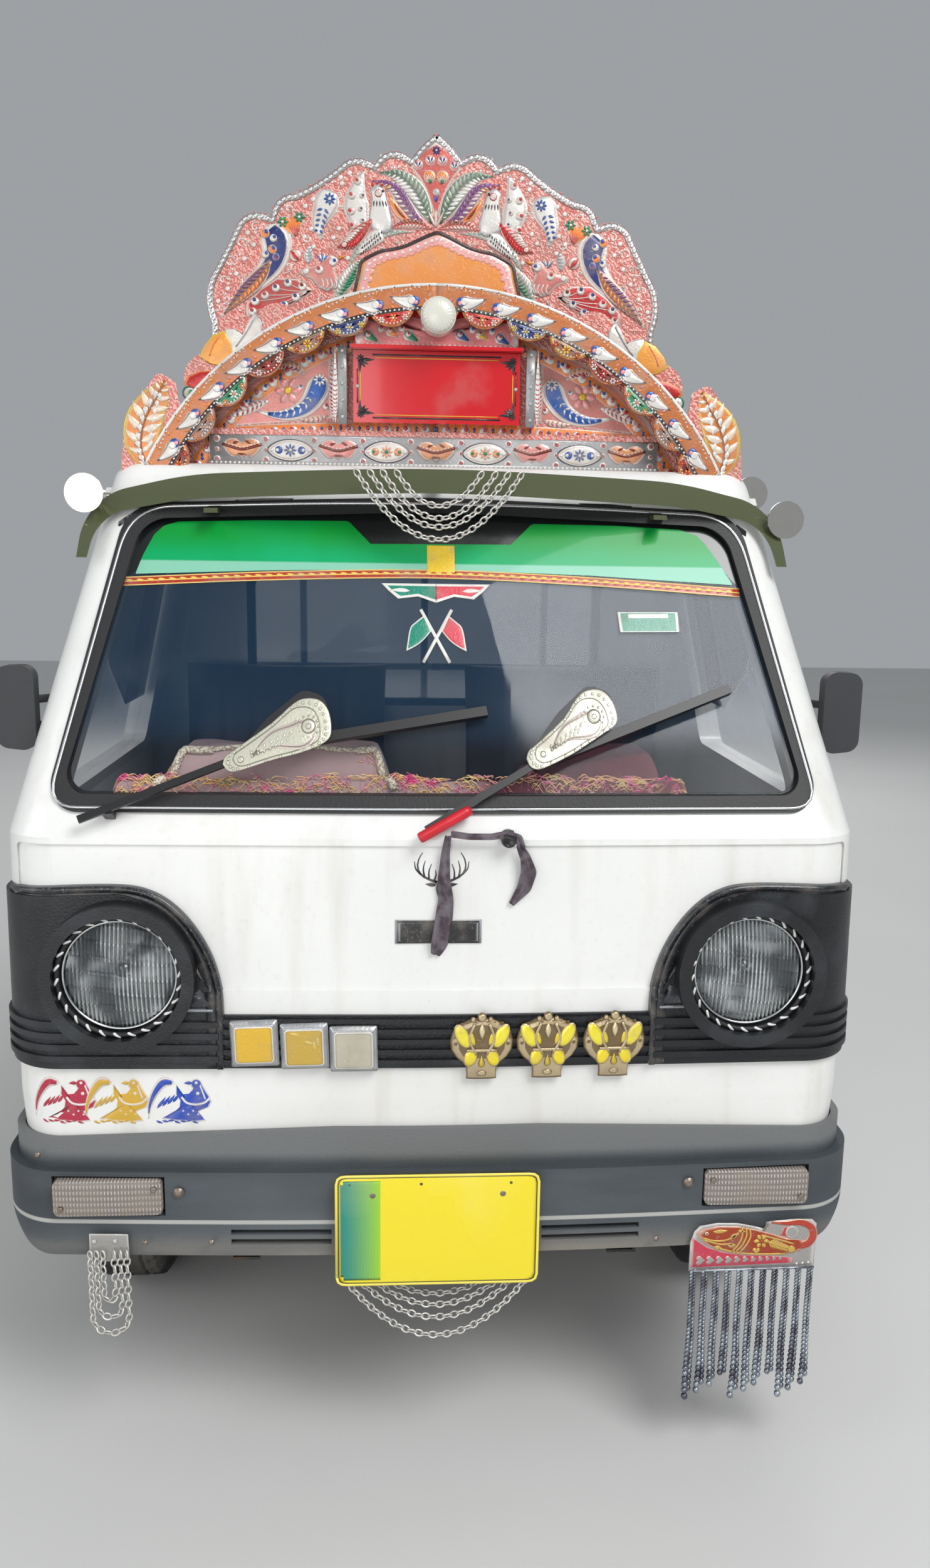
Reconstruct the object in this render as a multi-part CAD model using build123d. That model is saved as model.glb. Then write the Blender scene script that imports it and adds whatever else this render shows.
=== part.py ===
from build123d import *
import os
from functools import lru_cache
from math import atan2, cos, degrees, radians, sin, sqrt, tan

os.makedirs("parts", exist_ok=True)

# A small forward-control pickup with a painted roof crown, in millimetres.
# It faces -Y, +X is its left side (the viewer's right), Z starts at the ground.
# Stations along the truck are depths behind the front plate's face.

# Overall layout
LENGTH = 3240.0
FRONT_OVERHANG = 645.0
WHEELBASE = 1840.0
TRACK_FRONT = 1205.0
TRACK_REAR = 1200.0

# Cab body
BODY_HALF = 690.0
SILL_HALF = 672.0
BODY_BOTTOM = 400.0
WAIST_Z = 640.0
BELT_Z = 1072.0
ROOF_Z = 1664.0
ROOF_HALF = 559.0
NOSE_DEPTH = 45.0
BELT_DEPTH = 59.0
ROOF_FRONT_DEPTH = 374.0
CAB_REAR_DEPTH = 1190.0
NOSE_BOW = 18.0
NOSE_CORNER = 88.0
REAR_CORNER = 52.0
ROOF_CORNER = 60.0
ROOF_EDGE_RADIUS = 42.0
WALL = 35.0
SHEET = 8.0

# Doors and glass
DOOR_FRONT = 237.5
DOOR_REAR = 990.0
DOOR_TOP = 1605.0
DOOR_TOP_FRONT = 470.0
SILL_TOP = 440.0
DOOR_THICKNESS = 50.0
DOOR_GAP = 5.0
JAMB_SLOPE = 0.25
GLASS = 5.0
SEAL_WIDTH = 26.0
SCREEN_BOTTOM_HALF = 621.0
SCREEN_TOP_HALF = 526.0
SCREEN_BOTTOM_Z = 1110.0
SCREEN_TOP_Z = 1592.0

# Wheels, tyres and steering
TYRE_RADIUS = 268.0
TYRE_WIDTH = 145.0
RIM_RADIUS = 152.5
RIM_WIDTH = 102.0
ARCH_RADIUS = 305.0
ARCH_LIP = 25.0
STUB_RADIUS = 14.0
RUNNING = 0.08
BALL_JOINT = (534.0, 150.0)
STRUT_TOP = (470.0, 570.0)
WHEELHOUSE_INNER = 365.0

# Chassis and load bed
RAIL_INNER = 300.0
RAIL_WIDTH = 50.0
RAIL_HEIGHT = 70.0
RAIL_FRONT_Z = 322.0
RAIL_REAR_Z = 490.0
DECK_Z = 650.0
BED_FRONT_DEPTH = 1215.0
BED_HALF = 690.0
GATE_HEIGHT = 265.0
GATE_THICKNESS = 35.0

# Front trim
LAMP_X = 502.0
LAMP_Z = 856.0
LAMP_RADIUS = 88.0
BEZEL_RADIUS = 120.0
BUMPER_DEPTH = 8.0
BUMPER_END = 226.0
BUMPER_HALF = 713.0
BUMPER_BOTTOM = 384.0
BUMPER_TOP = 598.0
BUMPER_STEP = 530.0
PLATE = (330.0, 195.0, 3.0)
PLATE_Z = 438.0

# Roof crown
CROWN_BOARD_DEPTH = 450.0
CROWN_BACK_DEPTH = 560.0
CROWN_PEAK = 2257.0
CROWN_HALF = 417.0
ARCH_CENTRE_Z = 1397.0
ARCH_OUTER = 570.0
ARCH_BAND = 24.0
ARCH_DEPTH = 55.0
BOARD = 6.0
SIGN = (292.0, 121.0, 1800.0)


def along(depth):
    """Y of a station, given as a depth behind the front plate's face."""
    return depth - LENGTH / 2


def block(x0, x1, depth0, depth1, z0, z1):
    """Box between two X, two depths and two heights."""
    centre = Pos((x0 + x1) / 2, along((depth0 + depth1) / 2), (z0 + z1) / 2)
    return centre * Box(abs(x1 - x0), abs(depth1 - depth0), abs(z1 - z0))


def outline(corners):
    """Closed face from corners (u, v, radius), each radius an arc tangent to its two sides."""
    count = len(corners)
    starts, middles, ends = [], [], []
    for index, (u, v, radius) in enumerate(corners):
        here = Vector(u, v)
        before = (Vector(*corners[index - 1][:2]) - here).normalized()
        after = (Vector(*corners[(index + 1) % count][:2]) - here).normalized()
        half = radians(before.get_angle(after)) / 2
        inward = (before + after).normalized()
        reach = radius / tan(half)
        starts.append(here + before * reach)
        ends.append(here + after * reach)
        middles.append(here + inward * (radius / sin(half) - radius))
    edges = []
    for index, corner in enumerate(corners):
        if corner[2] > 0:
            edges.append(ThreePointArc(starts[index], middles[index], ends[index]))
        following = starts[(index + 1) % count]
        if (following - ends[index]).length > 0.001:
            edges.append(Line(ends[index], following))
    return make_face(Curve() + edges)


def prism_x(face, x0, x1):
    """Extrude a face drawn in (Y, Z) from x0 to x1."""
    return extrude(Plane.YZ.offset(x0) * face, amount=x1 - x0)


def prism_y(face, depth0, depth1):
    """Extrude a face drawn in (X, Z) between two depths."""
    return extrude(Plane.XZ.offset(-along(depth1)) * face, amount=depth1 - depth0)


def prism_z(face, z0, z1):
    """Extrude a face drawn in (X, Y) from z0 to z1."""
    return extrude(Plane.XY.offset(z0) * face, amount=z1 - z0)


def rod(start, end, radius):
    """Round bar between two points given as (x, depth, z)."""
    first = Vector(start[0], along(start[1]), start[2])
    last = Vector(end[0], along(end[1]), end[2])
    plane = Plane(origin=first, z_dir=last - first)
    return extrude(plane * Circle(radius), amount=(last - first).length)


def tube_path(points, radius, bend):
    """Round bar through points (x, depth, z) with one bend radius."""
    path = FilletPolyline(*[(x, along(depth), z) for x, depth, z in points], radius=bend)
    return sweep(Plane(origin=path @ 0, z_dir=path % 0) * Circle(radius), path=path)


def turned(profile, origin, axis):
    """Revolve a face drawn in (radius, distance along axis) about an axis through origin."""
    plane = Plane(origin=origin, x_dir=Vector(0, 0, 1) if axis[2] == 0 else Vector(0, 1, 0), z_dir=axis)
    sketch = Plane(origin=origin, x_dir=plane.x_dir, z_dir=-plane.y_dir) * profile
    return revolve(sketch, axis=Axis(origin, axis))


def mirrored(shape):
    """The same shape on the other side of the truck."""
    return mirror(shape, about=Plane.YZ)


def both(shape):
    """A shape and its mirror image as one."""
    return shape + mirrored(shape)


def write(node, *shapes):
    """Write one node as a compound of its solids."""
    solids = [solid for shape in shapes for solid in shape.solids()]
    export_step(Compound(label=node, children=solids), "parts/" + node + ".step")


# Cab form

def cab_at(z):
    """Half width, front depth and front corner radius of the cab at a height."""
    stations = [
        # z, half width, front depth, corner radius
        (BODY_BOTTOM, SILL_HALF, NOSE_DEPTH, NOSE_CORNER),
        (WAIST_Z, BODY_HALF, NOSE_DEPTH, NOSE_CORNER),
        (BELT_Z, BODY_HALF, BELT_DEPTH, NOSE_CORNER),
        (ROOF_Z, ROOF_HALF, ROOF_FRONT_DEPTH, ROOF_CORNER),
    ]
    low, high = stations[0], stations[1]
    for below, above in zip(stations, stations[1:]):
        if z > below[0]:
            low, high = below, above
    share = (z - low[0]) / (high[0] - low[0])
    return tuple(low[i] + share * (high[i] - low[i]) for i in (1, 2, 3))


def cab_section(z, inset):
    """Plan outline of the cab at a height: bowed front, round front corners, square back."""
    half, front, corner = cab_at(z)
    half = half - inset
    front = front + inset
    corner = corner - inset
    rear = along(CAB_REAR_DEPTH - inset)
    bow_radius = 6 * BODY_HALF
    face = outline([
        (-half, rear, REAR_CORNER - inset * 0.8),
        (-half, along(front + NOSE_BOW), corner),
        (0, along(front), bow_radius),
        (half, along(front + NOSE_BOW), corner),
        (half, rear, REAR_CORNER - inset * 0.8),
    ])
    return Plane.XY.offset(z) * face


@lru_cache(maxsize=None)
def cab_form(inset, bottom):
    """Solid cab with its skin moved in by inset, down to a height."""
    top = ROOF_Z - inset
    heights = [bottom, WAIST_Z, BELT_Z, top]
    solid = loft([cab_section(z, inset) for z in heights], ruled=True)
    rim = solid.edges().filter_by(lambda edge: edge.center().Z > top - 1)
    return fillet(rim, ROOF_EDGE_RADIUS - inset * 0.7)


def cab_layer(outer, inner):
    """The shell between two insets of the cab's skin, open below."""
    return cab_form(outer, BODY_BOTTOM) - cab_form(inner, BODY_BOTTOM - 60)


def screen_outline(inset):
    """Windscreen outline in the front view, moved in by inset."""
    return outline([
        (-SCREEN_BOTTOM_HALF + inset, SCREEN_BOTTOM_Z + inset, 45 - inset * 0.5),
        (SCREEN_BOTTOM_HALF - inset, SCREEN_BOTTOM_Z + inset, 45 - inset * 0.5),
        (SCREEN_TOP_HALF - inset, SCREEN_TOP_Z - inset, 70 - inset * 0.5),
        (0, SCREEN_TOP_Z + 18 - inset, 3000),
        (-SCREEN_TOP_HALF + inset, SCREEN_TOP_Z - inset, 70 - inset * 0.5),
    ])


def rear_window(inset):
    """Rear window outline seen from behind, moved in by inset."""
    half, low, high = 430 - inset, 1150 + inset, 1500 - inset
    radius = 60 - inset * 0.5
    return outline([(-half, low, radius), (half, low, radius), (half, high, radius), (-half, high, radius)])


def arch(depth, radius, x0, x1):
    """Cylinder across the truck about a wheel's axis."""
    return rod((x0, depth, TYRE_RADIUS), (x1, depth, TYRE_RADIUS), radius)


def door_space(gap):
    """Room that the left door takes, less a gap all round."""
    side = outline([
        (along(DOOR_FRONT + gap), SILL_TOP + gap, 12),
        (along(DOOR_FRONT + gap), BELT_Z, 60),
        (along(DOOR_TOP_FRONT + gap), DOOR_TOP - gap, 30),
        (along(DOOR_REAR + 60), DOOR_TOP - gap, 0),
        (along(DOOR_REAR + 60), SILL_TOP + gap, 0),
    ])
    inner, outer = 440.0, 760.0
    jamb = [along(DOOR_REAR - gap) + JAMB_SLOPE * (x - BODY_HALF) for x in (inner, outer)]
    plan = make_face(Polyline(
        (inner, along(0)), (outer, along(0)), (outer, jamb[1]), (inner, jamb[0]), close=True))
    room = prism_x(side, inner, outer) & prism_z(plan, BODY_BOTTOM - 50, ROOF_Z + 50)
    return room - arch(FRONT_OVERHANG, ARCH_RADIUS + ARCH_LIP + gap, inner, outer)


def door_window():
    """Window opening of the left door, in the side view."""
    return outline([
        (along(DOOR_FRONT + 62), BELT_Z + 25, 20),
        (along(DOOR_TOP_FRONT + 45), DOOR_TOP - 48, 25),
        (along(DOOR_REAR - 62), DOOR_TOP - 48, 25),
        (along(DOOR_REAR - 62), BELT_Z + 25, 20),
    ])


# Hinges between the body and a door or gate

HINGE_PIN = 5.0
HINGE_BARREL = 9.0
HINGE_LENGTH = 22.0
HINGE_AXIS_OUT = 3.0


def hinge(origin, axis, leaf_fixed, leaf_moving):
    """Three-knuckle hinge. Each leaf runs from the axis to a point given as an offset."""
    plane = Plane(origin=origin, z_dir=axis)
    start = plane.offset(-HINGE_LENGTH * 1.5)
    fixed = extrude(start * Circle(HINGE_PIN), amount=HINGE_LENGTH * 3)
    moving = None
    for index in range(3):
        base = plane.offset(HINGE_LENGTH * (index - 1.5) + 0.3)
        knuckle = extrude(base * Circle(HINGE_BARREL), amount=HINGE_LENGTH - 0.6)
        leaf = leaf_moving if index == 1 else leaf_fixed
        run = Vector(*leaf)
        across = run.cross(Vector(*axis)).normalized()
        middle = Vector(*origin) + Vector(*axis) * (HINGE_LENGTH * (index - 1) ) + run * 0.5
        plate = Plane(origin=middle, x_dir=run, z_dir=axis) * Box(run.length, 5, HINGE_LENGTH - 0.6)
        if index == 1:
            bore = extrude(start * Circle(HINGE_PIN + RUNNING), amount=HINGE_LENGTH * 3)
            moving = knuckle + plate - bore
        else:
            fixed = fixed + knuckle + plate
    swept = extrude(plane.offset(-HINGE_LENGTH * 1.5 - 5) * Circle(HINGE_BARREL + 3), amount=HINGE_LENGTH * 3 + 10)
    return fixed, moving, swept


DOOR_AXIS_X = BODY_HALF + HINGE_AXIS_OUT
DOOR_AXIS_DEPTH = DOOR_FRONT + DOOR_GAP / 2
door_hinges = [
    hinge((DOOR_AXIS_X, along(DOOR_AXIS_DEPTH), z), (0, 0, 1), (-22, -16, 0), (-22, 20, 0))
    for z in (690.0, 1000.0)
]

# Chassis frame: two channel rails that rise behind the cab, with tubular cross members
rail_line = [
    # depth, underside height
    (110.0, RAIL_FRONT_Z),
    (1240.0, RAIL_FRONT_Z),
    (1480.0, RAIL_REAR_Z),
    (3190.0, RAIL_REAR_Z),
]
rail_side = outline(
    [(along(d), z, 0) for d, z in rail_line]
    + [(along(d), z + RAIL_HEIGHT, 0) for d, z in reversed(rail_line)])
rail_pocket = outline(
    [(along(d), z + 5, 0) for d, z in rail_line]
    + [(along(d), z + RAIL_HEIGHT - 5, 0) for d, z in reversed(rail_line)])
rail = prism_x(rail_side, RAIL_INNER, RAIL_INNER + RAIL_WIDTH)
rail = rail - prism_x(rail_pocket, RAIL_INNER - 1, RAIL_INNER + RAIL_WIDTH - 5)
chassis = both(rail)
cross_members = [
    # depth, underside height
    (150.0, RAIL_FRONT_Z + 8),
    (440.0, RAIL_FRONT_Z + 8),
    (1330.0, RAIL_FRONT_Z + 70),
    (1700.0, RAIL_REAR_Z + 8),
    (2190.0, RAIL_REAR_Z + 8),
    (2790.0, RAIL_REAR_Z + 8),
    (3140.0, RAIL_REAR_Z + 8),
]
for depth, z in cross_members:
    reach = RAIL_INNER + RAIL_WIDTH - 5
    chassis = chassis + block(-reach, reach, depth - 22, depth + 22, z, z + 50)

# Rear spring hangers below the rails
REAR_AXLE_DEPTH = FRONT_OVERHANG + WHEELBASE
SPRING_HALF = 450.0
SPRING_RISE = 80.0
SPRING_RADIUS = (SPRING_HALF ** 2 + SPRING_RISE ** 2) / (2 * SPRING_RISE)
AXLE_TUBE = 34.0
LEAF = 7.0
SPRING_TOP = TYRE_RADIUS + AXLE_TUBE + 12 + 3 * LEAF
EYE_Z = SPRING_TOP + SPRING_RISE + 8
EYE_PIN = 8.0
for depth in (REAR_AXLE_DEPTH - SPRING_HALF, REAR_AXLE_DEPTH + SPRING_HALF):
    for x in (RAIL_INNER - 6, RAIL_INNER + RAIL_WIDTH):
        cheek = prism_x(outline([
            (along(depth - 45), RAIL_REAR_Z + 4, 0),
            (along(depth + 45), RAIL_REAR_Z + 4, 0),
            (along(depth + 18), EYE_Z - 22, 12),
            (along(depth - 18), EYE_Z - 22, 12),
        ]), x, x + 6)
        chassis = chassis + both(cheek)
    pin = rod((RAIL_INNER - 6, depth, EYE_Z), (RAIL_INNER + RAIL_WIDTH + 6, depth, EYE_Z), EYE_PIN)
    chassis = chassis + both(pin)

# Rear axle with differential, leaf springs and propeller shaft
axle_reach = TRACK_REAR / 2 - 52
axle = rod((-axle_reach, REAR_AXLE_DEPTH, TYRE_RADIUS), (axle_reach, REAR_AXLE_DEPTH, TYRE_RADIUS), AXLE_TUBE)
axle = axle + Pos(0, along(REAR_AXLE_DEPTH), TYRE_RADIUS) * Sphere(105)
axle = axle + rod((0, REAR_AXLE_DEPTH - 190, TYRE_RADIUS), (0, REAR_AXLE_DEPTH, TYRE_RADIUS), 48)
axle = axle + both(rod((axle_reach - 12, REAR_AXLE_DEPTH, TYRE_RADIUS),
                       (axle_reach, REAR_AXLE_DEPTH, TYRE_RADIUS), 104))
axle = axle + both(rod((axle_reach, REAR_AXLE_DEPTH, TYRE_RADIUS),
                       (TRACK_REAR / 2 + 40, REAR_AXLE_DEPTH, TYRE_RADIUS), STUB_RADIUS))
pad_top = TYRE_RADIUS + AXLE_TUBE + 12
axle = axle + both(block(RAIL_INNER - 5, RAIL_INNER + 55, REAR_AXLE_DEPTH - 50, REAR_AXLE_DEPTH + 50,
                         TYRE_RADIUS, pad_top))
spring_centre = SPRING_TOP + SPRING_RADIUS
springs = []
for index, half in enumerate((SPRING_HALF, SPRING_HALF * 0.7, SPRING_HALF * 0.42)):
    outer = SPRING_RADIUS + LEAF * (index + 1)
    x0, x1 = RAIL_INNER + 2, RAIL_INNER + RAIL_WIDTH - 2
    ring = (rod((x0, REAR_AXLE_DEPTH, spring_centre), (x1, REAR_AXLE_DEPTH, spring_centre), outer)
            - rod((x0 - 1, REAR_AXLE_DEPTH, spring_centre), (x1 + 1, REAR_AXLE_DEPTH, spring_centre), outer - LEAF))
    leaf = ring & block(x0, x1, REAR_AXLE_DEPTH - half, REAR_AXLE_DEPTH + half, TYRE_RADIUS, RAIL_REAR_Z + 20)
    if index == 0:
        for side in (-1, 1):
            at = REAR_AXLE_DEPTH + side * SPRING_HALF
            leaf = leaf + rod((x0, at, EYE_Z), (x1, at, EYE_Z), 17)
            leaf = leaf - rod((x0 - 1, at, EYE_Z), (x1 + 1, at, EYE_Z), EYE_PIN)
    springs.append(both(leaf))
PROP_Z = 312.0
GEARBOX_END = 1240.0

# Engine as one plain block under the seats, with its gearbox and mounts
ENGINE = (-175.0, 175.0, 520.0, 1000.0, 240.0, 640.0)
engine = block(*ENGINE) + rod((0, 1000, PROP_Z), (0, GEARBOX_END, PROP_Z), 78)
engine = engine + both(block(ENGINE[1], RAIL_INNER, 640, 700, RAIL_FRONT_Z + 12, RAIL_FRONT_Z + 40))
prop_shaft = rod((0, GEARBOX_END, PROP_Z), (0, REAR_AXLE_DEPTH - 185, TYRE_RADIUS), 24) - engine - axle

# Fuel tank and exhaust
tank_side = outline([
    (along(1540), 330, 40), (along(1960), 330, 40), (along(1960), 488, 40), (along(1540), 488, 40)])
tank = prism_x(tank_side, RAIL_INNER + RAIL_WIDTH, 640)
tank = tank + block(RAIL_INNER + RAIL_WIDTH, 600, 1600, 1640, 488, RAIL_REAR_Z + 40)
tank = tank + block(RAIL_INNER + RAIL_WIDTH, 600, 1860, 1900, 488, RAIL_REAR_Z + 40)
silencer_x = -430.0
exhaust = rod((silencer_x, 1560, 400), (silencer_x, 1980, 400), 60)
exhaust = exhaust + tube_path([(-165, 900, 300), (-250, 1130, 285), (silencer_x, 1340, 290), (silencer_x, 1560, 400)],
                              17, 60)
exhaust = exhaust + tube_path([(silencer_x, 1980, 400), (silencer_x, 2180, 440), (silencer_x, 2760, 440),
                               (silencer_x, 3080, 400), (silencer_x, 3180, 400)], 15, 60)
for depth in (1620.0, 1920.0):
    exhaust = exhaust + block(silencer_x - 8, silencer_x + 8, depth - 12, depth + 12, 440, 500)
    exhaust = exhaust + block(silencer_x - 8, -(RAIL_INNER + RAIL_WIDTH), depth - 12, depth + 12, 494, 500)
exhaust = exhaust - engine

# Cab panels, cut from one shell where the real panels meet
shell = cab_layer(0, WALL)
door_hole = both(door_space(0))
arches = arch(FRONT_OVERHANG, ARCH_RADIUS, -800, 800)
screen_hole = prism_y(screen_outline(0), 0, 600)
rear_hole = prism_y(rear_window(0), CAB_REAR_DEPTH - 100, CAB_REAR_DEPTH + 50)
hinge_room = both(door_hinges[0][2]) + both(door_hinges[1][2])
NOSE_TOP = 1090.0
ROOF_SEAM = 1622.0
BACK_SEAM = 1120.0
PILLAR_SEAM = 955.0
shell = shell - door_hole - arches - screen_hole - rear_hole - hinge_room
nose_room = (block(-800, 800, 0, DOOR_FRONT, 300, NOSE_TOP)
             + block(-800, 800, 0, FRONT_OVERHANG - 200, 300, SILL_TOP))
roof_room = block(-800, 800, 0, 1300, ROOF_SEAM, 1800)
back_room = block(-800, 800, BACK_SEAM, 1300, 300, ROOF_SEAM)
cab_roof = shell & roof_room
cab_back = shell & back_room
cab_nose = shell & nose_room
side_room = (block(0, 800, PILLAR_SEAM, BACK_SEAM, 300, ROOF_SEAM)
             + block(0, 800, 0, BACK_SEAM, 300, WAIST_Z))
cab_rest = shell - roof_room - back_room - nose_room
cab_side = cab_rest & side_room
cab_frame = cab_rest - both(side_room)

# Rain gutters along the roof's sides
gutter = (cab_layer(-9, 0) & block(500, 760, DOOR_TOP_FRONT - 60, CAB_REAR_DEPTH - 40, DOOR_TOP + 3, DOOR_TOP + 15))
cab_frame = cab_frame + both(gutter)

# Lamp openings in the nose, wiper spindle holes and hinge leaves
SURROUND_BORE = LAMP_RADIUS + 12.0
SURROUND_RING = SURROUND_BORE + 1.0
FITTED = 0.3
PRESSING = 4.0
nose_field = outline([(-664, 826, 10), (664, 826, 10), (664, 1062, 10), (-664, 1062, 10)])
cab_nose = cab_nose - (cab_layer(0, PRESSING) & prism_y(nose_field, 0, 180))
for side in (-1, 1):
    cab_nose = cab_nose - rod((side * LAMP_X, 0, LAMP_Z), (side * LAMP_X, 200, LAMP_Z), SURROUND_RING + FITTED)
for fixed, moving, swept in door_hinges:
    cab_nose = cab_nose + both(fixed)

# Floor, wheel housings and seat box
SEAT_BOX_Z = 690.0
RISER_DEPTH = 345.0
floor_plate = block(-660, 660, 60, 372, 420, 420 + SHEET) & cab_form(WALL, 350)
step_up = block(-660, 660, RISER_DEPTH, RISER_DEPTH + SHEET, 420, SEAT_BOX_Z)
seat_plate = block(-660, 660, RISER_DEPTH, CAB_REAR_DEPTH - 60, SEAT_BOX_Z - SHEET, SEAT_BOX_Z)
skirt = block(600, 608, RISER_DEPTH, CAB_REAR_DEPTH - 60, 560, SEAT_BOX_Z)
skirt = both(skirt) - arch(FRONT_OVERHANG, ARCH_RADIUS, -700, 700)
upper_floor = (step_up + seat_plate + skirt) & cab_form(58, 350)
housing = (arch(FRONT_OVERHANG, ARCH_RADIUS + SHEET, WHEELHOUSE_INNER - SHEET, 700)
           - arch(FRONT_OVERHANG, ARCH_RADIUS, WHEELHOUSE_INNER, 701))
housing = housing & block(0, 700, 60, 1100, BODY_BOTTOM + 10, 700) & cab_form(WALL, 350)
side_wall = block(WHEELHOUSE_INNER - SHEET, WHEELHOUSE_INNER, RISER_DEPTH, 1000, BODY_BOTTOM + 10, SEAT_BOX_Z)
side_wall = side_wall - arch(FRONT_OVERHANG, ARCH_RADIUS, 0, 900)
cab_floor = floor_plate + upper_floor + both(housing + side_wall)
cab_mounts = both(block(RAIL_INNER, RAIL_INNER + RAIL_WIDTH, 240, 290, RAIL_FRONT_Z + RAIL_HEIGHT, 420))
cab_mounts = cab_mounts + both(block(WHEELHOUSE_INNER - SHEET, WHEELHOUSE_INNER, 1000, 1110, RAIL_FRONT_Z + RAIL_HEIGHT,
                                     SEAT_BOX_Z))
cab_mounts = cab_mounts + both(block(RAIL_INNER, WHEELHOUSE_INNER, 1050, 1100, RAIL_FRONT_Z + RAIL_HEIGHT,
                                     RAIL_FRONT_Z + RAIL_HEIGHT + 12))
cab_floor = cab_floor + cab_mounts

# Windscreen, rear window and their rubber seals
screen_glass = cab_layer(8, 8 + GLASS) & prism_y(screen_outline(10), 0, 600)
rear_glass = cab_layer(14, 14 + GLASS) & prism_y(rear_window(10), CAB_REAR_DEPTH - 60, CAB_REAR_DEPTH + 10)
seal_front = (cab_layer(-5, 20) & (prism_y(screen_outline(0), 0, 600) - prism_y(screen_outline(SEAL_WIDTH), 0, 600)))
seal_rear = (cab_layer(-4, 24) & (prism_y(rear_window(0), CAB_REAR_DEPTH - 60, CAB_REAR_DEPTH + 10)
                                  - prism_y(rear_window(18), CAB_REAR_DEPTH - 60, CAB_REAR_DEPTH + 10)))
seal_front = seal_front - screen_glass
seal_rear = seal_rear - rear_glass

# Doors with their window openings, glass, mirrors and rain guards
DOOR_SKIN = 12.0
ARCH_RELIEF = 26.0
door = cab_layer(0, DOOR_THICKNESS) & door_space(DOOR_GAP)
door = door - (arch(FRONT_OVERHANG, ARCH_RADIUS + ARCH_LIP + ARCH_RELIEF, 400, 800) & cab_form(DOOR_SKIN, BODY_BOTTOM - 60))
door = door - prism_x(door_window(), 400, 800) - door_hinges[0][2] - door_hinges[1][2]
for fixed, moving, swept in door_hinges:
    door = door + moving
door_glass = cab_layer(22, 22 + GLASS) & prism_x(door_window(), 400, 800)
guard_strip = prism_x(outline([
    (along(DOOR_FRONT + 120), BELT_Z + 200, 8),
    (along(DOOR_TOP_FRONT + 22), DOOR_TOP - 22, 25),
    (along(DOOR_REAR - 45), DOOR_TOP - 22, 8),
    (along(DOOR_REAR - 45), DOOR_TOP - 90, 8),
    (along(DOOR_TOP_FRONT + 60), DOOR_TOP - 90, 25),
    (along(DOOR_FRONT + 150), BELT_Z + 200, 8),
]), 400, 800)
guard_foot = prism_x(outline([
    (along(DOOR_TOP_FRONT + 22), DOOR_TOP - 32, 0),
    (along(DOOR_TOP_FRONT + 22), DOOR_TOP - 22, 0),
    (along(DOOR_REAR - 45), DOOR_TOP - 22, 0),
    (along(DOOR_REAR - 45), DOOR_TOP - 32, 0),
]), 400, 800)
rain_guard = (cab_layer(-12, -9) & guard_strip) + (cab_layer(-9, 0) & guard_foot)
MIRROR_Z = 1250.0
mirror_head = prism_y(outline([
    (674, MIRROR_Z - 73, 22), (740, MIRROR_Z - 66, 22), (740, MIRROR_Z + 70, 22), (674, MIRROR_Z + 73, 22)]), 262, 290)
mirror_arm = rod((636, 352, 1262), (684, 288, 1262), 7) + rod((645, 330, 1192), (684, 288, 1225), 6)
mirror_arm = mirror_arm - cab_form(0, BODY_BOTTOM)
handle = block(BODY_HALF, BODY_HALF + 18, 850, 950, 985, 1005) - block(BODY_HALF, BODY_HALF + 10, 865, 935, 985, 1005)
door_trim = mirror_head + mirror_arm + handle + rain_guard

# Dashboard with its cowl, the steering column and the steering wheel
STEER_X = -300.0
WHEEL_CENTRE = (STEER_X, 440.0, 1010.0)
COLUMN_FOOT = (STEER_X, 205.0, 730.0)
column_dir = Vector(0, WHEEL_CENTRE[1] - COLUMN_FOOT[1], WHEEL_CENTRE[2] - COLUMN_FOOT[2]).normalized()
dash_side = outline([
    (along(60), 900, 0),
    (along(275), 900, 20),
    (along(300), 1000, 30),
    (along(288), 1085, 25),
    (along(60), 1085, 0),
])
dashboard = prism_x(dash_side, -640, 640) & cab_form(58, BODY_BOTTOM)
dashboard = dashboard - block(-640, 640, 0, 204, 800, NOSE_TOP - 120)
column_tube = rod(COLUMN_FOOT, tuple(WHEEL_CENTRE[i] - 55 * (0, column_dir.Y, column_dir.Z)[i] for i in range(3)), 24)
dashboard = dashboard - column_tube
firewall = block(-640, 640, 196, 204, 420 + SHEET, NOSE_TOP - 120) & cab_form(58, BODY_BOTTOM)
firewall = firewall - column_tube
wheel_origin = Vector(WHEEL_CENTRE[0], along(WHEEL_CENTRE[1]), WHEEL_CENTRE[2])
wheel_plane = Plane(origin=wheel_origin, x_dir=(1, 0, 0), z_dir=column_dir)
steering_wheel = wheel_plane * Torus(188, 11)
steering_wheel = steering_wheel + extrude(wheel_plane.offset(-54.7) * Circle(30), amount=40)
for angle in (-20.0, 90.0, 200.0):
    spoke = Rot(0, 0, angle) * (Pos(100, 0, -16) * Rot(0, -10, 0) * Box(172, 26, 7))
    steering_wheel = steering_wheel + wheel_plane * spoke

# Cloth laid over the top of the dashboard
CLOTH = 4.0
dash_cloth = block(-480, 240, 110, 262, 1085.3, 1085.3 + CLOTH) & cab_form(58, BODY_BOTTOM)

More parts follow.
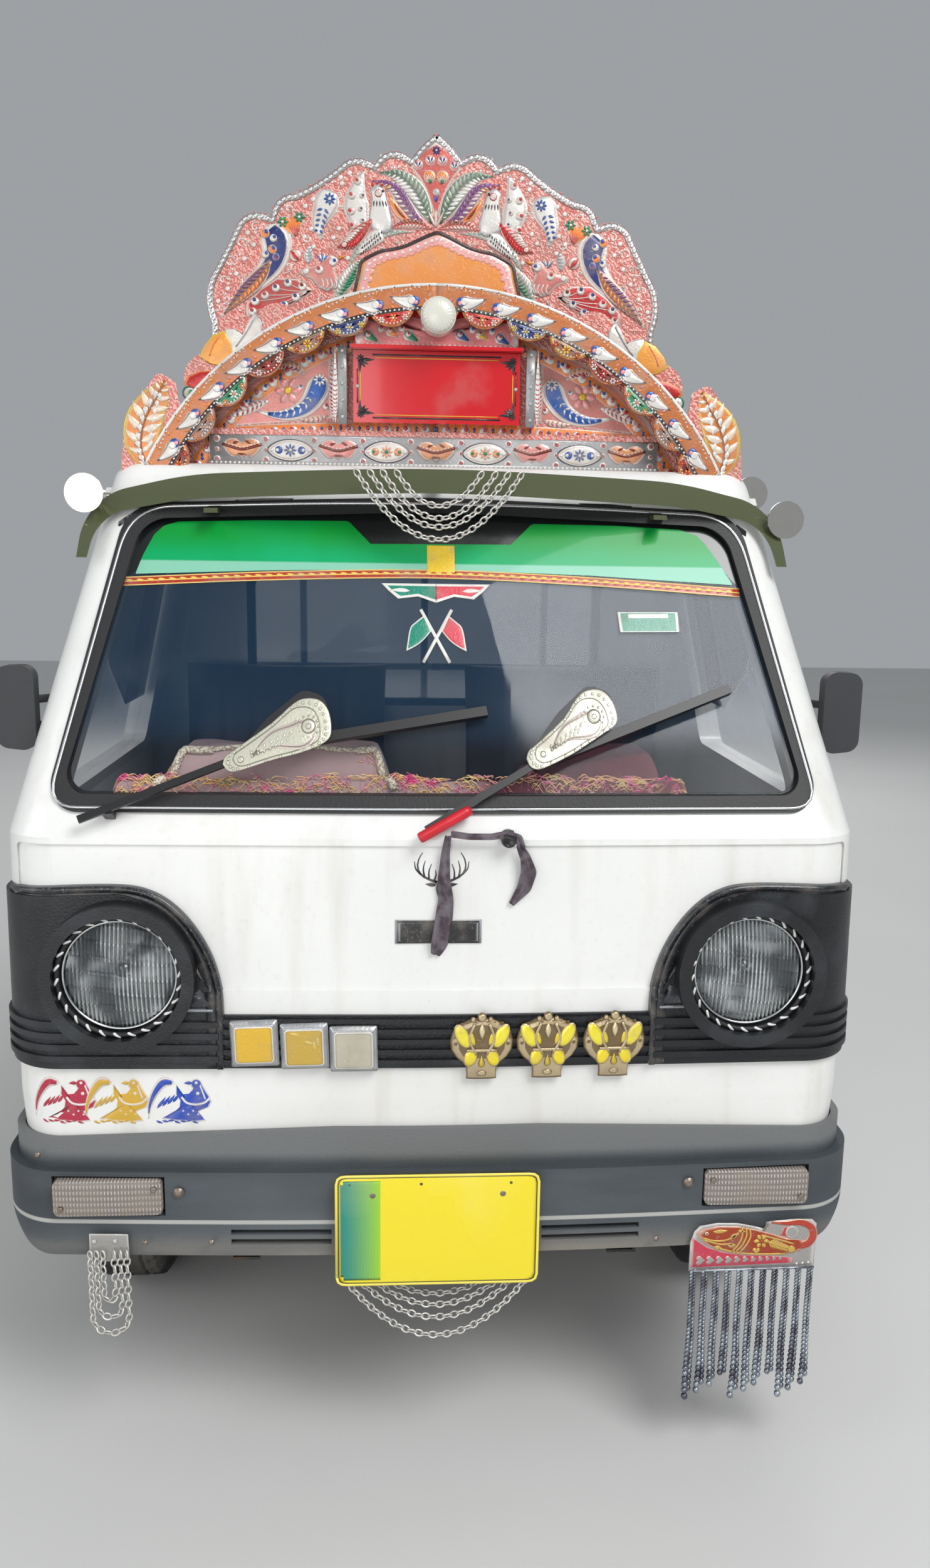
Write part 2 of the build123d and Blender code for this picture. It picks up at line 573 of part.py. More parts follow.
# Seats: two cushions and two backs
seat_parts = []
for x in (-330.0, 330.0):
    cushion = prism_x(outline([
        (along(590), SEAT_BOX_Z + 0.3, 8), (along(1040), SEAT_BOX_Z + 0.3, 8),
        (along(1040), SEAT_BOX_Z + 105, 25), (along(590), SEAT_BOX_Z + 120, 35)]), x - 240, x + 240)
    back = prism_x(outline([
        (along(990), SEAT_BOX_Z + 106, 8), (along(1080), SEAT_BOX_Z + 106, 8),
        (along(1140), SEAT_BOX_Z + 560, 35), (along(1060), SEAT_BOX_Z + 575, 30)]), x - 240, x + 240)
    seat_parts.append(cushion)
    seat_parts.append(back)

# Lamp surrounds, centre grille and head lamps on the nose
surround_face = outline([
    (348, 699, 0), (760, 699, 0), (760, 976, 0), (470, 986, 70), (352, 812, 40)])
surround = cab_layer(-9, 0) & prism_y(surround_face, 0, 200)
surround_bore = rod((LAMP_X, 0, LAMP_Z), (LAMP_X, 200, LAMP_Z), SURROUND_BORE)
surround = surround - surround_bore
bezel = rod((LAMP_X, 24, LAMP_Z), (LAMP_X, 90, LAMP_Z), BEZEL_RADIUS) - surround_bore
bezel = bezel - cab_form(0, BODY_BOTTOM)
for z in (718.0, 737.0, 756.0, 775.0):
    rib = cab_layer(-14, -9) & prism_y(outline([(350, z - 6, 0), (760, z - 6, 0), (760, z + 4, 0), (350, z + 4, 0)]),
                                        0, 200)
    surround = surround + (rib - rod((LAMP_X, 0, LAMP_Z), (LAMP_X, 200, LAMP_Z), BEZEL_RADIUS))
surround = surround + bezel
grille = cab_layer(-6, 0) & prism_y(outline([(-347, 699, 0), (347, 699, 0), (347, 787, 0), (-347, 787, 0)]), 0, 200)
for z in (712.0, 729.0, 746.0, 763.0, 780.0):
    grille = grille + (cab_layer(-12, -6)
                       & prism_y(outline([(-345, z - 5, 0), (345, z - 5, 0), (345, z + 3, 0), (-345, z + 3, 0)]), 0, 200))
LAMP_DEPTH = 30.0
LENS_FRONT = 8.0
LENS_EDGE = 24.0
BOWL_DEPTH = 80.0


def dome(radius, edge, rise):
    """Arc of a dome about the axis, from its rim at edge to its pole."""
    sphere = (radius ** 2 + rise ** 2) / (2 * abs(rise))
    turn = atan2(radius, sphere - abs(rise)) / 2
    sign = 1 if rise > 0 else -1
    middle = (sphere * sin(turn), edge + rise - sign * (sphere - sphere * cos(turn)))
    return ThreePointArc((radius, edge), middle, (0, edge + rise))


ring = make_face(Polyline((LAMP_RADIUS, LENS_EDGE - 2), (SURROUND_RING, LENS_EDGE - 2),
                          (SURROUND_RING, LENS_EDGE + 20), (LAMP_RADIUS, LENS_EDGE + 20), close=True))
surround = surround + turned(ring, (LAMP_X, along(LAMP_DEPTH), LAMP_Z), (0, 1, 0))
lamp_parts = []
for side in (-1, 1):
    beam = make_face(Curve() + [
        Line((0, LENS_FRONT), (0, LENS_EDGE + 10 + BOWL_DEPTH)),
        dome(LAMP_RADIUS, LENS_EDGE + 10, BOWL_DEPTH),
        Line((LAMP_RADIUS, LENS_EDGE + 10), (LAMP_RADIUS, LENS_EDGE)),
        dome(LAMP_RADIUS, LENS_EDGE, LENS_FRONT - LENS_EDGE)])
    lamp_parts.append(turned(beam, (side * LAMP_X, along(LAMP_DEPTH), LAMP_Z), (0, 1, 0)))

# Front bumper: a stepped moulding wrapped round the nose, with lamp pockets and slots
def bumper_plan(inset):
    """Plan outline of the bumper moved in by inset, open to the back."""
    half = BUMPER_HALF - inset
    front = BUMPER_DEPTH + inset
    return outline([
        (-half, along(BUMPER_END), 0), (-half, along(front + 36), 105 - inset), (0, along(front), 9000),
        (half, along(front + 36), 105 - inset), (half, along(BUMPER_END), 0)])


lower_band = prism_z(bumper_plan(0), BUMPER_BOTTOM, BUMPER_STEP)
upper_band = prism_z(bumper_plan(14), BUMPER_STEP, BUMPER_TOP)
bumper = lower_band + upper_band - prism_z(bumper_plan(30), BUMPER_BOTTOM - 1, BUMPER_TOP - 12)
bumper = bumper - cab_form(-2, BODY_BOTTOM - 80)
bumper_front = outline([
    (-BUMPER_HALF - 5, 578, 0), (-BUMPER_HALF - 5, 452, 0), (-BUMPER_HALF + 55, BUMPER_BOTTOM, 60),
    (BUMPER_HALF - 55, BUMPER_BOTTOM, 60), (BUMPER_HALF + 5, 452, 0), (BUMPER_HALF + 5, 578, 0),
    (0, BUMPER_TOP + 6, 4000)])
bumper = bumper & prism_y(bumper_front, 0, 320)
lamp_pocket = block(440, 621, 0, 62, 454, 522)
bumper = bumper - both(lamp_pocket - block(430, 630, 52, 70, 440, 540))
for z in (404.0, 421.0):
    bumper = bumper - both(block(172, 335, 0, 80, z, z + 9))
bumper = bumper + both(block(RAIL_INNER + 5, RAIL_INNER + 45, 30, 170, RAIL_FRONT_Z + RAIL_HEIGHT,
                             RAIL_FRONT_Z + RAIL_HEIGHT + 6))
for side in (-1, 1):
    lens = block(side * 442, side * 619, 26, 52, 456, 520)
    lamp_parts.append(lens)

# Number plate and the two hanging plates on the bumper
plate_face = outline([(sx * PLATE[0] / 2, PLATE_Z + sz * PLATE[1] / 2, 14)
                      for sx, sz in ((-1, -1), (1, -1), (1, 1), (-1, 1))])
number_plate = prism_y(plate_face, 0, PLATE[2])
PLATE_BOLTS = 210.0
PLATE_BOLT_Z = 500.0
PLATE_HOLE = 3.5
plate_seats = both(rod((PLATE_BOLTS / 2, PLATE[2], PLATE_BOLT_Z), (PLATE_BOLTS / 2, 30, PLATE_BOLT_Z), 9))
plate_holes = both(rod((PLATE_BOLTS / 2, -1, PLATE_BOLT_Z), (PLATE_BOLTS / 2, 40, PLATE_BOLT_Z), PLATE_HOLE))
fish_plate = prism_y(outline([(420, 341, 6), (635, 346, 6), (635, 430, 18), (430, 437, 18)]), 18, 20)
fish_bolts = rod((460, 20, 415), (460, 45, 415), 5) + rod((590, 20, 415), (590, 60, 415), 5)
chain_plate = prism_y(outline([(-562, 378, 3), (-498, 382, 3), (-500, 428, 3), (-560, 430, 3)]), 20, 22)
chain_bolts = rod((-530, 22, 405), (-530, 55, 405), 5)
plate_parts = [number_plate + (plate_seats - bumper) - plate_holes, fish_plate + (fish_bolts - bumper),
               chain_plate + (chain_bolts - bumper)]

# Hanging chains of short links, and strings of beads that grow larger downwards
LINK = (6.0, 2.2)
LINK_LAP = 1.0
SWAG_LINKS = 16
VISOR_LINKS = 11
HOOP_LINKS = 5


def chain(points):
    """Links along a line of points (x, depth, z), turned a quarter one after the other, as one solid."""
    links = []
    for index, (first, last) in enumerate(zip(points, points[1:])):
        start = Vector(first[0], along(first[1]), first[2])
        run = Vector(last[0], along(last[1]), last[2]) - start
        wide, thick = LINK if index % 2 == 0 else (LINK[1], LINK[0])
        frame = Plane(origin=start + run * 0.5, x_dir=run, z_dir=run.cross(Vector(0, 0, 1).cross(run) + Vector(1, 0, 0)))
        links.append(frame * Box(run.length + LINK_LAP, wide, thick))
    return links[0].fuse(*links[1:])


def swag(half, top, drop, depth, links, lean=0.0):
    """A chain hung between two points on one level: a parabola from -half to half, that may lean back."""
    points = []
    for index in range(links + 1):
        across = 2 * index / links - 1
        sink = drop * (1 - across * across)
        points.append((half * across, depth + sink * lean, top - sink))
    return chain(points)


bead_carrier = block(420, 635, 12, 18, 341, 349)
hangings = [block(-152, 152, PLATE[2] + 0.2, PLATE[2] + 29, 341, 347)]
for index, (half, drop) in enumerate(((146.0, 98.0), (127.0, 70.0), (110.0, 52.0), (94.0, 36.0))):
    hangings[0] = hangings[0] + swag(half, 342, drop, PLATE[2] + 4.5 + index * 7, SWAG_LINKS)
chain_loop = block(-562, -498, 12, 19.8, 396, 404)
for half, z_low in ((29.0, 256.0), (19.0, 285.0), (9.0, 315.0)):
    hoop = [(-530 - half, 15, 398 - (398 - z_low - half) * step / HOOP_LINKS) for step in range(HOOP_LINKS + 1)]
    hoop += [(-530 + half * sin(radians(turn)), 15, z_low + half - half * cos(radians(turn)))
             for turn in range(-60, 90, 30)]
    hoop += [(-530 + half, 15, z_low + half + (398 - z_low - half) * step / HOOP_LINKS)
             for step in range(HOOP_LINKS + 1)]
    chain_loop = chain_loop + chain(hoop)
hangings.append(chain_loop)
BEAD_STRINGS = 11
BEAD_STEPS = ((341.0, 2.0), (290.0, 2.8), (235.0, 3.6), (180.0, 4.6))
for index in range(BEAD_STRINGS):
    x = 428 + index * (199.0 / (BEAD_STRINGS - 1))
    low = 108 + 12 * ((index * 5) % 4)
    ends = [z for z, wide in BEAD_STEPS[1:]] + [low]
    for (top, wide), bottom in zip(BEAD_STEPS, ends):
        bead_carrier = bead_carrier + block(x - wide, x + wide, 17 - wide, 17 + wide, bottom, top)
hangings.append(bead_carrier)

# Wipers on the windscreen, in the plane of the glass
slope = Vector(0, ROOF_FRONT_DEPTH - BELT_DEPTH, ROOF_Z - BELT_Z).normalized()
screen_plane = Plane(origin=(0, along(cab_at(SCREEN_BOTTOM_Z)[1]), SCREEN_BOTTOM_Z), x_dir=(1, 0, 0),
                     z_dir=Vector(0, -slope.Z, slope.Y))


def bar_on_screen(x0, z0, x1, z1, width, low, high):
    """Flat bar over the glass between two front-view points, from low to high above the glass."""
    rise = 1 / slope.Z
    first = Vector(x0, (z0 - SCREEN_BOTTOM_Z) * rise)
    last = Vector(x1, (z1 - SCREEN_BOTTOM_Z) * rise)
    middle = (first + last) * 0.5
    angle = degrees(atan2(last.Y - first.Y, last.X - first.X))
    bar = Pos(middle.X, middle.Y, (low + high) / 2) * Rot(0, 0, angle) * Box((last - first).length, width, high - low)
    return screen_plane * bar


wipers = []
arm_ends = ((-235.0, 1215.0), (190.0, 1198.0))
for x0, z0, x1, z1, x2, z2, x3, z3 in (
        (-556.0, 1096.0, -235.0, 1215.0, -262.0, 1206.0, 77.0, 1259.0),
        (-22.0, 1082.0, 190.0, 1198.0, 150.0, 1176.0, 477.0, 1296.0)):
    arm = bar_on_screen(x0, z0, x1, z1, 12, 16, 22)
    blade = bar_on_screen(x2, z2, x3, z3, 16, 1, 16)
    arm = arm + blade
    spindle_x = x0 + 42
    spindle_z = z0 + 42 * (z1 - z0) / (x1 - x0)
    spindle = bar_on_screen(spindle_x - 8, spindle_z, spindle_x + 8, spindle_z, 16, -25, 18)
    wipers.append((arm + spindle) - cab_form(0, BODY_BOTTOM) - seal_front)
ORNAMENT = 176.0
for index, (x, z, lean) in enumerate(((-253.0, 1232.0, 33.0), (208.0, 1240.0, 36.0))):
    leaf_face = outline([(-ORNAMENT / 2, -6, 8), (-ORNAMENT * 0.1, -27, 60), (ORNAMENT * 0.38, -33, 24),
                         (ORNAMENT / 2, 0, 26), (ORNAMENT * 0.36, 33, 22), (-ORNAMENT * 0.05, 22, 60)])
    place = Pos(x, (z - SCREEN_BOTTOM_Z) / slope.Z, 21.5) * Rot(0, 0, lean)
    clip = bar_on_screen(arm_ends[index][0], arm_ends[index][1], x, z, 14, 17, 22)
    wipers[index] = wipers[index] + clip + screen_plane * (place * extrude(leaf_face, amount=2.5))
spare_spindle = bar_on_screen(99, 1076, 115, 1076, 16, -25, 14)
wipers.append(spare_spindle - cab_form(0, BODY_BOTTOM))

# Tinted visor over the windscreen, with its brackets and chain hanger
VISOR_FRONT = 262.0
VISOR_FRONT_Z = 1598.0
VISOR_LEAN = Vector(0, 30, 48)
VISOR_SHEET = 4.0
VISOR_BASE_Z = 1500.0
visor_base = VISOR_FRONT - (VISOR_FRONT_Z - VISOR_BASE_Z) * VISOR_LEAN.Y / VISOR_LEAN.Z
VISOR_SWEEP = 100.0
VISOR_BOW = 1600.0
VISOR_NOSE = 41.0


def visor_plan(inset):
    """Plan outline of the visor at its base height, open to the back."""
    return outline([(-720, along(640), 0), (-620 + inset, along(visor_base + VISOR_SWEEP + inset), 40),
                    (0, along(visor_base - VISOR_NOSE + inset), VISOR_BOW),
                    (620 - inset, along(visor_base + VISOR_SWEEP + inset), 40), (720, along(640), 0)])


visor_raise = 180.0
visor_outer = extrude(Plane.XY.offset(VISOR_BASE_Z) * visor_plan(0), amount=visor_raise, dir=VISOR_LEAN)
visor_inner = extrude(Plane.XY.offset(VISOR_BASE_Z) * visor_plan(VISOR_SHEET), amount=visor_raise, dir=VISOR_LEAN)
visor_band = visor_outer - visor_inner
visor_crescent = outline([
    (-604, 1496, 0), (-598, 1601, 95), (-420, 1641, 600), (0, 1655, 4000), (420, 1641, 600), (598, 1601, 95),
    (604, 1496, 0), (586, 1496, 0), (574, 1571, 70), (420, 1599, 500), (0, 1614, 3000), (-420, 1599, 500),
    (-574, 1571, 70), (-586, 1496, 0)])
visor = visor_band & prism_y(visor_crescent, 150, 520)
visor = visor - cab_form(0, BODY_BOTTOM) - seal_front
visor_brackets = []
for x, z in ((0.0, 1634.0), (-380.0, 1580.0), (380.0, 1580.0)):
    bracket = block(x - 12, x + 12, VISOR_FRONT + 5, 420, z - 4, z + 4) & visor_inner
    visor_brackets.append(bracket - cab_form(0, BODY_BOTTOM) - seal_front)


# Chains that hang from hooks on the visor's top edge, down over its face
HOOK_Z = 1641.0
CHAIN_DEPTH = 254.0
visor_front_limit = VISOR_FRONT + 50
visor_chain = block(-137, 137, CHAIN_DEPTH - 3, CHAIN_DEPTH + 3, HOOK_Z - 3, HOOK_Z + 3)
for half, drop in ((134.0, 104.0), (112.0, 84.0), (91.0, 70.0), (68.0, 50.0)):
    visor_chain = visor_chain + swag(half, HOOK_Z, drop, CHAIN_DEPTH, VISOR_LINKS)
    hook = block(half - 3, half + 3, CHAIN_DEPTH, visor_front_limit, HOOK_Z - 3, HOOK_Z + 3)
    visor_chain = visor_chain + both(hook - visor_outer)
hangings.append(visor_chain)

write("chassis_frame", chassis)
write("rear_axle", axle, prop_shaft, *springs)
write("engine_block", engine)
write("fuel_tank", tank)
write("exhaust", exhaust)
write("cab_nose", cab_nose)
write("cab_frame", cab_frame)
write("cab_side_left", cab_side)
write("cab_side_right", mirrored(cab_side))
write("cab_roof", cab_roof)
write("cab_back_panel", cab_back)
write("cab_floor", cab_floor, firewall)
write("cab_glass", screen_glass, rear_glass)
write("window_seals", seal_front, seal_rear)
write("door_left", door)
write("door_right", mirrored(door))
write("door_glass_left", door_glass)
write("door_glass_right", mirrored(door_glass))
write("door_trim_left", door_trim)
write("door_trim_right", mirrored(door_trim))
write("dashboard", dashboard)
write("dash_cloth", dash_cloth)
write("steering_column", column_tube)
write("steering_wheel", steering_wheel)
write("seats", *seat_parts)
write("lamp_surrounds", both(surround))
write("grille_centre", grille)
write("headlamps", *lamp_parts)
write("front_bumper", bumper)
write("front_plates", *plate_parts)
write("hanging_chains", *hangings)
write("wipers", *wipers)
write("roof_visor", visor, *visor_brackets)

# Front suspension: lower arms, struts and knuckles that turn about the strut line
def on_strut(z):
    """X of the steering line at a height, left side."""
    share = (z - BALL_JOINT[1]) / (STRUT_TOP[1] - BALL_JOINT[1])
    return BALL_JOINT[0] + share * (STRUT_TOP[0] - BALL_JOINT[0])


def on_line(z):
    """Point on the left steering line as (x, depth, z)."""
    return (on_strut(z), FRONT_OVERHANG, z)


strut_axis = Vector(on_strut(500) - on_strut(400), 0, 100).normalized()
arm_face = make_face(Polyline((RAIL_INNER, along(FRONT_OVERHANG - 55)), (RAIL_INNER, along(FRONT_OVERHANG + 55)),
                              (BALL_JOINT[0] - 8, along(FRONT_OVERHANG + 12)),
                              (BALL_JOINT[0] - 8, along(FRONT_OVERHANG - 12)), close=True))
ball_z = BALL_JOINT[1]
lower_arm = prism_z(arm_face, ball_z - 22, ball_z - 10)
lower_arm = lower_arm + rod(on_line(ball_z - 24), on_line(ball_z - 0.3), 13)
arm_bracket = block(RAIL_INNER - 5, RAIL_INNER + 40, FRONT_OVERHANG - 60, FRONT_OVERHANG + 60, ball_z - 26, RAIL_FRONT_Z)
strut_rod = rod(on_line(450.3), on_line(562), 10)
spring_profile = [(12, 0)]
COILS = 5
for index in range(COILS):
    spring_profile += [(24, index * 18), (34, index * 18 + 5), (34, index * 18 + 11), (24, index * 18 + 16)]
spring_profile += [(12, COILS * 18)]
spring_body = turned(make_face(Polyline(*spring_profile, close=True)),
                     (on_strut(468), along(FRONT_OVERHANG), 468), tuple(strut_axis))
strut_cap = rod(on_line(556), on_line(572), 42)
strut_cap = strut_cap & arch(FRONT_OVERHANG, ARCH_RADIUS, 300, 700)
suspension = both((strut_rod + spring_body + strut_cap) + lower_arm + arm_bracket)

hub_x = TRACK_FRONT / 2
drum_back = hub_x - 52
upright = block(drum_back - 34, drum_back - 6, FRONT_OVERHANG - 24, FRONT_OVERHANG + 24, ball_z + 16, 318)
upright = upright + rod(on_line(ball_z), on_line(ball_z + 30), 11) + rod(on_line(300), on_line(450), 22)
upright = upright + block(on_strut(310) - 10, drum_back - 8, FRONT_OVERHANG - 18, FRONT_OVERHANG + 18, 296, 322)
upright = upright + rod((drum_back - 8, FRONT_OVERHANG, TYRE_RADIUS), (drum_back, FRONT_OVERHANG, TYRE_RADIUS), 104)
upright = upright + rod((drum_back, FRONT_OVERHANG, TYRE_RADIUS), (hub_x + 40, FRONT_OVERHANG, TYRE_RADIUS), STUB_RADIUS)
steer_arm = block(drum_back - 34, drum_back - 22, FRONT_OVERHANG + 20, FRONT_OVERHANG + 120, 225, 241)
knuckle = upright + steer_arm

# Wheels: pressed steel rims with brake drums, and bias tyres
disc_offset = 22.0
rim_section = make_face(Polyline(
    (RIM_RADIUS + 13, -RIM_WIDTH / 2 - 4), (RIM_RADIUS + 13, -RIM_WIDTH / 2), (RIM_RADIUS, -RIM_WIDTH / 2 + 2),
    (RIM_RADIUS - 1, -24), (RIM_RADIUS - 20, -16), (RIM_RADIUS - 20, 14), (RIM_RADIUS - 1, 22),
    (RIM_RADIUS, RIM_WIDTH / 2 - 2), (RIM_RADIUS + 13, RIM_WIDTH / 2), (RIM_RADIUS + 13, RIM_WIDTH / 2 + 4),
    (RIM_RADIUS - 4, RIM_WIDTH / 2), (RIM_RADIUS - 4, 24), (RIM_RADIUS - 24, 16),
    (RIM_RADIUS - 24, -18), (RIM_RADIUS - 4, -26), (RIM_RADIUS - 4, -RIM_WIDTH / 2), close=True))
disc_section = make_face(Polyline(
    (STUB_RADIUS + 14, disc_offset), (64, disc_offset), (88, disc_offset + 16), (112, disc_offset - 2),
    (RIM_RADIUS - 23, disc_offset - 8), (RIM_RADIUS - 23, disc_offset - 14), (112, disc_offset - 9),
    (88, disc_offset + 9), (66, disc_offset - 6), (STUB_RADIUS + 14, disc_offset - 6), close=True))
hub_section = make_face(Polyline(
    (STUB_RADIUS + RUNNING, -45), (35, -45), (35, disc_offset + 6), (30, disc_offset + 30), (0, disc_offset + 30),
    (0, disc_offset + 25), (STUB_RADIUS + RUNNING, disc_offset + 25), close=True))
drum_section = make_face(Polyline(
    (34, -8), (98, -8), (98, -46.5), (105, -46.5), (105, -1), (34, -1), close=True))


wheel_centre = (TRACK_REAR / 2, along(REAR_AXLE_DEPTH), TYRE_RADIUS)
rim = turned(rim_section + disc_section + hub_section + drum_section, wheel_centre, (1, 0, 0))
hand_holes = []
for index in range(8):
    turn = radians((index + 0.5) * 45.0)
    hole_depth = REAR_AXLE_DEPTH + 101 * cos(turn)
    hole_z = TYRE_RADIUS + 101 * sin(turn)
    hand_holes.append(rod((wheel_centre[0] + 2, hole_depth, hole_z), (wheel_centre[0] + 60, hole_depth, hole_z), 11))
rim = rim - hand_holes

tyre_half = TYRE_WIDTH / 2
tyre_outer = [
    # radius, half width, corner radius
    (RIM_RADIUS + 0.3, 34, 0), (RIM_RADIUS + 0.3, RIM_WIDTH / 2 - 5, 0), (RIM_RADIUS + 13.7, RIM_WIDTH / 2 - 3, 4),
    (RIM_RADIUS + 52, tyre_half + 3, 34), (TYRE_RADIUS - 1, tyre_half - 8, 14), (TYRE_RADIUS, 0, 600)]
tyre_inner = [(TYRE_RADIUS - 14, 0, 500), (TYRE_RADIUS - 16, tyre_half - 20, 14), (RIM_RADIUS + 52, tyre_half - 8, 30),
              (RIM_RADIUS + 16, 36, 8)]
tyre_section = outline(
    tyre_outer + [(r, -w, bend) for r, w, bend in reversed(tyre_outer[:-1])]
    + [(r, -w, bend) for r, w, bend in reversed(tyre_inner[1:])] + tyre_inner)
tyre = turned(tyre_section, wheel_centre, (1, 0, 0))

# Load bed: deck on cross sleepers, front panel with guard, drop-down gates
DECK_PLATE = 22.0
RAIL_REAR_TOP = RAIL_REAR_Z + RAIL_HEIGHT
BED_REAR_DEPTH = LENGTH - 12.0
deck_under = DECK_Z - DECK_PLATE
deck = block(-BED_HALF + 6, BED_HALF - 6, BED_FRONT_DEPTH, BED_REAR_DEPTH - 36, deck_under, deck_under + 4)
RIB_PITCH = 88.0
for index in range(15):
    x = (index - 7) * RIB_PITCH
    deck = deck + block(x - 26, x + 26, BED_FRONT_DEPTH + 40, BED_REAR_DEPTH - 36, deck_under + 4, DECK_Z)
deck = deck + both(block(BED_HALF - 42, BED_HALF - 6, BED_FRONT_DEPTH, BED_REAR_DEPTH - 36, deck_under - 50, deck_under))
deck = deck + block(-BED_HALF + 6, BED_HALF - 6, BED_REAR_DEPTH - 36, BED_REAR_DEPTH - 6, deck_under - 60, DECK_Z)
for depth in (1250.0, 1660.0, 2110.0, 2850.0, 3130.0):
    deck = deck + block(-BED_HALF + 42, BED_HALF - 42, depth - 22, depth + 22, RAIL_REAR_TOP, deck_under)
deck = deck + (both(block(RAIL_INNER + 8, RAIL_INNER + 42, 1228, 1272, RAIL_FRONT_Z + RAIL_HEIGHT, RAIL_REAR_TOP))
               - both(prism_x(rail_side, RAIL_INNER, RAIL_INNER + RAIL_WIDTH)))

gate_low = DECK_Z + 8
side_gate = block(BED_HALF - GATE_THICKNESS, BED_HALF, BED_FRONT_DEPTH + 45, BED_REAR_DEPTH, gate_low,
                  DECK_Z + GATE_HEIGHT)
for index in range(5):
    start = BED_FRONT_DEPTH + 95 + index * 385
    side_gate = side_gate - block(BED_HALF - 12, BED_HALF + 1, start, start + 320, gate_low + 42, gate_low + 205)
tail_gate = block(-BED_HALF + GATE_THICKNESS + 6, BED_HALF - GATE_THICKNESS - 6, BED_REAR_DEPTH - GATE_THICKNESS,
                  BED_REAR_DEPTH, gate_low, DECK_Z + GATE_HEIGHT)
for index in range(3):
    x = (index - 1) * 415.0
    tail_gate = tail_gate - block(x - 175, x + 175, BED_REAR_DEPTH - 12, BED_REAR_DEPTH + 1, gate_low + 42,
                                  gate_low + 205)
GATE_AXIS_Z = DECK_Z + 2.0
GATE_AXIS_X = BED_HALF + HINGE_AXIS_OUT
GATE_AXIS_DEPTH = BED_REAR_DEPTH + HINGE_AXIS_OUT
for depth in (1500.0, 2220.0, 2950.0):
    fixed, moving, swept = hinge((GATE_AXIS_X, along(depth), GATE_AXIS_Z), (0, 1, 0), (-22, 0, -21), (-18, 0, 20))
    side_gate = side_gate - swept + moving
    deck = deck - both(swept) + both(fixed)
for x in (-430.0, 0.0, 430.0):
    fixed, moving, swept = hinge((x, along(GATE_AXIS_DEPTH), GATE_AXIS_Z), (1, 0, 0), (0, -24, -12), (0, -18, 20))
    tail_gate = tail_gate - swept + moving
    deck = deck - swept + fixed

GUARD_TUBE = 14.0
head_board = block(-BED_HALF, BED_HALF, BED_FRONT_DEPTH, BED_FRONT_DEPTH + 36, deck_under + 4.3, DECK_Z + GATE_HEIGHT)
head_board = head_board - block(-BED_HALF + 40, BED_HALF - 40, BED_FRONT_DEPTH + 26, BED_FRONT_DEPTH + 37,
                                DECK_Z + 40, DECK_Z + 225)
guard_depth = BED_FRONT_DEPTH + 18
guard_top = 1560.0
guard = tube_path([(-600, guard_depth, DECK_Z + GATE_HEIGHT), (-600, guard_depth, guard_top),
                   (600, guard_depth, guard_top), (600, guard_depth, DECK_Z + GATE_HEIGHT)], GUARD_TUBE, 60)
for x in (-300.0, 0.0, 300.0):
    guard = guard + rod((x, guard_depth, DECK_Z + GATE_HEIGHT), (x, guard_depth, guard_top), 9)
guard = guard + rod((-600, guard_depth, 1240), (600, guard_depth, 1240), 9)

rear_lamps = []
for side in (-1, 1):
    rear_lamps.append(block(side * 470, side * 640, BED_REAR_DEPTH - 6, BED_REAR_DEPTH + 4, deck_under - 52,
                            deck_under + 8))
mud_flap = block(532, 644, REAR_AXLE_DEPTH + 308, REAR_AXLE_DEPTH + 314, 220, deck_under)

# Roof crown: curved board, arched awning over it, scalloped fan behind, side wings, sign and lamp
def disc_above(radius, z_low, depth0, depth1):
    """Part of an upright disc about the arch's centre that lies above a height."""
    disc = rod((0, depth0, ARCH_CENTRE_Z), (0, depth1, ARCH_CENTRE_Z), radius)
    return disc & block(-800, 800, depth0, depth1, z_low, 2400)


crown_base_z = ROOF_Z + 0.3
AWNING_LOBES = 15
AWNING_LOBE = 42.0
AWNING_PITCH = 8.5
crown_board = disc_above(ARCH_OUTER - BOARD, crown_base_z, CROWN_BOARD_DEPTH, CROWN_BOARD_DEPTH + BOARD)
arch_front = CROWN_BOARD_DEPTH - ARCH_DEPTH
arch_plate = (disc_above(ARCH_OUTER, 1640, arch_front, arch_front + BOARD)
              - disc_above(ARCH_OUTER - ARCH_BAND, 1600, arch_front - 1, arch_front + BOARD + 1))
awning_line = ARCH_OUTER - ARCH_BAND
for index in range(AWNING_LOBES):
    turn = radians(90 + AWNING_PITCH * (index - (AWNING_LOBES - 1) / 2))
    lobe_x = awning_line * cos(turn)
    lobe_z = ARCH_CENTRE_Z + awning_line * sin(turn)
    lobe = rod((lobe_x, arch_front, lobe_z), (lobe_x, arch_front + BOARD, lobe_z), AWNING_LOBE)
    arch_plate = arch_plate + (lobe & disc_above(ARCH_OUTER, 1640, arch_front, arch_front + BOARD))
arch_rim = (disc_above(ARCH_OUTER, 1640, arch_front + BOARD, CROWN_BOARD_DEPTH + BOARD)
            - disc_above(ARCH_OUTER - BOARD, 1600, arch_front, CROWN_BOARD_DEPTH + BOARD + 1))
crown_arch = (arch_plate + arch_rim) - cab_form(0, BODY_BOTTOM)
panel_face = outline([(-150, 1940, 0), (150, 1940, 0), (138, 2012, 30), (0, 2066, 90), (-138, 2012, 30)])
crown_panel = prism_y(panel_face, CROWN_BOARD_DEPTH + 0, CROWN_BOARD_DEPTH + BOARD)
crown_panel = crown_panel - disc_above(ARCH_OUTER, 1600, arch_front, CROWN_BOARD_DEPTH + BOARD)
base_row = block(-400, 400, CROWN_BOARD_DEPTH - 12, CROWN_BOARD_DEPTH, crown_base_z, 1727)

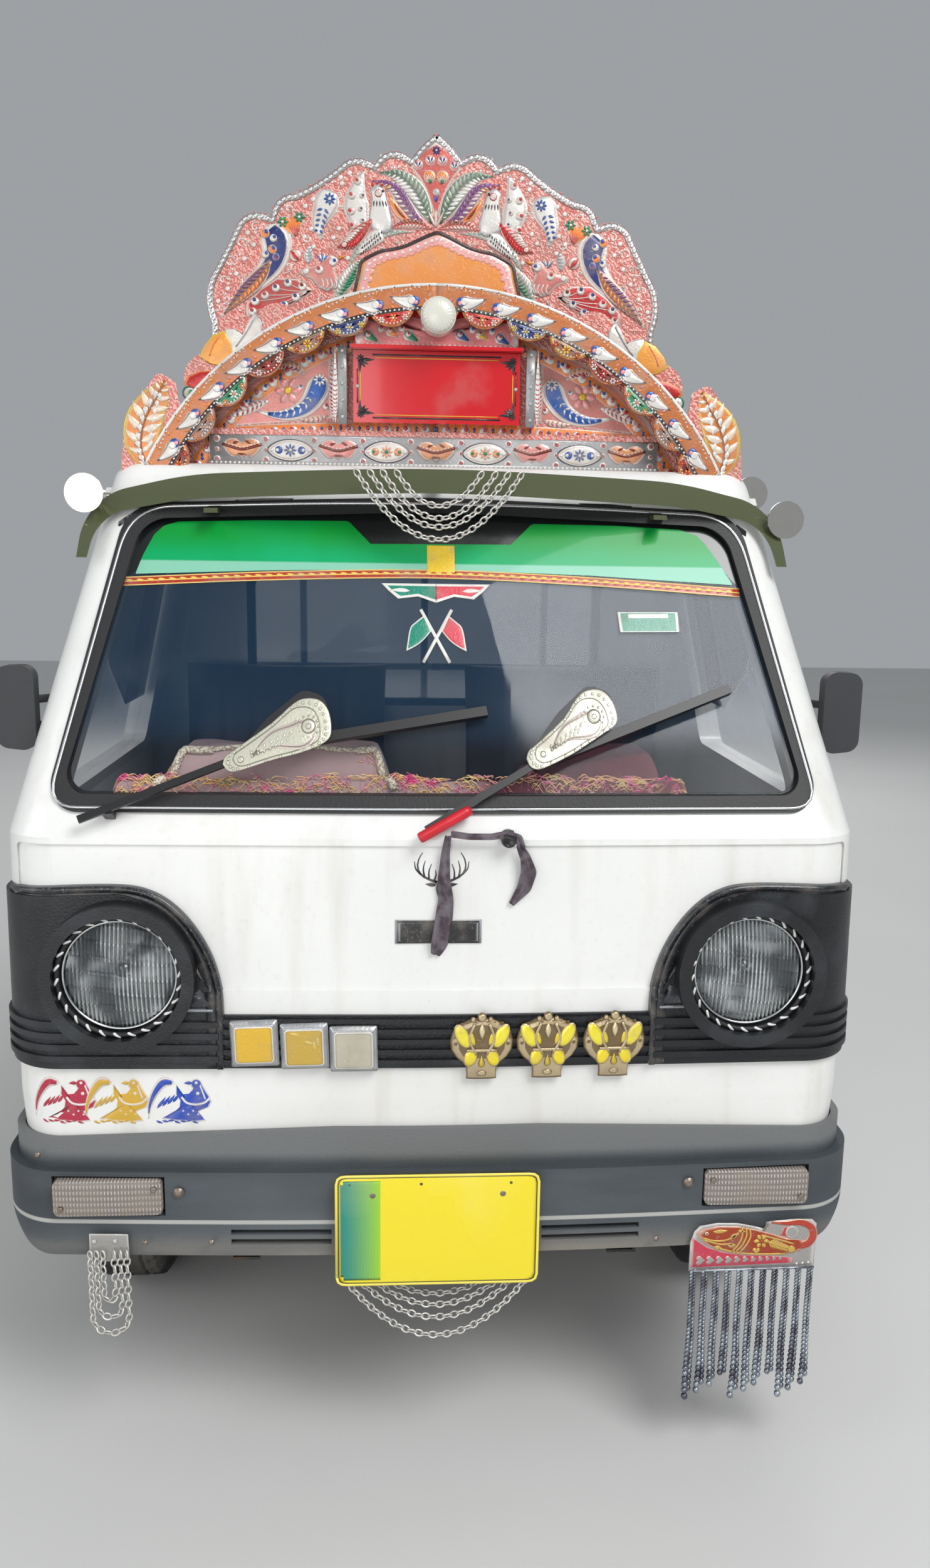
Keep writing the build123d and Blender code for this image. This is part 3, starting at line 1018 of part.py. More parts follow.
# Fan board: three lobes a side that climb to an ogee peak
fan_lobes = [
    # middle x, middle z, end x, end z of each arc, from the left foot upwards
    (-417.0, 1967.0, -409.0, 2004.0),
    (-385.0, 2046.0, -362.0, 2090.0),
    (-341.0, 2112.0, -298.0, 2108.0),
    (-286.0, 2137.0, -254.0, 2149.0),
    (-211.0, 2172.0, -172.0, 2200.0),
    (-144.0, 2212.0, -112.0, 2202.0),
    (-80.0, 2225.0, -45.0, 2213.0),
    (-25.0, 2238.0, 0.0, CROWN_PEAK),
]
fan_foot = (-CROWN_HALF + 8, 1925.0)
fan_arcs = []
here = fan_foot
for middle_x, middle_z, end_x, end_z in fan_lobes:
    fan_arcs.append((here, (middle_x, middle_z), (end_x, end_z)))
    here = (end_x, end_z)
fan_edges = [ThreePointArc(*arc) for arc in fan_arcs]
for first, middle, final in reversed(fan_arcs):
    fan_edges.append(ThreePointArc((-final[0], final[1]), (-middle[0], middle[1]), (-first[0], first[1])))
fan_edges += [Line((-fan_foot[0], fan_foot[1]), (-fan_foot[0], crown_base_z)),
              Line((-fan_foot[0], crown_base_z), (fan_foot[0], crown_base_z)),
              Line((fan_foot[0], crown_base_z), fan_foot)]
crown_fan = prism_y(make_face(Curve() + fan_edges), CROWN_BACK_DEPTH, CROWN_BACK_DEPTH + BOARD)

# Struts that carry the boards on the roof
STRUT = 7.0
crown_struts = []
for x in (-300.0, 300.0):
    crown_struts.append(rod((x, CROWN_BOARD_DEPTH + BOARD, 1800), (x, CROWN_BACK_DEPTH, 1800), STRUT))
    brace = rod((x, CROWN_BACK_DEPTH, 2000), (x, 900, ROOF_Z - 6), STRUT) - cab_form(0, BODY_BOTTOM) - crown_fan
    brace = brace & block(-600, 600, CROWN_BACK_DEPTH + BOARD, 1000, 1600, 2100)
    crown_struts.append(brace)

# Wings and petal discs beside the arch
wing_face = outline([(470, 1640, 0), (548, 1640, 12), (540, 1712, 60), (508, 1775, 60), (478, 1814, 12),
                     (450, 1798, 12), (440, 1740, 0)])
wing = prism_y(wing_face, arch_front + BOARD, arch_front + 2 * BOARD)
petals = []
for angle, radius in ((46.0, 44.0), (53.5, 44.0), (61.0, 40.0)):
    centre_x = (ARCH_OUTER + 6) * cos(radians(angle))
    centre_z = ARCH_CENTRE_Z + (ARCH_OUTER + 6) * sin(radians(angle))
    petals.append(rod((centre_x, CROWN_BOARD_DEPTH + BOARD, centre_z),
                      (centre_x, CROWN_BOARD_DEPTH + 2 * BOARD, centre_z), radius))
petal_fan = petals[0] + petals[1] + petals[2]
arch_disc = disc_above(ARCH_OUTER, 1600, arch_front, CROWN_BOARD_DEPTH + BOARD)
wing = wing - cab_form(0, BODY_BOTTOM) - arch_disc
wings = [both(petal_fan), wing, mirrored(wing)]

# Sign box with posts, shelf and the round lamp over it
sign_depth = CROWN_BOARD_DEPTH - 30
sign = block(-SIGN[0] / 2, SIGN[0] / 2, sign_depth, CROWN_BOARD_DEPTH, SIGN[2] - SIGN[1] / 2, SIGN[2] + SIGN[1] / 2)
posts = both(block(158, 172, sign_depth, CROWN_BOARD_DEPTH, 1735, 1866))
shelf = block(-150, 150, sign_depth - 20, CROWN_BOARD_DEPTH, 1861, 1867)
shelf_board = block(-145, 145, sign_depth + 10, sign_depth + 16, 1867, 1936)
crown_lamp = rod((0, arch_front - 32, 1910), (0, arch_front, 1910), 30)
sign_box = sign + posts + shelf + shelf_board

# Chrome horns on the roof's edges
def horn(x, depth, z, length, foot):
    """Trumpet horn pointing forward, with a bracket that ends at a point on the cab."""
    tail = length - 30
    section = make_face(Curve() + [
        Line((0, 0), (32, 0)), Line((32, 0), (32, 3)), ThreePointArc((32, 3), (13, 24), (8, 50)),
        Line((8, 50), (7, tail)), Line((7, tail), (14, tail + 4)), Line((14, tail + 4), (14, length)),
        Line((14, length), (0, length)), Line((0, length), (0, 0))])
    return turned(section, (x, along(depth), z), (0, 1, 0)) + rod((x, depth + tail, z), foot, 5)


horns = [horn(612, 560, 1637, 125, (555, 655, 1648)), horn(604, 318, 1580, 112, (550, 400, 1590)),
         mirrored(horn(592, 318, 1606, 112, (545, 400, 1606)))]
horns = [shape - cab_form(0, BODY_BOTTOM) - both(gutter) for shape in horns]

for side, name in ((1, "left"), (-1, "right")):
    turn = mirrored if side < 0 else (lambda shape: shape)
    write("knuckle_" + name, turn(knuckle))
    for row, place in (("front", Pos((TRACK_FRONT - TRACK_REAR) / 2, FRONT_OVERHANG - REAR_AXLE_DEPTH, 0)),
                       ("rear", Pos(0, 0, 0))):
        write("rim_" + row + "_" + name, turn(place * rim))
        write("tyre_" + row + "_" + name, turn(place * tyre))
    write("side_gate_" + name, turn(side_gate))
write("front_suspension", suspension)
write("bed_deck", deck)
write("bed_head_board", head_board, guard)
write("tailgate", tail_gate)
write("rear_lamps", *rear_lamps)
write("mud_flaps", both(mud_flap))
write("crown_board", crown_board + base_row + crown_panel)
write("crown_arch", crown_arch)
write("crown_fan", crown_fan)
write("crown_struts", *crown_struts)
write("crown_wings", *wings)
write("sign_box", sign_box)
write("crown_lamp", crown_lamp)
write("roof_horns", *horns)
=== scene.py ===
"""A small decorated forward-control pickup with a painted crown over its cab."""
from math import cos, pi, radians, sin

import bpy
import numpy as np
from mathutils import Matrix, Vector


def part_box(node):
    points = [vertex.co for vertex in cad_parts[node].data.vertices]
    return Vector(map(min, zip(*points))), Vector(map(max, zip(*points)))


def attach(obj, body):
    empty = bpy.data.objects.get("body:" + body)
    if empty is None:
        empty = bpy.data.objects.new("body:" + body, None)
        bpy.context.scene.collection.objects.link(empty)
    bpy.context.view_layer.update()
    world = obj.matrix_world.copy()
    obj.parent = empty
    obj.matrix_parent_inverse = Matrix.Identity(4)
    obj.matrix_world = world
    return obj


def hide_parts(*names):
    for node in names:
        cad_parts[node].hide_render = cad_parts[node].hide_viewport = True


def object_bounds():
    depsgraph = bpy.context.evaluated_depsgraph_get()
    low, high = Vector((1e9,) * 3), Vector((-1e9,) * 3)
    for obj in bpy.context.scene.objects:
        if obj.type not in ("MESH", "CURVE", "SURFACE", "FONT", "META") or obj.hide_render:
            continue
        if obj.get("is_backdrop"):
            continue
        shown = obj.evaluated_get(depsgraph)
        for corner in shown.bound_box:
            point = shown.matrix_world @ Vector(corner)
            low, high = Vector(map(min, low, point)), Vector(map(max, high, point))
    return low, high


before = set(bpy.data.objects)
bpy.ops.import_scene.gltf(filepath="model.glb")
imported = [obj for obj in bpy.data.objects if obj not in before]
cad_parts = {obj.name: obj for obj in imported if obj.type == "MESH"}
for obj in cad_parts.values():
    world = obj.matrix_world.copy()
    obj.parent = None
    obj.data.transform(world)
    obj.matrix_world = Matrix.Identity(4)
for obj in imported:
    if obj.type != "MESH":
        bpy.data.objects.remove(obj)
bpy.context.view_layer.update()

FRONT_Y = -1.620
FRONT_MM = FRONT_Y * 1000

# Camera, floor and light. The camera stands in front of the bumper at eye height and looks slightly
# down. The floor is one pale sheet and the light is soft, as in a studio.
CAMERA_AT = (-0.069, -3.358, 1.503)
CAMERA_DOWN = radians(10.73)
CAMERA_RIGHT = radians(3.4)
CAMERA_ROLL = radians(0.8)
CAMERA_LENS = 27.05

forward = Vector((sin(CAMERA_RIGHT) * cos(CAMERA_DOWN), cos(CAMERA_RIGHT) * cos(CAMERA_DOWN),
                  -sin(CAMERA_DOWN)))
level = Vector((cos(CAMERA_RIGHT), -sin(CAMERA_RIGHT), 0.0))
upright = level.cross(forward)
right_axis = cos(CAMERA_ROLL) * level + sin(CAMERA_ROLL) * upright
up_axis = cos(CAMERA_ROLL) * upright - sin(CAMERA_ROLL) * level
camera_data = bpy.data.cameras.new("camera")
camera_data.lens = CAMERA_LENS
camera_data.sensor_width = 36.0
camera = bpy.data.objects.new("camera", camera_data)
camera.matrix_world = Matrix((
    (right_axis.x, up_axis.x, -forward.x, CAMERA_AT[0]), (right_axis.y, up_axis.y, -forward.y, CAMERA_AT[1]),
    (right_axis.z, up_axis.z, -forward.z, CAMERA_AT[2]), (0, 0, 0, 1)))
bpy.context.scene.collection.objects.link(camera)
bpy.context.scene.camera = camera

world = bpy.data.worlds.new("studio")
world.use_nodes = True
sky = world.node_tree.nodes["Background"].inputs
sky["Color"].default_value = (0.80, 0.84, 0.88, 1)
sky["Strength"].default_value = 0.42
bpy.context.scene.world = world
bpy.context.scene.view_settings.view_transform = "Standard"
for lamp_name, lamp_at, lamp_aim, lamp_size, lamp_power in (
        # name, place, point it looks at, side length, watts
        ("key", (2.2, -4.6, 5.0), (0, -1.0, 1.0), 2.6, 235.0),
        ("fill", (-4.6, -3.4, 2.4), (0, -0.4, 0.9), 3.5, 75.0),
        ("low", (-1.2, -5.4, 1.5), (0, -1.2, 1.8), 2.2, 42.0),
        ("back", (1.0, 5.4, 4.4), (0, 0.6, 0.9), 3.5, 150.0)):
    lamp_data = bpy.data.lights.new(lamp_name, "AREA")
    lamp_data.size = lamp_size
    lamp_data.energy = lamp_power
    lamp = bpy.data.objects.new(lamp_name, lamp_data)
    lamp.location = lamp_at
    lamp.rotation_mode = "QUATERNION"
    lamp.rotation_quaternion = (Vector(lamp_aim) - Vector(lamp_at)).to_track_quat("-Z", "Y")
    bpy.context.scene.collection.objects.link(lamp)


def make_object(name, points, *faces, smooth=True):
    """Mesh object from an (n, 3) array of points in metres and arrays of faces, each (m, 3) or (m, 4)."""
    mesh = bpy.data.meshes.new(name)
    points = np.asarray(points, np.float32)
    loops = np.concatenate([np.asarray(face).ravel() for face in faces]).astype(np.int32)
    sizes = np.concatenate([np.full(len(face), np.asarray(face).shape[1]) for face in faces]).astype(np.int32)
    starts = np.concatenate([[0], np.cumsum(sizes)[:-1]]).astype(np.int32)
    mesh.vertices.add(len(points))
    mesh.vertices.foreach_set("co", points.ravel())
    mesh.loops.add(len(loops))
    mesh.loops.foreach_set("vertex_index", loops)
    mesh.polygons.add(len(sizes))
    mesh.polygons.foreach_set("loop_start", starts)
    mesh.polygons.foreach_set("loop_total", sizes)
    mesh.polygons.foreach_set("use_smooth", np.full(len(sizes), smooth))
    mesh.update(calc_edges=True)
    mesh.validate()
    made = bpy.data.objects.new(name, mesh)
    bpy.context.scene.collection.objects.link(made)
    return made


def grid_faces(rows, columns, close_rows=False, close_columns=False, first=0):
    """Quads of a rows by columns lattice, numbered row by row, optionally closed into a ring either way."""
    r = np.arange(rows if close_rows else rows - 1)[:, None]
    c = np.arange(columns if close_columns else columns - 1)[None, :]
    r1, c1 = (r + 1) % rows, (c + 1) % columns
    corners = [r * columns + c, r * columns + c1, r1 * columns + c1, r1 * columns + c]
    return np.stack([np.broadcast_to(k, (r.size, c.size)) for k in corners], -1).reshape(-1, 4) + first


FLOOR_HALF = 14.0
floor_corners = FLOOR_HALF * np.array([(-1, -1, 0), (1, -1, 0), (1, 1, 0), (-1, 1, 0)])
floor = make_object("floor", floor_corners, np.array([[0, 1, 2, 3]]))
floor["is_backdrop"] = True


class Value:
    """A node socket in a material. Arithmetic on it adds Math nodes."""

    def __init__(self, finish, socket):
        self.finish = finish
        self.socket = socket

    def math(self, operation, *operands):
        """Math node whose inputs are the operands in order, of which this value is one."""
        return self.finish.node("ShaderNodeMath", {"operation": operation}, dict(enumerate(operands)))

    def __add__(self, other):
        return self.math("ADD", self, other)

    def __radd__(self, other):
        return self.math("ADD", other, self)

    def __sub__(self, other):
        return self.math("SUBTRACT", self, other)

    def __rsub__(self, other):
        return self.math("SUBTRACT", other, self)

    def __mul__(self, other):
        return self.math("MULTIPLY", self, other)

    def __rmul__(self, other):
        return self.math("MULTIPLY", other, self)

    def __truediv__(self, other):
        return self.math("DIVIDE", self, other)

    def sine(self):
        return self.math("SINE", self)

    def clear(self, low, high):
        """0 below low, 1 above high and a smooth step between them, which may run either way."""
        rising = low < high
        ends = (0.0, 1.0) if rising else (1.0, 0.0)
        settings = {"interpolation_type": "SMOOTHSTEP", "clamp": True}
        return self.finish.node("ShaderNodeMapRange", settings, {
            0: self, 1: min(low, high), 2: max(low, high), 3: ends[0], 4: ends[1]})


class Finish:
    """A material made of one Principled shader and the nodes that feed it."""

    def __init__(self, name, colour, roughness, metallic=0.0, **constants):
        self.material = bpy.data.materials.new(name)
        self.material.use_nodes = True
        self.tree = self.material.node_tree
        self.shader = self.tree.nodes["Principled BSDF"]
        self.feed("Base Color", colour)
        self.feed("Roughness", roughness)
        self.feed("Metallic", metallic)
        for socket, value in constants.items():
            self.feed(socket.replace("_", " "), value)

    def feed(self, socket, value):
        """Sets or links one input of the shader."""
        self.join(self.shader.inputs[socket], value)

    def join(self, target, value):
        if isinstance(value, Value):
            self.tree.links.new(value.socket, target)
        elif isinstance(value, tuple) and len(value) == 3 and target.type == "RGBA":
            target.default_value = (*value, 1.0)
        else:
            target.default_value = value

    def node(self, kind, settings=(), inputs=(), out=0):
        """Any node: its type, its settings, which are set first, and the values or links of its sockets."""
        made = self.tree.nodes.new(kind)
        for name, value in dict(settings).items():
            if name == "stops":
                ramp = made.color_ramp.elements
                for place, (at, colour) in enumerate(value):
                    stop = ramp[place] if place < len(ramp) and place < 2 else ramp.new(at)
                    stop.position = at
                    stop.color = (*colour, 1.0)
            else:
                setattr(made, name, value)
        for name, value in dict(inputs).items():
            self.join(made.inputs[name], value)
        return Value(self, made.outputs[out])

    def place(self, scale=None):
        """Coordinates in metres on the truck, times a scale for each axis if one is given."""
        point = self.node("ShaderNodeTexCoord", {}, {}, "Object")
        return self.node("ShaderNodeMapping", {}, {"Vector": point, "Scale": scale}) if scale else point

    def axes(self):
        """X, Y and Z in metres on the truck as three values."""
        split = self.tree.nodes.new("ShaderNodeSeparateXYZ")
        self.tree.links.new(self.place().socket, split.inputs[0])
        return [Value(self, split.outputs[k]) for k in range(3)]

    def noise(self, size, detail=3.0, scale=None):
        """Noise from 0 to 1 whose lumps are about size metres across, stretched by one over the scale."""
        return self.node("ShaderNodeTexNoise", {}, {
            "Vector": self.place(scale), "Scale": 1.0 / size, "Detail": detail})

    def waves(self, kind, direction, scale, distortion, detail=2.0, detail_scale=1.0):
        """Bands or rings from 0 to 1, bent by noise."""
        return self.node("ShaderNodeTexWave", {"wave_type": kind, kind.lower() + "_direction": direction}, {
            "Vector": self.place(), "Scale": scale, "Distortion": distortion, "Detail": detail,
            "Detail Scale": detail_scale})

    def patches(self, first, second, size, detail=3.0, ends=None):
        """Base colour from first to second in patches about size metres across, whose mask it returns."""
        mask = self.noise(size, detail)
        mask = mask.clear(*ends) if ends else mask
        self.feed("Base Color", self.mix(first, second, mask))
        return mask

    def grain(self, size, detail, distance):
        """Fine noise as the shader's normal."""
        return self.bump(self.noise(size, detail), distance)

    def mix(self, first, second, mask):
        """Colour from first to second as mask goes from 0 to 1."""
        return self.node("ShaderNodeMix", {"data_type": "RGBA"}, {0: mask, 6: first, 7: second}, 2)

    def bump(self, height, distance, strength=1.0):
        """Turns a height into the shader's normal."""
        self.feed("Normal", self.node("ShaderNodeBump", {}, {"Height": height, "Distance": distance,
                                                             "Strength": strength}))
        return self

    def put(self, *pieces):
        """Gives the material to pieces, or to CAD nodes by name."""
        for piece in pieces:
            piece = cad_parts[piece] if isinstance(piece, str) else piece
            piece.data.materials.clear()
            piece.data.materials.append(self.material)
        return self


concrete = Finish("floor_paint", (0.62, 0.62, 0.60), 0.75)
concrete.patches((0.60, 0.60, 0.585), (0.66, 0.66, 0.65), 0.9)
concrete.put(floor)

# Cab body. Pressed steel panels spot welded into a shell and sprayed white, now dusty, slightly
# yellowed, with shallow dents and mud thrown up from the road.
ENAMEL = (0.80, 0.80, 0.775)
DUST = (0.50, 0.45, 0.37)
RUST = (0.23, 0.09, 0.04)

enamel = Finish("body_enamel", ENAMEL, 0.3, Coat_Weight=0.35, Coat_Roughness=0.12)
_, _, z = enamel.axes()
cloudy = enamel.noise(0.45, 4.0)
fine = enamel.noise(0.012, 4.0)
streaks = enamel.noise(0.05, 5.0, (1.0, 1.0, 0.12))
low_dirt = z.clear(0.85, 0.42) * cloudy.clear(0.25, 0.75)
film = streaks.clear(0.50, 0.80) * 0.32 + low_dirt * 0.55 + fine.clear(0.55, 0.75) * 0.10
chips = enamel.noise(0.020, 6.0).clear(0.735, 0.765) * cloudy.clear(0.5, 0.65)
tone = enamel.mix(ENAMEL, (0.74, 0.745, 0.73), cloudy.clear(0.35, 0.7))
tone = enamel.mix(tone, DUST, film)
enamel.feed("Base Color", enamel.mix(tone, RUST, chips))
enamel.feed("Roughness", 0.27 + film * 0.45 + fine * 0.08)
enamel.bump(enamel.noise(0.22, 1.5) + fine * 0.006, 0.006)
enamel.put("cab_nose", "cab_frame", "cab_side_left", "cab_side_right", "cab_roof", "cab_back_panel",
           "door_left", "door_right")

# Cab floor, wheel housings and firewall: the same steel, seen from below and through the glass,
# coated with stone guard and road dirt.
underseal = Finish("floor_underseal", (0.33, 0.32, 0.30), 0.8)
underseal.patches((0.30, 0.30, 0.29), (0.24, 0.20, 0.15), 0.12, 5.0, (0.40, 0.65))
underseal.grain(0.008, 3.0, 0.0015).put("cab_floor")

# Chassis rails, axle, springs and arms: black paint worn thin, dried mud and a rusty bloom.
for finish_name, base, bloom, members in (
        # material, colour, second colour, nodes
        ("chassis_paint", (0.030, 0.030, 0.030), (0.12, 0.085, 0.06), ("chassis_frame",)),
        ("axle_casting", (0.055, 0.052, 0.050), (0.15, 0.08, 0.045),
         ("rear_axle", "front_suspension", "knuckle_left", "knuckle_right")),
        ("engine_casting", (0.16, 0.16, 0.165), (0.07, 0.055, 0.04), ("engine_block",)),
        ("tank_paint", (0.035, 0.035, 0.035), (0.15, 0.12, 0.09), ("fuel_tank",)),
        ("exhaust_pipe", (0.20, 0.16, 0.13), (0.26, 0.11, 0.05), ("exhaust",))):
    part = Finish(finish_name, base, 0.7, 0.25)
    part.feed("Roughness", 0.45 + part.patches(base, bloom, 0.10, 6.0, (0.42, 0.66)) * 0.4)
    part.grain(0.006, 4.0, 0.001).put(*members)

# Glass: laminated windscreen, rear window and door panes, with dust on the outside. Their dark blue base
# colour is partly the glass's tint and partly a painted reflection of the sky.
glass = Finish("window_glass", (0.012, 0.042, 0.085), 0.03, Alpha=0.42, IOR=1.5)
smear = glass.noise(0.30, 5.0).clear(0.45, 0.8)
glass.feed("Base Color", glass.mix((0.010, 0.040, 0.085), (0.16, 0.20, 0.24), smear * 0.4))
_, _, z = glass.axes()
glass.feed("Alpha", (0.36 + smear * 0.12) * (0.22 + z.clear(1.19, 1.26) * 0.78))
glass.feed("Roughness", 0.02 + smear * 0.10)
glass.put("cab_glass", "door_glass_left", "door_glass_right")

# Window seals: extruded black rubber pressed over the flange.
rubber = Finish("seal_rubber", (0.016, 0.016, 0.017), 0.55)
rubber.grain(0.004, 3.0, 0.0006).put("window_seals", "mud_flaps")

# Dashboard, column and steering wheel: grained black plastic.
dash_plastic = Finish("dash_plastic", (0.035, 0.036, 0.040), 0.6)
dash_plastic.grain(0.0025, 2.0, 0.0005)
dash_plastic.put("dashboard", "steering_column", "door_trim_left", "door_trim_right")
wheel_rim = Finish("steering_plastic", (0.012, 0.012, 0.012), 0.32)
wheel_rim.grain(0.006, 3.0, 0.0003).put("steering_wheel")

# Seats: brown vinyl over foam.
vinyl = Finish("seat_vinyl", (0.10, 0.06, 0.045), 0.5)
vinyl.patches((0.085, 0.05, 0.04), (0.14, 0.09, 0.07), 0.15)
vinyl.grain(0.003, 2.0, 0.0008).put("seats")

# Lamp surrounds and centre grille: moulded black plastic with a coarse grain, rubbed grey.
grained = Finish("grille_plastic", (0.022, 0.024, 0.027), 0.5)
rub = grained.noise(0.09, 5.0).clear(0.48, 0.72)
grained.feed("Base Color", grained.mix((0.008, 0.009, 0.011), (0.034, 0.039, 0.046), rub * 0.7))
grained.feed("Roughness", 0.34 + rub * 0.2)
grained.bump(grained.noise(0.0035, 2.0) + grained.noise(0.0012, 1.0) * 0.4, 0.0009)
grained.put("lamp_surrounds", "grille_centre")

# Bumper: black plastic gone grey in the sun, scuffed and dusty, with painted highlights on its top ledge
# and along the edge of its lower band.
faded = Finish("bumper_plastic", (0.12, 0.135, 0.15), 0.62)
_, _, z = faded.axes()
scuff = faded.noise(0.35, 6.0, (0.35, 1.0, 1.6))
tone = faded.mix((0.034, 0.042, 0.050), (0.105, 0.118, 0.130), scuff.clear(0.35, 0.68))
# Paler above 0.55 m: painted highlight on the bumper's top ledge.
tone = faded.mix(tone, (0.20, 0.205, 0.205), z.clear(0.535, 0.56) * 0.7)
# Pale line at 0.44 m along the lower band's edge: painted highlight.
bumper_highlight_line = z.clear(0.4475, 0.4455) * z.clear(0.4385, 0.4405) * scuff.clear(0.25, 0.45)
tone = faded.mix(tone, (0.42, 0.42, 0.40), bumper_highlight_line)
faded.feed("Base Color", faded.mix(tone, (0.26, 0.23, 0.19), z.clear(0.43, 0.38) * scuff.clear(0.4, 0.7)))
faded.feed("Roughness", 0.5 + scuff * 0.25)
faded.grain(0.0025, 3.0, 0.0007).put("front_bumper")

# Struts of the crown and chains: bright steel. Wipers: black paint.
steel = Finish("chain_steel", (0.55, 0.55, 0.53), 0.32, 0.9)
steel.feed("Roughness", 0.28 + steel.noise(0.02) * 0.2)
steel.put("hanging_chains", "crown_struts")
blade_paint = Finish("wiper_paint", (0.012, 0.012, 0.013), 0.4)
blade_paint.put("wipers")

# Visor: dark olive acrylic sheet, bent hot.
acrylic = Finish("visor_acrylic", (0.0738, 0.0860, 0.0369), 0.07, Coat_Weight=0.8, Coat_Roughness=0.04,
                 Alpha=0.93)
acrylic.put("roof_visor")

# Wheels and tyres.
rim_paint = Finish("rim_paint", (0.50, 0.50, 0.49), 0.4, 0.5)
rim_dirt = rim_paint.patches((0.50, 0.50, 0.49), (0.20, 0.16, 0.12), 0.06, 5.0, (0.42, 0.68))
rim_paint.feed("Roughness", 0.35 + rim_dirt * 0.4)
tread_rubber = Finish("tyre_rubber", (0.018, 0.018, 0.018), 0.75)
tread_rubber.patches((0.016, 0.016, 0.016), (0.085, 0.078, 0.068), 0.10, 5.0, (0.40, 0.70))
tread_rubber.grain(0.004, 3.0, 0.0008)
CORNERS = ("front_left", "front_right", "rear_left", "rear_right")
for corner in CORNERS:
    rim_paint.put("rim_" + corner)
    tread_rubber.put("tyre_" + corner)

# Load bed, gates and lamps at the back.
bed_paint = Finish("bed_enamel", (0.72, 0.72, 0.69), 0.45)
worn = bed_paint.noise(0.05, 7.0, (1.0, 0.25, 1.0)).clear(0.60, 0.70)
bed_dust = bed_paint.noise(0.30, 5.0)
tone = bed_paint.mix((0.70, 0.70, 0.68), (0.42, 0.38, 0.32), bed_dust.clear(0.40, 0.72) * 0.6)
bed_paint.feed("Base Color", bed_paint.mix(tone, (0.16, 0.075, 0.04), worn * bed_dust.clear(0.35, 0.6)))
bed_paint.feed("Roughness", 0.38 + bed_dust * 0.3)
bed_paint.bump(bed_paint.noise(0.18, 2.0) + worn * 0.02, 0.005)
bed_paint.put("bed_deck", "bed_head_board", "tailgate", "side_gate_left", "side_gate_right")
tail_red = Finish("tail_lens", (0.50, 0.02, 0.015), 0.15, Coat_Weight=0.5)
tail_red.put("rear_lamps")

# Head lamps. Sealed beams: a pressed glass lens with upright flutes over a bright bowl, held by a thin
# bright ring, with a black and white twisted cord laid round it as an ornament.
LAMP_PLACES = ((-0.502, 0.856), (0.502, 0.856))
LENS_RADIUS = 0.0865
RING_RADIUS = 0.0885
CORD_RADIUS = 0.0955
CORD_DASHES = 26
LENS_FRONT_Y = FRONT_Y + 0.0385
BOWL_BACK_Y = FRONT_Y + 0.138


def turned(profile, centre, sides=72, wave=None):
    """Surface of revolution about the y axis through centre: profile rows are (radius, y), from the back
    round to the front; wave is a share added to each radius as a function of the angle."""
    profile = np.asarray(profile, float)
    turn = np.linspace(0, 2 * pi, sides, endpoint=False)
    reach = profile[:, :1] * (1 + (wave(turn)[None] if wave else 0))
    shape = (len(profile), sides)
    points = np.stack([centre[0] + reach * np.cos(turn), np.broadcast_to(profile[:, 1:], shape),
                       centre[1] + reach * np.sin(turn)], -1)
    return points.reshape(-1, 3), grid_faces(*shape, close_columns=True)


def joined(parts):
    """Point and face arrays of several surfaces as one: parts are (points, faces)."""
    offsets = np.cumsum([0] + [len(points) for points, faces in parts[:-1]])
    return (np.concatenate([points for points, faces in parts]),
            [faces + offset for (points, faces), offset in zip(parts, offsets)])


def tube(path, radius, sides=8, closed=False):
    """Round tube along a path, its radius one number or one per station: each ring stands square to the
    mean of the two runs that meet at it, and the ends of an open tube are drawn in to a point."""
    path = np.asarray(path, float)
    radius = np.broadcast_to(np.asarray(radius, float), (len(path),))
    if closed:
        run = np.roll(path, -1, 0) - np.roll(path, 1, 0)
    else:
        run = np.gradient(path, axis=0)
        path = np.concatenate([path[:1], path, path[-1:]])
        run = np.concatenate([run[:1], run, run[-1:]])
        radius = np.concatenate([[0.0], radius, [0.0]])
    run /= np.linalg.norm(run, axis=1, keepdims=True)
    fixed = np.eye(3)[np.argmin(np.abs(run).max(0))]
    side = np.cross(fixed, run)
    side /= np.linalg.norm(side, axis=1, keepdims=True)
    over = np.cross(run, side)
    turn = np.linspace(0, 2 * pi, sides, endpoint=False)[None, :, None]
    outward = np.cos(turn) * side[:, None] + np.sin(turn) * over[:, None]
    points = path[:, None] + radius[:, None, None] * outward
    return points.reshape(-1, 3), grid_faces(len(path), sides, close_rows=closed, close_columns=True)


def dressed(name, parts, finish, body="truck", smooth=True):
    """Object from several surfaces in one material, riding on a body."""
    points, faces = joined(parts)
    made = make_object(name, points, *faces, smooth=smooth)
    finish.put(made)
    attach(made, body)
    return made


def circle(centre, radius, y, turn):
    """Points in metres at a radius and at angles about the y axis through centre (x, z)."""
    return np.stack([centre[0] + radius * np.cos(turn), np.full(len(turn), y),
                     centre[1] + radius * np.sin(turn)], -1)


def bowl(radius, rows=10):
    """Rows (radius, y) of the silvered bowl, from its deep middle out to its rim, then back behind itself."""
    shares = np.linspace(0.02, 1.0, rows)
    face = [(radius * share,
             BOWL_BACK_Y - (BOWL_BACK_Y - LENS_FRONT_Y - 0.020) * share ** 2) for share in shares]
    return [(r, y + 0.003) for r, y in face[::-1]] + face


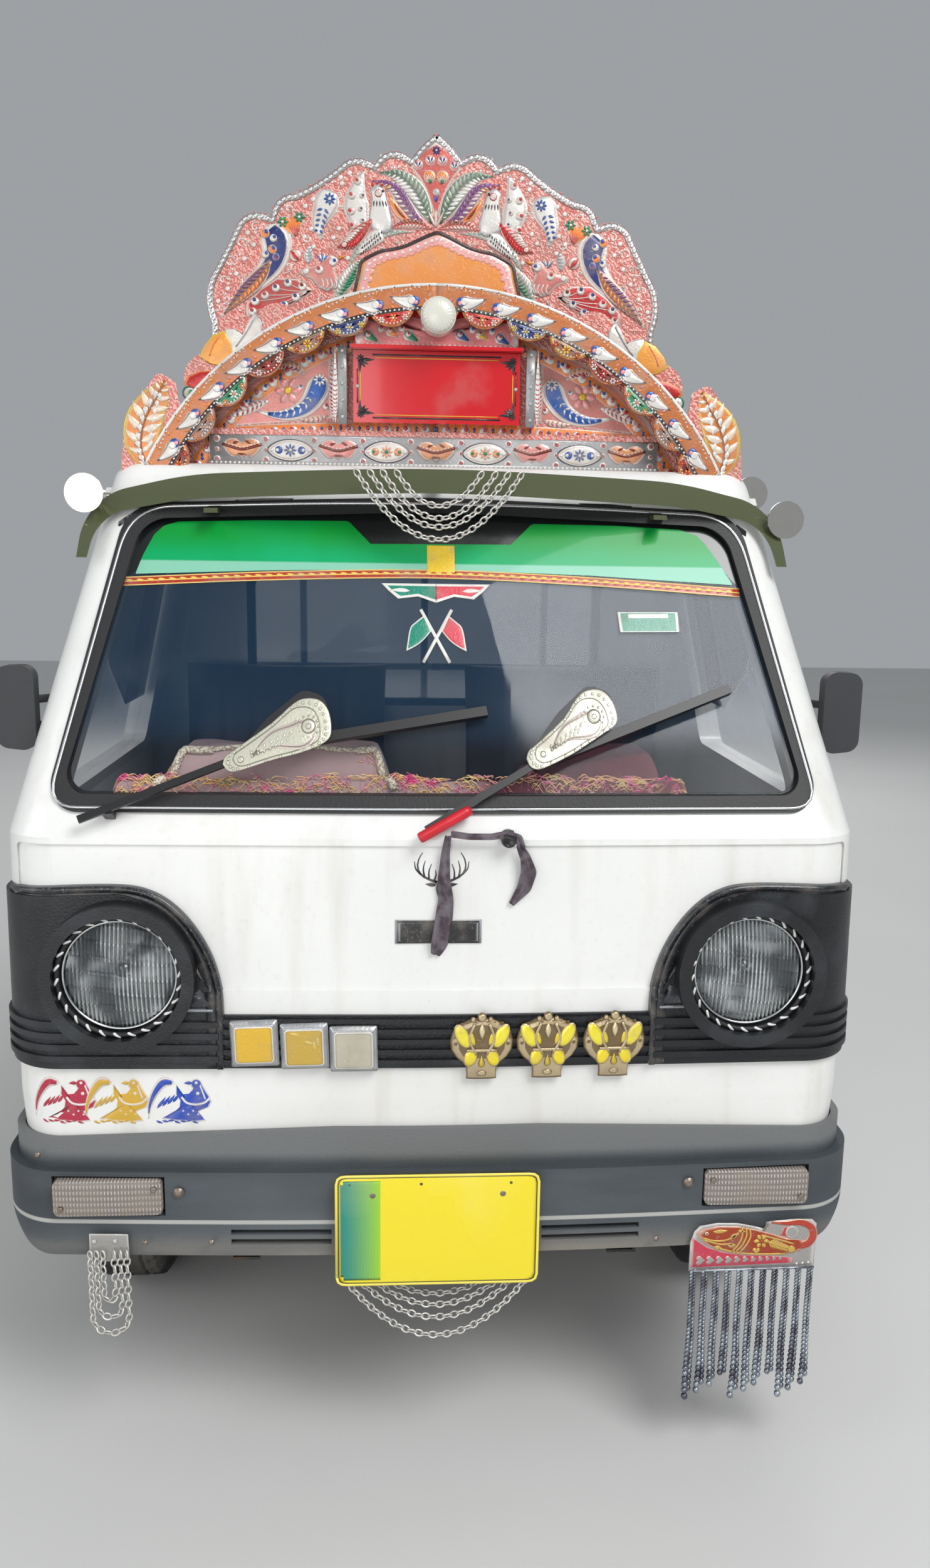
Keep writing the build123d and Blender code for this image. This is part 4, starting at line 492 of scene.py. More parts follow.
mirror_paint = Finish("lamp_reflector", (0.86, 0.88, 0.90), 0.12, 1.0)
mirror_paint.feed("Roughness", 0.10 + mirror_paint.noise(0.01) * 0.16)
beam_glass = Finish("lamp_glass", (0.80, 0.84, 0.86), 0.06, Coat_Weight=0.5, Alpha=0.45, IOR=1.5)
x, _, z = beam_glass.axes()
flute = (x * 950.0).sine()
band = (z * 240.0 + x * 30.0).sine()
patch = beam_glass.noise(0.05, 2.0, (1.0, 1.0, 0.6))
beam_glass.feed("Alpha", 0.26 + flute.clear(-0.2, 1.0) * 0.22 + band.clear(0.80, 1.0) * 0.3 + patch * 0.2)
# Dark glass paling along the flutes in noise patches: painted glints of light on the lens.
tone = beam_glass.mix((0.035, 0.042, 0.046), (0.66, 0.70, 0.70),
                      flute.clear(-0.5, 0.9) * patch.clear(0.40, 0.62))
beam_glass.feed("Base Color", tone)
beam_glass.bump(flute * 0.6 + band.clear(0.5, 1.0) * 0.8, 0.0018)
bright_ring = Finish("lamp_ring", (0.60, 0.61, 0.62), 0.22, 1.0)
bright_ring.feed("Roughness", 0.18 + bright_ring.noise(0.006) * 0.2)
cord_black = Finish("cord_black", (0.012, 0.012, 0.013), 0.5)
cord_black.grain(0.0015, 3.0, 0.0003)
cord_white = Finish("cord_white", (0.78, 0.78, 0.76), 0.5)
cord_white.grain(0.0015, 3.0, 0.0003)
lenses, bowls, rings, cords, dashes, shields = [], [], [], [], [], []
for centre in LAMP_PLACES:
    shares = np.linspace(0.02, 1.0, 14)
    front = [(LENS_RADIUS * share, LENS_FRONT_Y + 0.0155 * share ** 2) for share in shares]
    back = [(LENS_RADIUS * share, LENS_FRONT_Y + 0.0185 + 0.001 * (1 - share)) for share in (1.0, 0.5, 0.02)]
    lenses.append(turned([(0.0001, back[-1][1])] + back[::-1] + front[::-1] + [(0.0001, LENS_FRONT_Y)],
                         centre))
    bowls.append(turned(bowl(LENS_RADIUS - 0.0015), centre))
    shields.append(turned([(0.004, BOWL_BACK_Y), (0.011, BOWL_BACK_Y - 0.030), (0.015, BOWL_BACK_Y - 0.052),
                           (0.013, BOWL_BACK_Y - 0.062), (0.0001, BOWL_BACK_Y - 0.066)], centre, 32))
    turn = np.linspace(0, 2 * pi, 96, endpoint=False)
    rings.append(tube(circle(centre, RING_RADIUS, LENS_FRONT_Y + 0.0135, turn), 0.0026, 8, closed=True))
    cords.append(tube(circle(centre, CORD_RADIUS, LENS_FRONT_Y + 0.004, turn), 0.0046, 8, closed=True))
    for start in np.arange(0, 2 * pi, 2 * pi / CORD_DASHES):
        sweep = np.linspace(start, start + 0.13, 6)
        twist = np.linspace(-0.0030, 0.0030, 6)
        dash = circle(centre, CORD_RADIUS + twist, LENS_FRONT_Y + 0.0016, sweep)
        dashes.append(tube(dash, [0.0016, 0.0026, 0.0029, 0.0029, 0.0026, 0.0016], 6))
lamp_lens = dressed("lamp_lens", lenses, beam_glass)
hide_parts("headlamps")
dressed("lamp_bowl", bowls, mirror_paint)
dressed("lamp_shield", shields, mirror_paint)
dressed("lamp_ring", rings, bright_ring)
dressed("lamp_cord", cords, cord_black)
dressed("lamp_cord_dashes", dashes, cord_white)


def rounded_box(low, high, radius, rise=0.0, rows=5):
    """Box with rounded upright edges seen from the front, from low to high (x, y, z), its front face at low y
    and crowned by rise: rings of one outline, drawn in towards the middle at the front and the back."""
    middle = np.array([(low[0] + high[0]) / 2, (low[2] + high[2]) / 2])
    half = np.array([(high[0] - low[0]) / 2, (high[2] - low[2]) / 2])
    turn = np.radians(np.concatenate([np.linspace(90 * k, 90 * k + 90, rows) for k in range(4)]))
    corner = np.repeat([(1, 1), (-1, 1), (-1, -1), (1, -1)], rows, axis=0) * (half - radius)
    edge = corner + radius * np.stack([np.cos(turn), np.sin(turn)], 1)
    stations = [(0.001, high[1]), (1.0, high[1]), (1.0, low[1] + 0.0022), (0.985, low[1] + 0.0008)]
    stations += [(share, low[1] - rise * (1 - share ** 2)) for share in (0.955, 0.7, 0.35, 0.001)]
    points = [np.stack([middle[0] + edge[:, 0] * share, np.full(len(edge), y),
                        middle[1] + edge[:, 1] * share], 1)
              for share, y in stations]
    return np.concatenate(points), grid_faces(len(stations), len(edge), close_columns=True)


# Indicators in the bumper: clear ribbed covers gone brown with dust over a pale reflector, each held by
# two sunk screws.
clouded = Finish("indicator_cover", (0.34, 0.30, 0.27), 0.3, Coat_Weight=0.4)
x, _, z = clouded.axes()
rib = (x * 1150.0).sine()
low_rib = (z * 620.0).sine()
cloud = clouded.noise(0.05, 5.0).clear(0.35, 0.70)
tone = clouded.mix((0.22, 0.185, 0.165), (0.52, 0.49, 0.46), rib.clear(-0.4, 0.9) * low_rib.clear(-1.0, 0.4))
clouded.feed("Base Color", clouded.mix(tone, (0.30, 0.25, 0.20), cloud * 0.6))
clouded.feed("Roughness", 0.16 + cloud * 0.4)
clouded.bump(rib * 0.5 + low_rib * 0.25, 0.0014)
covers, screws = [], []
for side in (-1, 1):
    first, last = sorted((side * 0.4435, side * 0.6175))
    covers.append(rounded_box((first, FRONT_Y + 0.0255, 0.4575), (last, FRONT_Y + 0.050, 0.5185), 0.009,
                              0.0022))
    for x, z in ((side * 0.456, 0.504), (side * 0.605, 0.472)):
        screws.append(turned([(0.0001, FRONT_Y + 0.026), (0.0046, FRONT_Y + 0.026),
                              (0.0046, FRONT_Y + 0.0218),
                              (0.0036, FRONT_Y + 0.0205), (0.0013, FRONT_Y + 0.0208),
                              (0.0001, FRONT_Y + 0.0222)],
                             (x, z), 16))
cover = dressed("indicator_cover", covers, clouded)
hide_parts("headlamps")
screw_steel = Finish("screw_steel", (0.33, 0.31, 0.28), 0.45, 0.85)
screw_steel.patches((0.36, 0.35, 0.33), (0.20, 0.11, 0.06), 0.006)
dressed("indicator_screws", screws, screw_steel)

# Centre grille and its badges. Moulded black ribs with rubbed edges carry three square badges in chrome
# frames and three pressed gilt badges with yellow petals, all blank, each clipped over two ribs.
SALMON = (0.55, 0.12, 0.10)
ROSE = (0.50, 0.09, 0.11)
ORANGE = (0.78, 0.22, 0.045)
OCHRE = (0.60, 0.24, 0.04)
PALE = (0.62, 0.52, 0.47)
WHITE = (0.70, 0.68, 0.64)
SILVER = (0.42, 0.43, 0.43)
BLUE = (0.015, 0.085, 0.34)
NAVY = (0.02, 0.035, 0.16)
GREEN = (0.01, 0.22, 0.10)
SAGE = (0.30, 0.36, 0.29)
RED = (0.48, 0.02, 0.02)
MAROON = (0.17, 0.025, 0.012)
PLUM = (0.20, 0.08, 0.20)
PINK = (0.62, 0.22, 0.19)
YELLOW = (0.74, 0.48, 0.03)
BLACK = (0.015, 0.015, 0.018)
BROWN = (0.26, 0.13, 0.09)


def curve_through(points, count):
    """Smooth line through a few (x, z) points: Catmull-Rom pieces sampled evenly, as a (count, 2) array."""
    p = np.asarray(points, float)
    p = np.vstack([2 * p[0] - p[1], p, 2 * p[-1] - p[-2]])
    t = np.linspace(0, len(p) - 3 - 1e-9, count)
    k = t.astype(int)
    f = (t - k)[:, None]
    a, b, c, d = p[k], p[k + 1], p[k + 2], p[k + 3]
    square = 2 * a - 5 * b + 4 * c - d
    cube = 3 * b - a - 3 * c + d
    return 0.5 * (2 * b + (c - a) * f + square * f ** 2 + cube * f ** 3)


def side_of(line):
    """Unit normals of a line of (x, z) points, to its left."""
    run = np.gradient(line, axis=0)
    run /= np.maximum(np.linalg.norm(run, axis=1, keepdims=True), 1e-9)
    return np.stack([-run[:, 1], run[:, 0]], 1)


def mirrored(points):
    """Outline or line from one half that starts or ends on the middle line: the half, then its mirror."""
    return points + [(-x, z) for x, z in points[::-1] if x]


class Relief:
    """Raised shapes on an upright board, in millimetres: x across, z up and a height out of the board."""

    def __init__(self):
        self.points, self.paints, self.quads, self.tris, self.count = [], [], [], [], 0

    def add(self, points, paints, quads, tris):
        self.points.append(points)
        self.paints.append(paints)
        self.quads.append(np.asarray(quads, int).reshape(-1, 4) + self.count)
        self.tris.append(np.asarray(tris, int).reshape(-1, 3) + self.count)
        self.count += len(points)

    def strip(self, line, half, fill, edge=None, rise=1.6, rim=0.24, base=0.0):
        """A raised band along a line. Its cross-section is a low arch that is half wide each way, with the
        outer rim share of each side in the edge colour. The bottom lies 0.5 below the base."""
        half = np.broadcast_to(np.asarray(half, float), (len(line),))
        across = np.array([-1, -0.97, -1 + rim, -0.9 + rim, 0.9 - rim, 1 - rim, 0.97, 1])
        height = np.array([-0.5, 0.45 * rise, 0.62 * rise, rise, rise, 0.62 * rise, 0.45 * rise, -0.5]) + base
        fade = np.minimum(1, half / max(half.max() * 0.5, 1e-6)) ** 0.5
        flat = line[:, None] + side_of(line)[:, None] * (half[:, None] * across[None, :])[..., None]
        out = np.where(height - base > 0, (height - base) * fade[:, None], -0.5) + base
        rows, columns = len(line), len(across)
        points = np.concatenate([flat, out[..., None]], 2).reshape(-1, 3)
        colours = np.array([edge or fill] * 3 + [fill] * 2 + [edge or fill] * 3)
        paints = np.broadcast_to(colours, (rows, columns, 3)).reshape(-1, 3)
        quads = grid_faces(rows, columns, close_columns=True)
        ends = [[i, i + 1, columns - 2 - i, columns - 1 - i] for i in range(columns // 2 - 1)]
        last = [[d + (rows - 1) * columns for d in reversed(quad)] for quad in ends]
        self.add(points, paints, np.vstack([quads[:, ::-1], ends, last]), [])

    def dome(self, outline, fill, edge=None, rise=1.8, rim=0.14, base=0.0, centre=None):
        """A raised patch inside a closed outline that can be seen whole from its centre: rings drawn in
        towards the centre, low at the edge and flat on top."""
        outline = np.asarray(outline, float)
        middle = outline.mean(0) if centre is None else np.asarray(centre, float)
        shares = np.array([1.0, 0.985, 1 - rim, 0.94 - rim, 0.45])
        heights = np.array([-0.5, 0.45 * rise, 0.6 * rise, 0.95 * rise, rise]) + base
        n = len(outline)
        rings = middle + (outline - middle) * shares[:, None, None]
        flat = np.concatenate([rings, np.broadcast_to(heights[:, None, None], (5, n, 1))], 2).reshape(-1, 3)
        points = np.vstack([flat, [*middle, rise + base], [*middle, base - 0.5]])
        colours = np.array([edge or fill] * 3 + [fill] * 2)
        paints = np.vstack([np.repeat(colours, n, 0), [fill, fill]])
        around = np.arange(n)
        after = (around + 1) % n
        area = np.sum(outline[:, 0] * outline[after, 1] - outline[after, 0] * outline[:, 1])
        top = np.stack([4 * n + around, 4 * n + after, np.full(n, 5 * n)], 1)
        bottom = np.stack([after, around, np.full(n, 5 * n + 1)], 1)
        quads = grid_faces(5, n, close_columns=True)
        tris = np.vstack([top, bottom])
        if area < 0:
            quads, tris = quads[:, ::-1], tris[:, ::-1]
        self.add(points, paints, quads, tris)

    def disc(self, x, z, radius, fill, edge=None, rise=1.6, sides=12, base=0.0, rim=0.16, squash=1.0,
             turn=0.0):
        """Round or oval patch."""
        angle = np.arange(sides) * 2 * pi / sides
        ring = np.stack([radius * np.cos(angle), radius * squash * np.sin(angle)], 1)
        spin = np.array([[cos(turn), sin(turn)], [-sin(turn), cos(turn)]])
        self.dome(ring @ spin + (x, z), fill, edge, rise, rim, base)

    def leaf(self, x, z, angle, length, width, fill, edge=None, bend=0.0, rise=1.3, base=0.0, rows=6,
             full=0.75):
        """Pointed leaf from its foot at (x, z), its width a sine of the length, bent to one side."""
        t = np.linspace(0, 1, rows)
        turn = angle + bend * (t - 0.5)
        steps = np.stack([np.cos(turn), np.sin(turn)], 1) * length / (rows - 1)
        line = np.array([x, z]) + np.vstack([[0, 0], np.cumsum(steps[:-1], 0)])
        half = width * 0.5 * np.maximum(np.sin(pi * t ** full), 0.06)
        self.strip(line, half, fill, edge, rise, base=base)

    def spray(self, count, x, z, angle, turn, length, width, paints, edge=None, **more):
        """Leaves from one foot at (x, z), each turned on from the last, in paints by turns."""
        for k in range(count):
            self.leaf(x, z, angle + k * turn, length, width, paints[k % len(paints)], edge, **more)

    def moon(self, x, z, radius, dot, angle, face=WHITE, edge=None, base=0.0):
        """White disc with a coloured dot that leans on one side of it."""
        self.disc(x, z, radius, face, edge, 1.7, 12, base)
        self.disc(x + 0.42 * radius * cos(angle), z + 0.42 * radius * sin(angle), radius * 0.46, dot, None,
                  1.0, 8,
                  base + 1.6)

    def flower(self, x, z, radius, petals, fill, heart, edge=None, base=0.0, turn=0.0):
        """Petals round a domed heart."""
        for k in range(petals):
            angle = turn + 2 * pi * k / petals
            self.leaf(x + 0.12 * radius * cos(angle), z + 0.12 * radius * sin(angle), angle, radius * 0.88,
                      radius * 3.3 / petals, fill, edge, 0.0, 1.5, base, 5, 1.25)
        self.disc(x, z, radius * 0.27, heart, None, 1.2, 8, base + 1.4)

    def sprig(self, points, half, pairs, left, right, ground=None, edge=None, base=0.0, lean=0.75, stem=None):
        """Feather: a band, if it has a ground colour, with a stem and pairs of leaflets along its line."""
        line = curve_through(points, 16)
        t = np.linspace(0, 1, 16)
        swell = np.clip(np.sin(pi * np.clip(t, 0.04, 0.97) ** 0.85), 0.12, 1)
        if ground:
            self.strip(line, half * swell, ground, edge, 1.2, 0.16, base)
            base += 1.2
        if stem:
            self.strip(line, max(half * 0.07, 0.8), stem, None, 0.7, base=base)
        feet = np.linspace(0.08, 0.93, pairs)
        at = np.stack([np.interp(feet, t, line[:, k]) for k in range(2)], 1)
        ahead = np.stack([np.interp(np.minimum(feet + 0.02, 1), t, line[:, k]) for k in range(2)], 1) - at
        heading = np.arctan2(ahead[:, 1], ahead[:, 0])
        reach = np.interp(feet, t, swell) * half * 0.98
        for (x, z), way, size in zip(at, heading, reach):
            for side, paint in ((1, left), (-1, right)):
                self.leaf(x, z, way + side * lean, size * 1.12, size * 0.46, paint, None, -side * 0.5, 1.2,
                          base, 4)

    def paisley(self, points, half, fill, rim_paint, inner=None, base=0.0, head=0.30):
        """Teardrop along a line, round at its head and pointed at its tail, in steps of rim, band and field."""
        t = np.linspace(0, 1, 20)
        line = curve_through(points, 20)
        head_part = np.sqrt(np.clip(1 - (1 - t / head) ** 2, 0.004, 1))
        tail_part = np.clip((1 - t) / (1 - head), 0.03, 1) ** 0.8
        profile = half * np.where(t < head, head_part, tail_part)
        self.strip(line, profile, rim_paint, PALE, 1.2, 0.12, base)
        trim = slice(1, 18)
        self.strip(line[trim], np.maximum(profile[trim] * 0.78 - 0.6, 0.4), fill, PALE, 0.9, 0.14, base + 1.1)
        if inner:
            middle = line[4:17]
            self.sprig(middle[[0, 4, 8, 12]], half * 0.52, 7, inner, inner, base=base + 1.9)

    def heart(self, x, z, size, turn, fill, edge=None, base=0.0):
        """Heart from the usual sine cubed curve."""
        t = np.linspace(0, 2 * pi, 22, endpoint=False)
        shape = np.stack([16 * np.sin(t) ** 3,
                          13 * np.cos(t) - 5 * np.cos(2 * t) - 2 * np.cos(3 * t) - np.cos(4 * t)],
                         1) * size / 32
        spin = np.array([[cos(turn), sin(turn)], [-sin(turn), cos(turn)]])
        self.dome(shape @ spin + (x, z), fill, edge, 1.6, 0.14, base, centre=(x, z))

    def mirror(self):
        """Adds the same shapes on the other side of the truck."""
        for k in range(len(self.points)):
            quads = self.quads[k] - self.quads[k].min() if len(self.quads[k]) else self.quads[k]
            lowest = min([part.min() for part in (self.quads[k], self.tris[k]) if len(part)])
            self.add(self.points[k] * (-1, 1, 1), self.paints[k], (self.quads[k] - lowest)[:, ::-1],
                     (self.tris[k] - lowest)[:, ::-1])

    def make(self, name, depth, finish):
        """One mesh of all the shapes, on the plane that lies depth millimetres behind the front plate."""
        flat = np.vstack(self.points)
        points = np.stack([flat[:, 0], -flat[:, 2] + depth + FRONT_MM, flat[:, 1]], 1) / 1000
        made = make_object(name, points, np.vstack(self.quads), np.vstack(self.tris))
        paint = made.data.color_attributes.new("paint", "FLOAT_COLOR", "POINT")
        colours = np.hstack([np.vstack(self.paints), np.ones((self.count, 1))])
        paint.data.foreach_set("color", colours.astype(np.float32).ravel())
        finish.put(made)
        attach(made, "truck")
        return made

    def lay(self, name, finish, surface, lift=0.0):
        """One mesh of all the shapes, bent along a surface given by its depth y at (x, z) in metres."""
        made = self.make(name, 0.0, finish)
        places = np.empty(len(made.data.vertices) * 3, np.float32)
        made.data.vertices.foreach_get("co", places)
        places = places.reshape(-1, 3)
        places[:, 1] += surface(places[:, 0].astype(float), places[:, 2].astype(float)) - FRONT_Y - lift
        made.data.vertices.foreach_set("co", places.ravel())
        made.data.update()


def foil_finish(name, metallic=0.25, roughness=0.34):
    """Lacquered foil whose colour is painted on the piece, with wear, dust and fine hammering."""
    foil = Finish(name, WHITE, roughness, metallic, Coat_Weight=0.3, Coat_Roughness=0.2)
    painted = foil.node("ShaderNodeAttribute", {"attribute_name": "paint"}, {}, "Color")
    soil = foil.noise(0.04, 5.0).clear(0.45, 0.75)
    speck = foil.noise(0.004, 3.0)
    tone = foil.mix(painted, (0.30, 0.25, 0.21), soil * 0.35)
    foil.feed("Base Color", foil.mix(tone, (0.62, 0.60, 0.57), speck.clear(0.62, 0.72) * 0.25))
    foil.feed("Roughness", 0.30 + soil * 0.3)
    foil.bump(speck, 0.0006)
    return foil


def front_of(node):
    """Frontmost y of a CAD node at points (x, z) in metres: every triangle of its mesh is tested against
    all the points at once, by its barycentric shares in the front view."""
    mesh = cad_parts[node].data
    mesh.calc_loop_triangles()
    places = np.empty(len(mesh.vertices) * 3, np.float32)
    mesh.vertices.foreach_get("co", places)
    corners = np.empty(len(mesh.loop_triangles) * 3, np.int32)
    mesh.loop_triangles.foreach_get("vertices", corners)
    a, b, c = np.moveaxis(places.reshape(-1, 3)[corners.reshape(-1, 3)].astype(float), 1, 0)
    area = (b[:, 2] - c[:, 2]) * (a[:, 0] - c[:, 0]) + (c[:, 0] - b[:, 0]) * (a[:, 2] - c[:, 2])
    seen = np.abs(area) > 1e-9
    a, b, c, area = a[seen], b[seen], c[seen], area[seen]

    def depth(x, z):
        """Frontmost y at each point, the nearest point's where the node has none."""
        found = []
        for first in range(0, len(x), 500):
            px, pz = x[first:first + 500, None], z[first:first + 500, None]
            u = ((b[:, 2] - c[:, 2]) * (px - c[:, 0]) + (c[:, 0] - b[:, 0]) * (pz - c[:, 2])) / area
            v = ((c[:, 2] - a[:, 2]) * (px - c[:, 0]) + (a[:, 0] - c[:, 0]) * (pz - c[:, 2])) / area
            inside = (u > -1e-4) & (v > -1e-4) & (u + v < 1.0001)
            y = u * a[:, 1] + v * b[:, 1] + (1 - u - v) * c[:, 1]
            found.append(np.where(inside, y, np.inf).min(1))
        found = np.concatenate(found)
        lost = ~np.isfinite(found)
        if lost.any():
            gap = (x[lost, None] - x[None, ~lost]) ** 2 + (z[lost, None] - z[None, ~lost]) ** 2
            found[lost] = found[~lost][gap.argmin(1)]
        return found

    return depth


grille_front = front_of("grille_centre")
nose_front = front_of("cab_nose")
RIB_Z = 0.745


def rib_front(x, z):
    """Depth of the grille's ribs, taken along one of them so that a badge stays flat over the gaps."""
    return grille_front(x, np.full(len(z), RIB_Z))


foil = foil_finish("painted_foil")
gilt = foil_finish("gilt_metal", 0.55, 0.30)
chromed = foil_finish("chrome_frame", 0.9, 0.16)
GILT = (0.56, 0.44, 0.26)
GILT_DARK = (0.20, 0.135, 0.06)
CHROME = (0.55, 0.56, 0.57)


def square_line(x, z, half, radius, turn=0.0, rows=5):
    """Closed outline of a square with round corners, in millimetres."""
    angle = np.radians(np.concatenate([np.linspace(90 * k, 90 * k + 90, rows) for k in range(4)]))
    corner = np.repeat([(1, 1), (-1, 1), (-1, -1), (1, -1)], rows, axis=0) * (half - radius)
    edge = corner + radius * np.stack([np.cos(angle), np.sin(angle)], 1)
    spin = np.array([[cos(turn), sin(turn)], [-sin(turn), cos(turn)]])
    return edge @ spin + (x, z)


frames, faces_of_badges = Relief(), Relief()
for x, z, turn, paint in (
        # centre, lean and colour of each square badge
        (-293.0, 744.5, 0.035, (0.72, 0.44, 0.035)), (-213.5, 740.0, 0.03, (0.56, 0.37, 0.06)),
        (-135.5, 735.5, 0.015, (0.50, 0.47, 0.36))):
    frames.dome(square_line(x, z, 38.5, 3.0, turn), CHROME, CHROME, 9.0, 0.10)
    frames.dome(square_line(x, z, 33.0, 4.0, turn), (0.12, 0.12, 0.125), CHROME, 0.6, 0.03, 9.4)
    faces_of_badges.dome(square_line(x, z, 31.0, 5.0, turn), paint, WHITE, 0.8, 0.045, 10.2)
    faces_of_badges.dome(square_line(x, z, 28.6, 4.0, turn), paint,
                         (paint[0] * 0.72, paint[1] * 0.72, paint[2] * 0.72),
                         0.3, 0.02, 11.2)
for side in (-1, 1):
    for x, z in ((-213.5 + side * 22, 762 - side * 4), (-205 + side * 8, 752)):
        faces_of_badges.leaf(x, z, -0.6 * side - 0.8, 17, 5, (0.68, 0.50, 0.12), None, 0.7, 0.3, 11.6, 6)
frames.lay("badge_frames", chromed, rib_front)
faces_of_badges.lay("badge_faces", foil, rib_front)

crests = Relief()
for centre in (69.0, 175.5, 284.0):
    # Plate: a broad ring that narrows to a foot
    shape = mirrored([(0, 786), (20, 783), (36, 776), (47, 764), (51.5, 748), (50, 733), (42, 720), (31, 711),
                      (25, 703), (24, 692), (24.5, 682.5), (12, 681.5)])
    crests.dome(np.array(shape) + (centre, 0), GILT, GILT_DARK, 7.0, 0.05, centre=(centre, 735))
    crests.dome(np.array([(x * 0.74, 741 + (z - 741) * 0.80) for x, z in shape if z > 705]) + (centre, 0),
                GILT_DARK,
                GILT_DARK, 0.5, 0.03, 6.6, centre=(centre, 741))
    for side in (-1, 1):
        for x, z, size, squash, turn, paint in (
                (31, 757, 22.5, 0.50, 1.10, (0.98, 0.84, 0.06)),
                (18, 721, 16.0, 0.66, 1.9, (0.95, 0.76, 0.04)),
                (15, 752, 11.5, 0.34, 1.35, (0.82, 0.64, 0.05))):
            crests.disc(centre + side * x, z, size, paint, (0.62, 0.48, 0.22), 3.0, 14, 6.9, 0.12, squash,
                        side * turn)
        crests.strip(curve_through([(centre + side * 12, 778), (centre + side * 20, 752),
                                    (centre + side * 8, 726)], 9),
                     2.6, GILT, GILT_DARK, 3.4, 0.2, 6.9)
        crests.disc(centre + side * 42, 745, 3.6, GILT_DARK, GILT, 1.0, 10, 6.9)
        for step in range(6):
            angle = 0.30 + step * 0.30
            crests.leaf(centre + side * 46.0 * cos(angle - 0.5), 745 + 37 * sin(angle - 0.1),
                        angle * side + 1.4, 6, 2.4,
                        GILT_DARK, None, 0.3, 0.9, 6.9, 4)
    crests.leaf(centre, 752, 1.57, 26, 11, (0.78, 0.66, 0.40), GILT, 0.0, 4.2, 6.9, 8, 1.2)
    crests.leaf(centre, 704, 1.57, 20, 11, (0.66, 0.48, 0.03), GILT_DARK, 0.0, 2.6, 6.9, 8, 0.6)
    crests.strip(np.linspace((centre - 24, 733), (centre + 24, 733), 5), 3.0, GILT, GILT_DARK, 3.0, 0.2, 6.9)
    crests.disc(centre, 694, 8, GILT, GILT_DARK, 1.8, 10, 6.6, squash=0.6)
    # Crest: a plain knob between two beads
    crests.disc(centre, 788, 7.5, GILT, GILT_DARK, 6.0, 12, 3.0)
    for side in (-1, 1):
        crests.disc(centre + side * 14, 784, 4.2, GILT, GILT_DARK, 3.6, 10, 3.0)
crests.lay("petal_badges", gilt, rib_front)

# Lamp surround infill: the moulding's shoulder spreads beyond the bezel, with a raised lip along its edge
# and a grained triangle between them.
shoulders = Relief()
SHOULDER = (0.012, 0.014, 0.017)
for side in (1, -1):
    edge = curve_through([(348, 700), (348, 800), (352, 838), (364, 880), (386, 922), (416, 958), (452, 982),
                          (500, 992),
                          (600, 990), (682, 984)], 50)
    inside = curve_through([(372, 700), (372, 800), (378, 838), (392, 880), (410, 915), (436, 945),
                            (470, 962), (510, 968),
                          (600, 966), (682, 960)], 50)
    shoulders.strip(edge * (side, 1), 6.0, SHOULDER, (0.030, 0.035, 0.042), 13.5, 0.12)
    shoulders.strip((edge * 0.55 + inside * 0.45) * (side, 1), 12.0, SHOULDER, (0.02, 0.022, 0.027), 10.5,
                    0.06)
    grain_edge = [(360, 800), (371, 846), (386, 876), (398, 872), (404, 846), (408, 820), (410, 800)]
    shoulders.dome(np.array(grain_edge) * (side, 1), (0.022, 0.026, 0.033), SHOULDER, 11.8, 0.05, 0,
                   centre=(388 * side, 832))
    shoulders.strip(np.linspace((358 * side, 797), (412 * side, 797), 6), 2.4, (0.26, 0.28, 0.30), None, 12.6,
                    0.2)
gloss_black = foil_finish("surround_plastic", 0.0, 0.3)
shoulders.lay("surround_lips", gloss_black, nose_front)

# Painted birds on the white strip under the lamps, the plain name bar, the stag's head on the nose.
# They are cut from coloured film and pressed onto the enamel.
film = foil_finish("cut_film", 0.0, 0.35)
birds = Relief()
for x0, paint, edge in ((-650.5, (0.42, 0.015, 0.05), WHITE), (-567.0, (0.60, 0.36, 0.03),
                                                               (0.70, 0.60, 0.50)),
                        (-467.0, (0.012, 0.06, 0.42), WHITE)):
    def bird(points):
        return [(x0 + x, 608 + z) for x, z in points]

    birds.paisley(bird([(43, 64), (26, 65), (12, 48), (3, 26), (0, 2)]), 8.5, paint, edge, None, 0, 0.28)
    birds.dome(bird([(45, 62), (47, 52), (54, 46), (66, 47), (73, 55), (76, 62), (88, 64), (94, 52),
                     (100, 42), (103, 32),
                     (98, 22), (84, 16), (78, 12), (88, 4), (92, -2), (76, -4), (58, -3), (40, -2), (20, 2),
                     (36, 9),
                     (49, 22), (51, 34), (44, 46)]), paint, edge, 0.7, 0.05, centre=bird([(66, 30)])[0])
    birds.disc(x0 + 78, 608 + 62, 9.5, paint, edge, 0.8, 14, 0.1)
    birds.leaf(x0 + 72, 608 + 63, 3.2, 14, 8, paint, edge, 0.6, 0.8, 0.1, 7)
    birds.disc(x0 + 78, 608 + 64, 2.6, edge, None, 0.4, 8, 0.9)
    birds.strip(curve_through(bird([(54, 40), (62, 30), (76, 27), (90, 30), (99, 38)]), 12), 1.8, edge, None,
                0.4, 0.1, 0.7)
    birds.strip(curve_through(bird([(84, 60), (88, 48), (92, 36)]), 8), 1.3, edge, None, 0.4, 0.1, 0.7)
    for step in range(4):
        birds.leaf(x0 + 14 + step * 8.5, 608 + 20 + step * 3.5, 0.95, 25 - step * 2, 5.5, paint, None, 0.1,
                   0.5, 0.1, 5)
        birds.disc(x0 + 56 + step * 8, 608 + 16 - (step % 2) * 6, 1.8, edge, None, 0.4, 6, 0.7)
    for step in range(7):
        birds.leaf(x0 + 12 + step * 9.5, 608 - 1, -0.4 + (step % 3) * 0.25, 12, 5.5, paint, edge, 0, 0.6, 0.0,
                   5)
    birds.disc(x0 + 80, 608 + 46, 3.2, edge, None, 0.4, 5, 0.7)
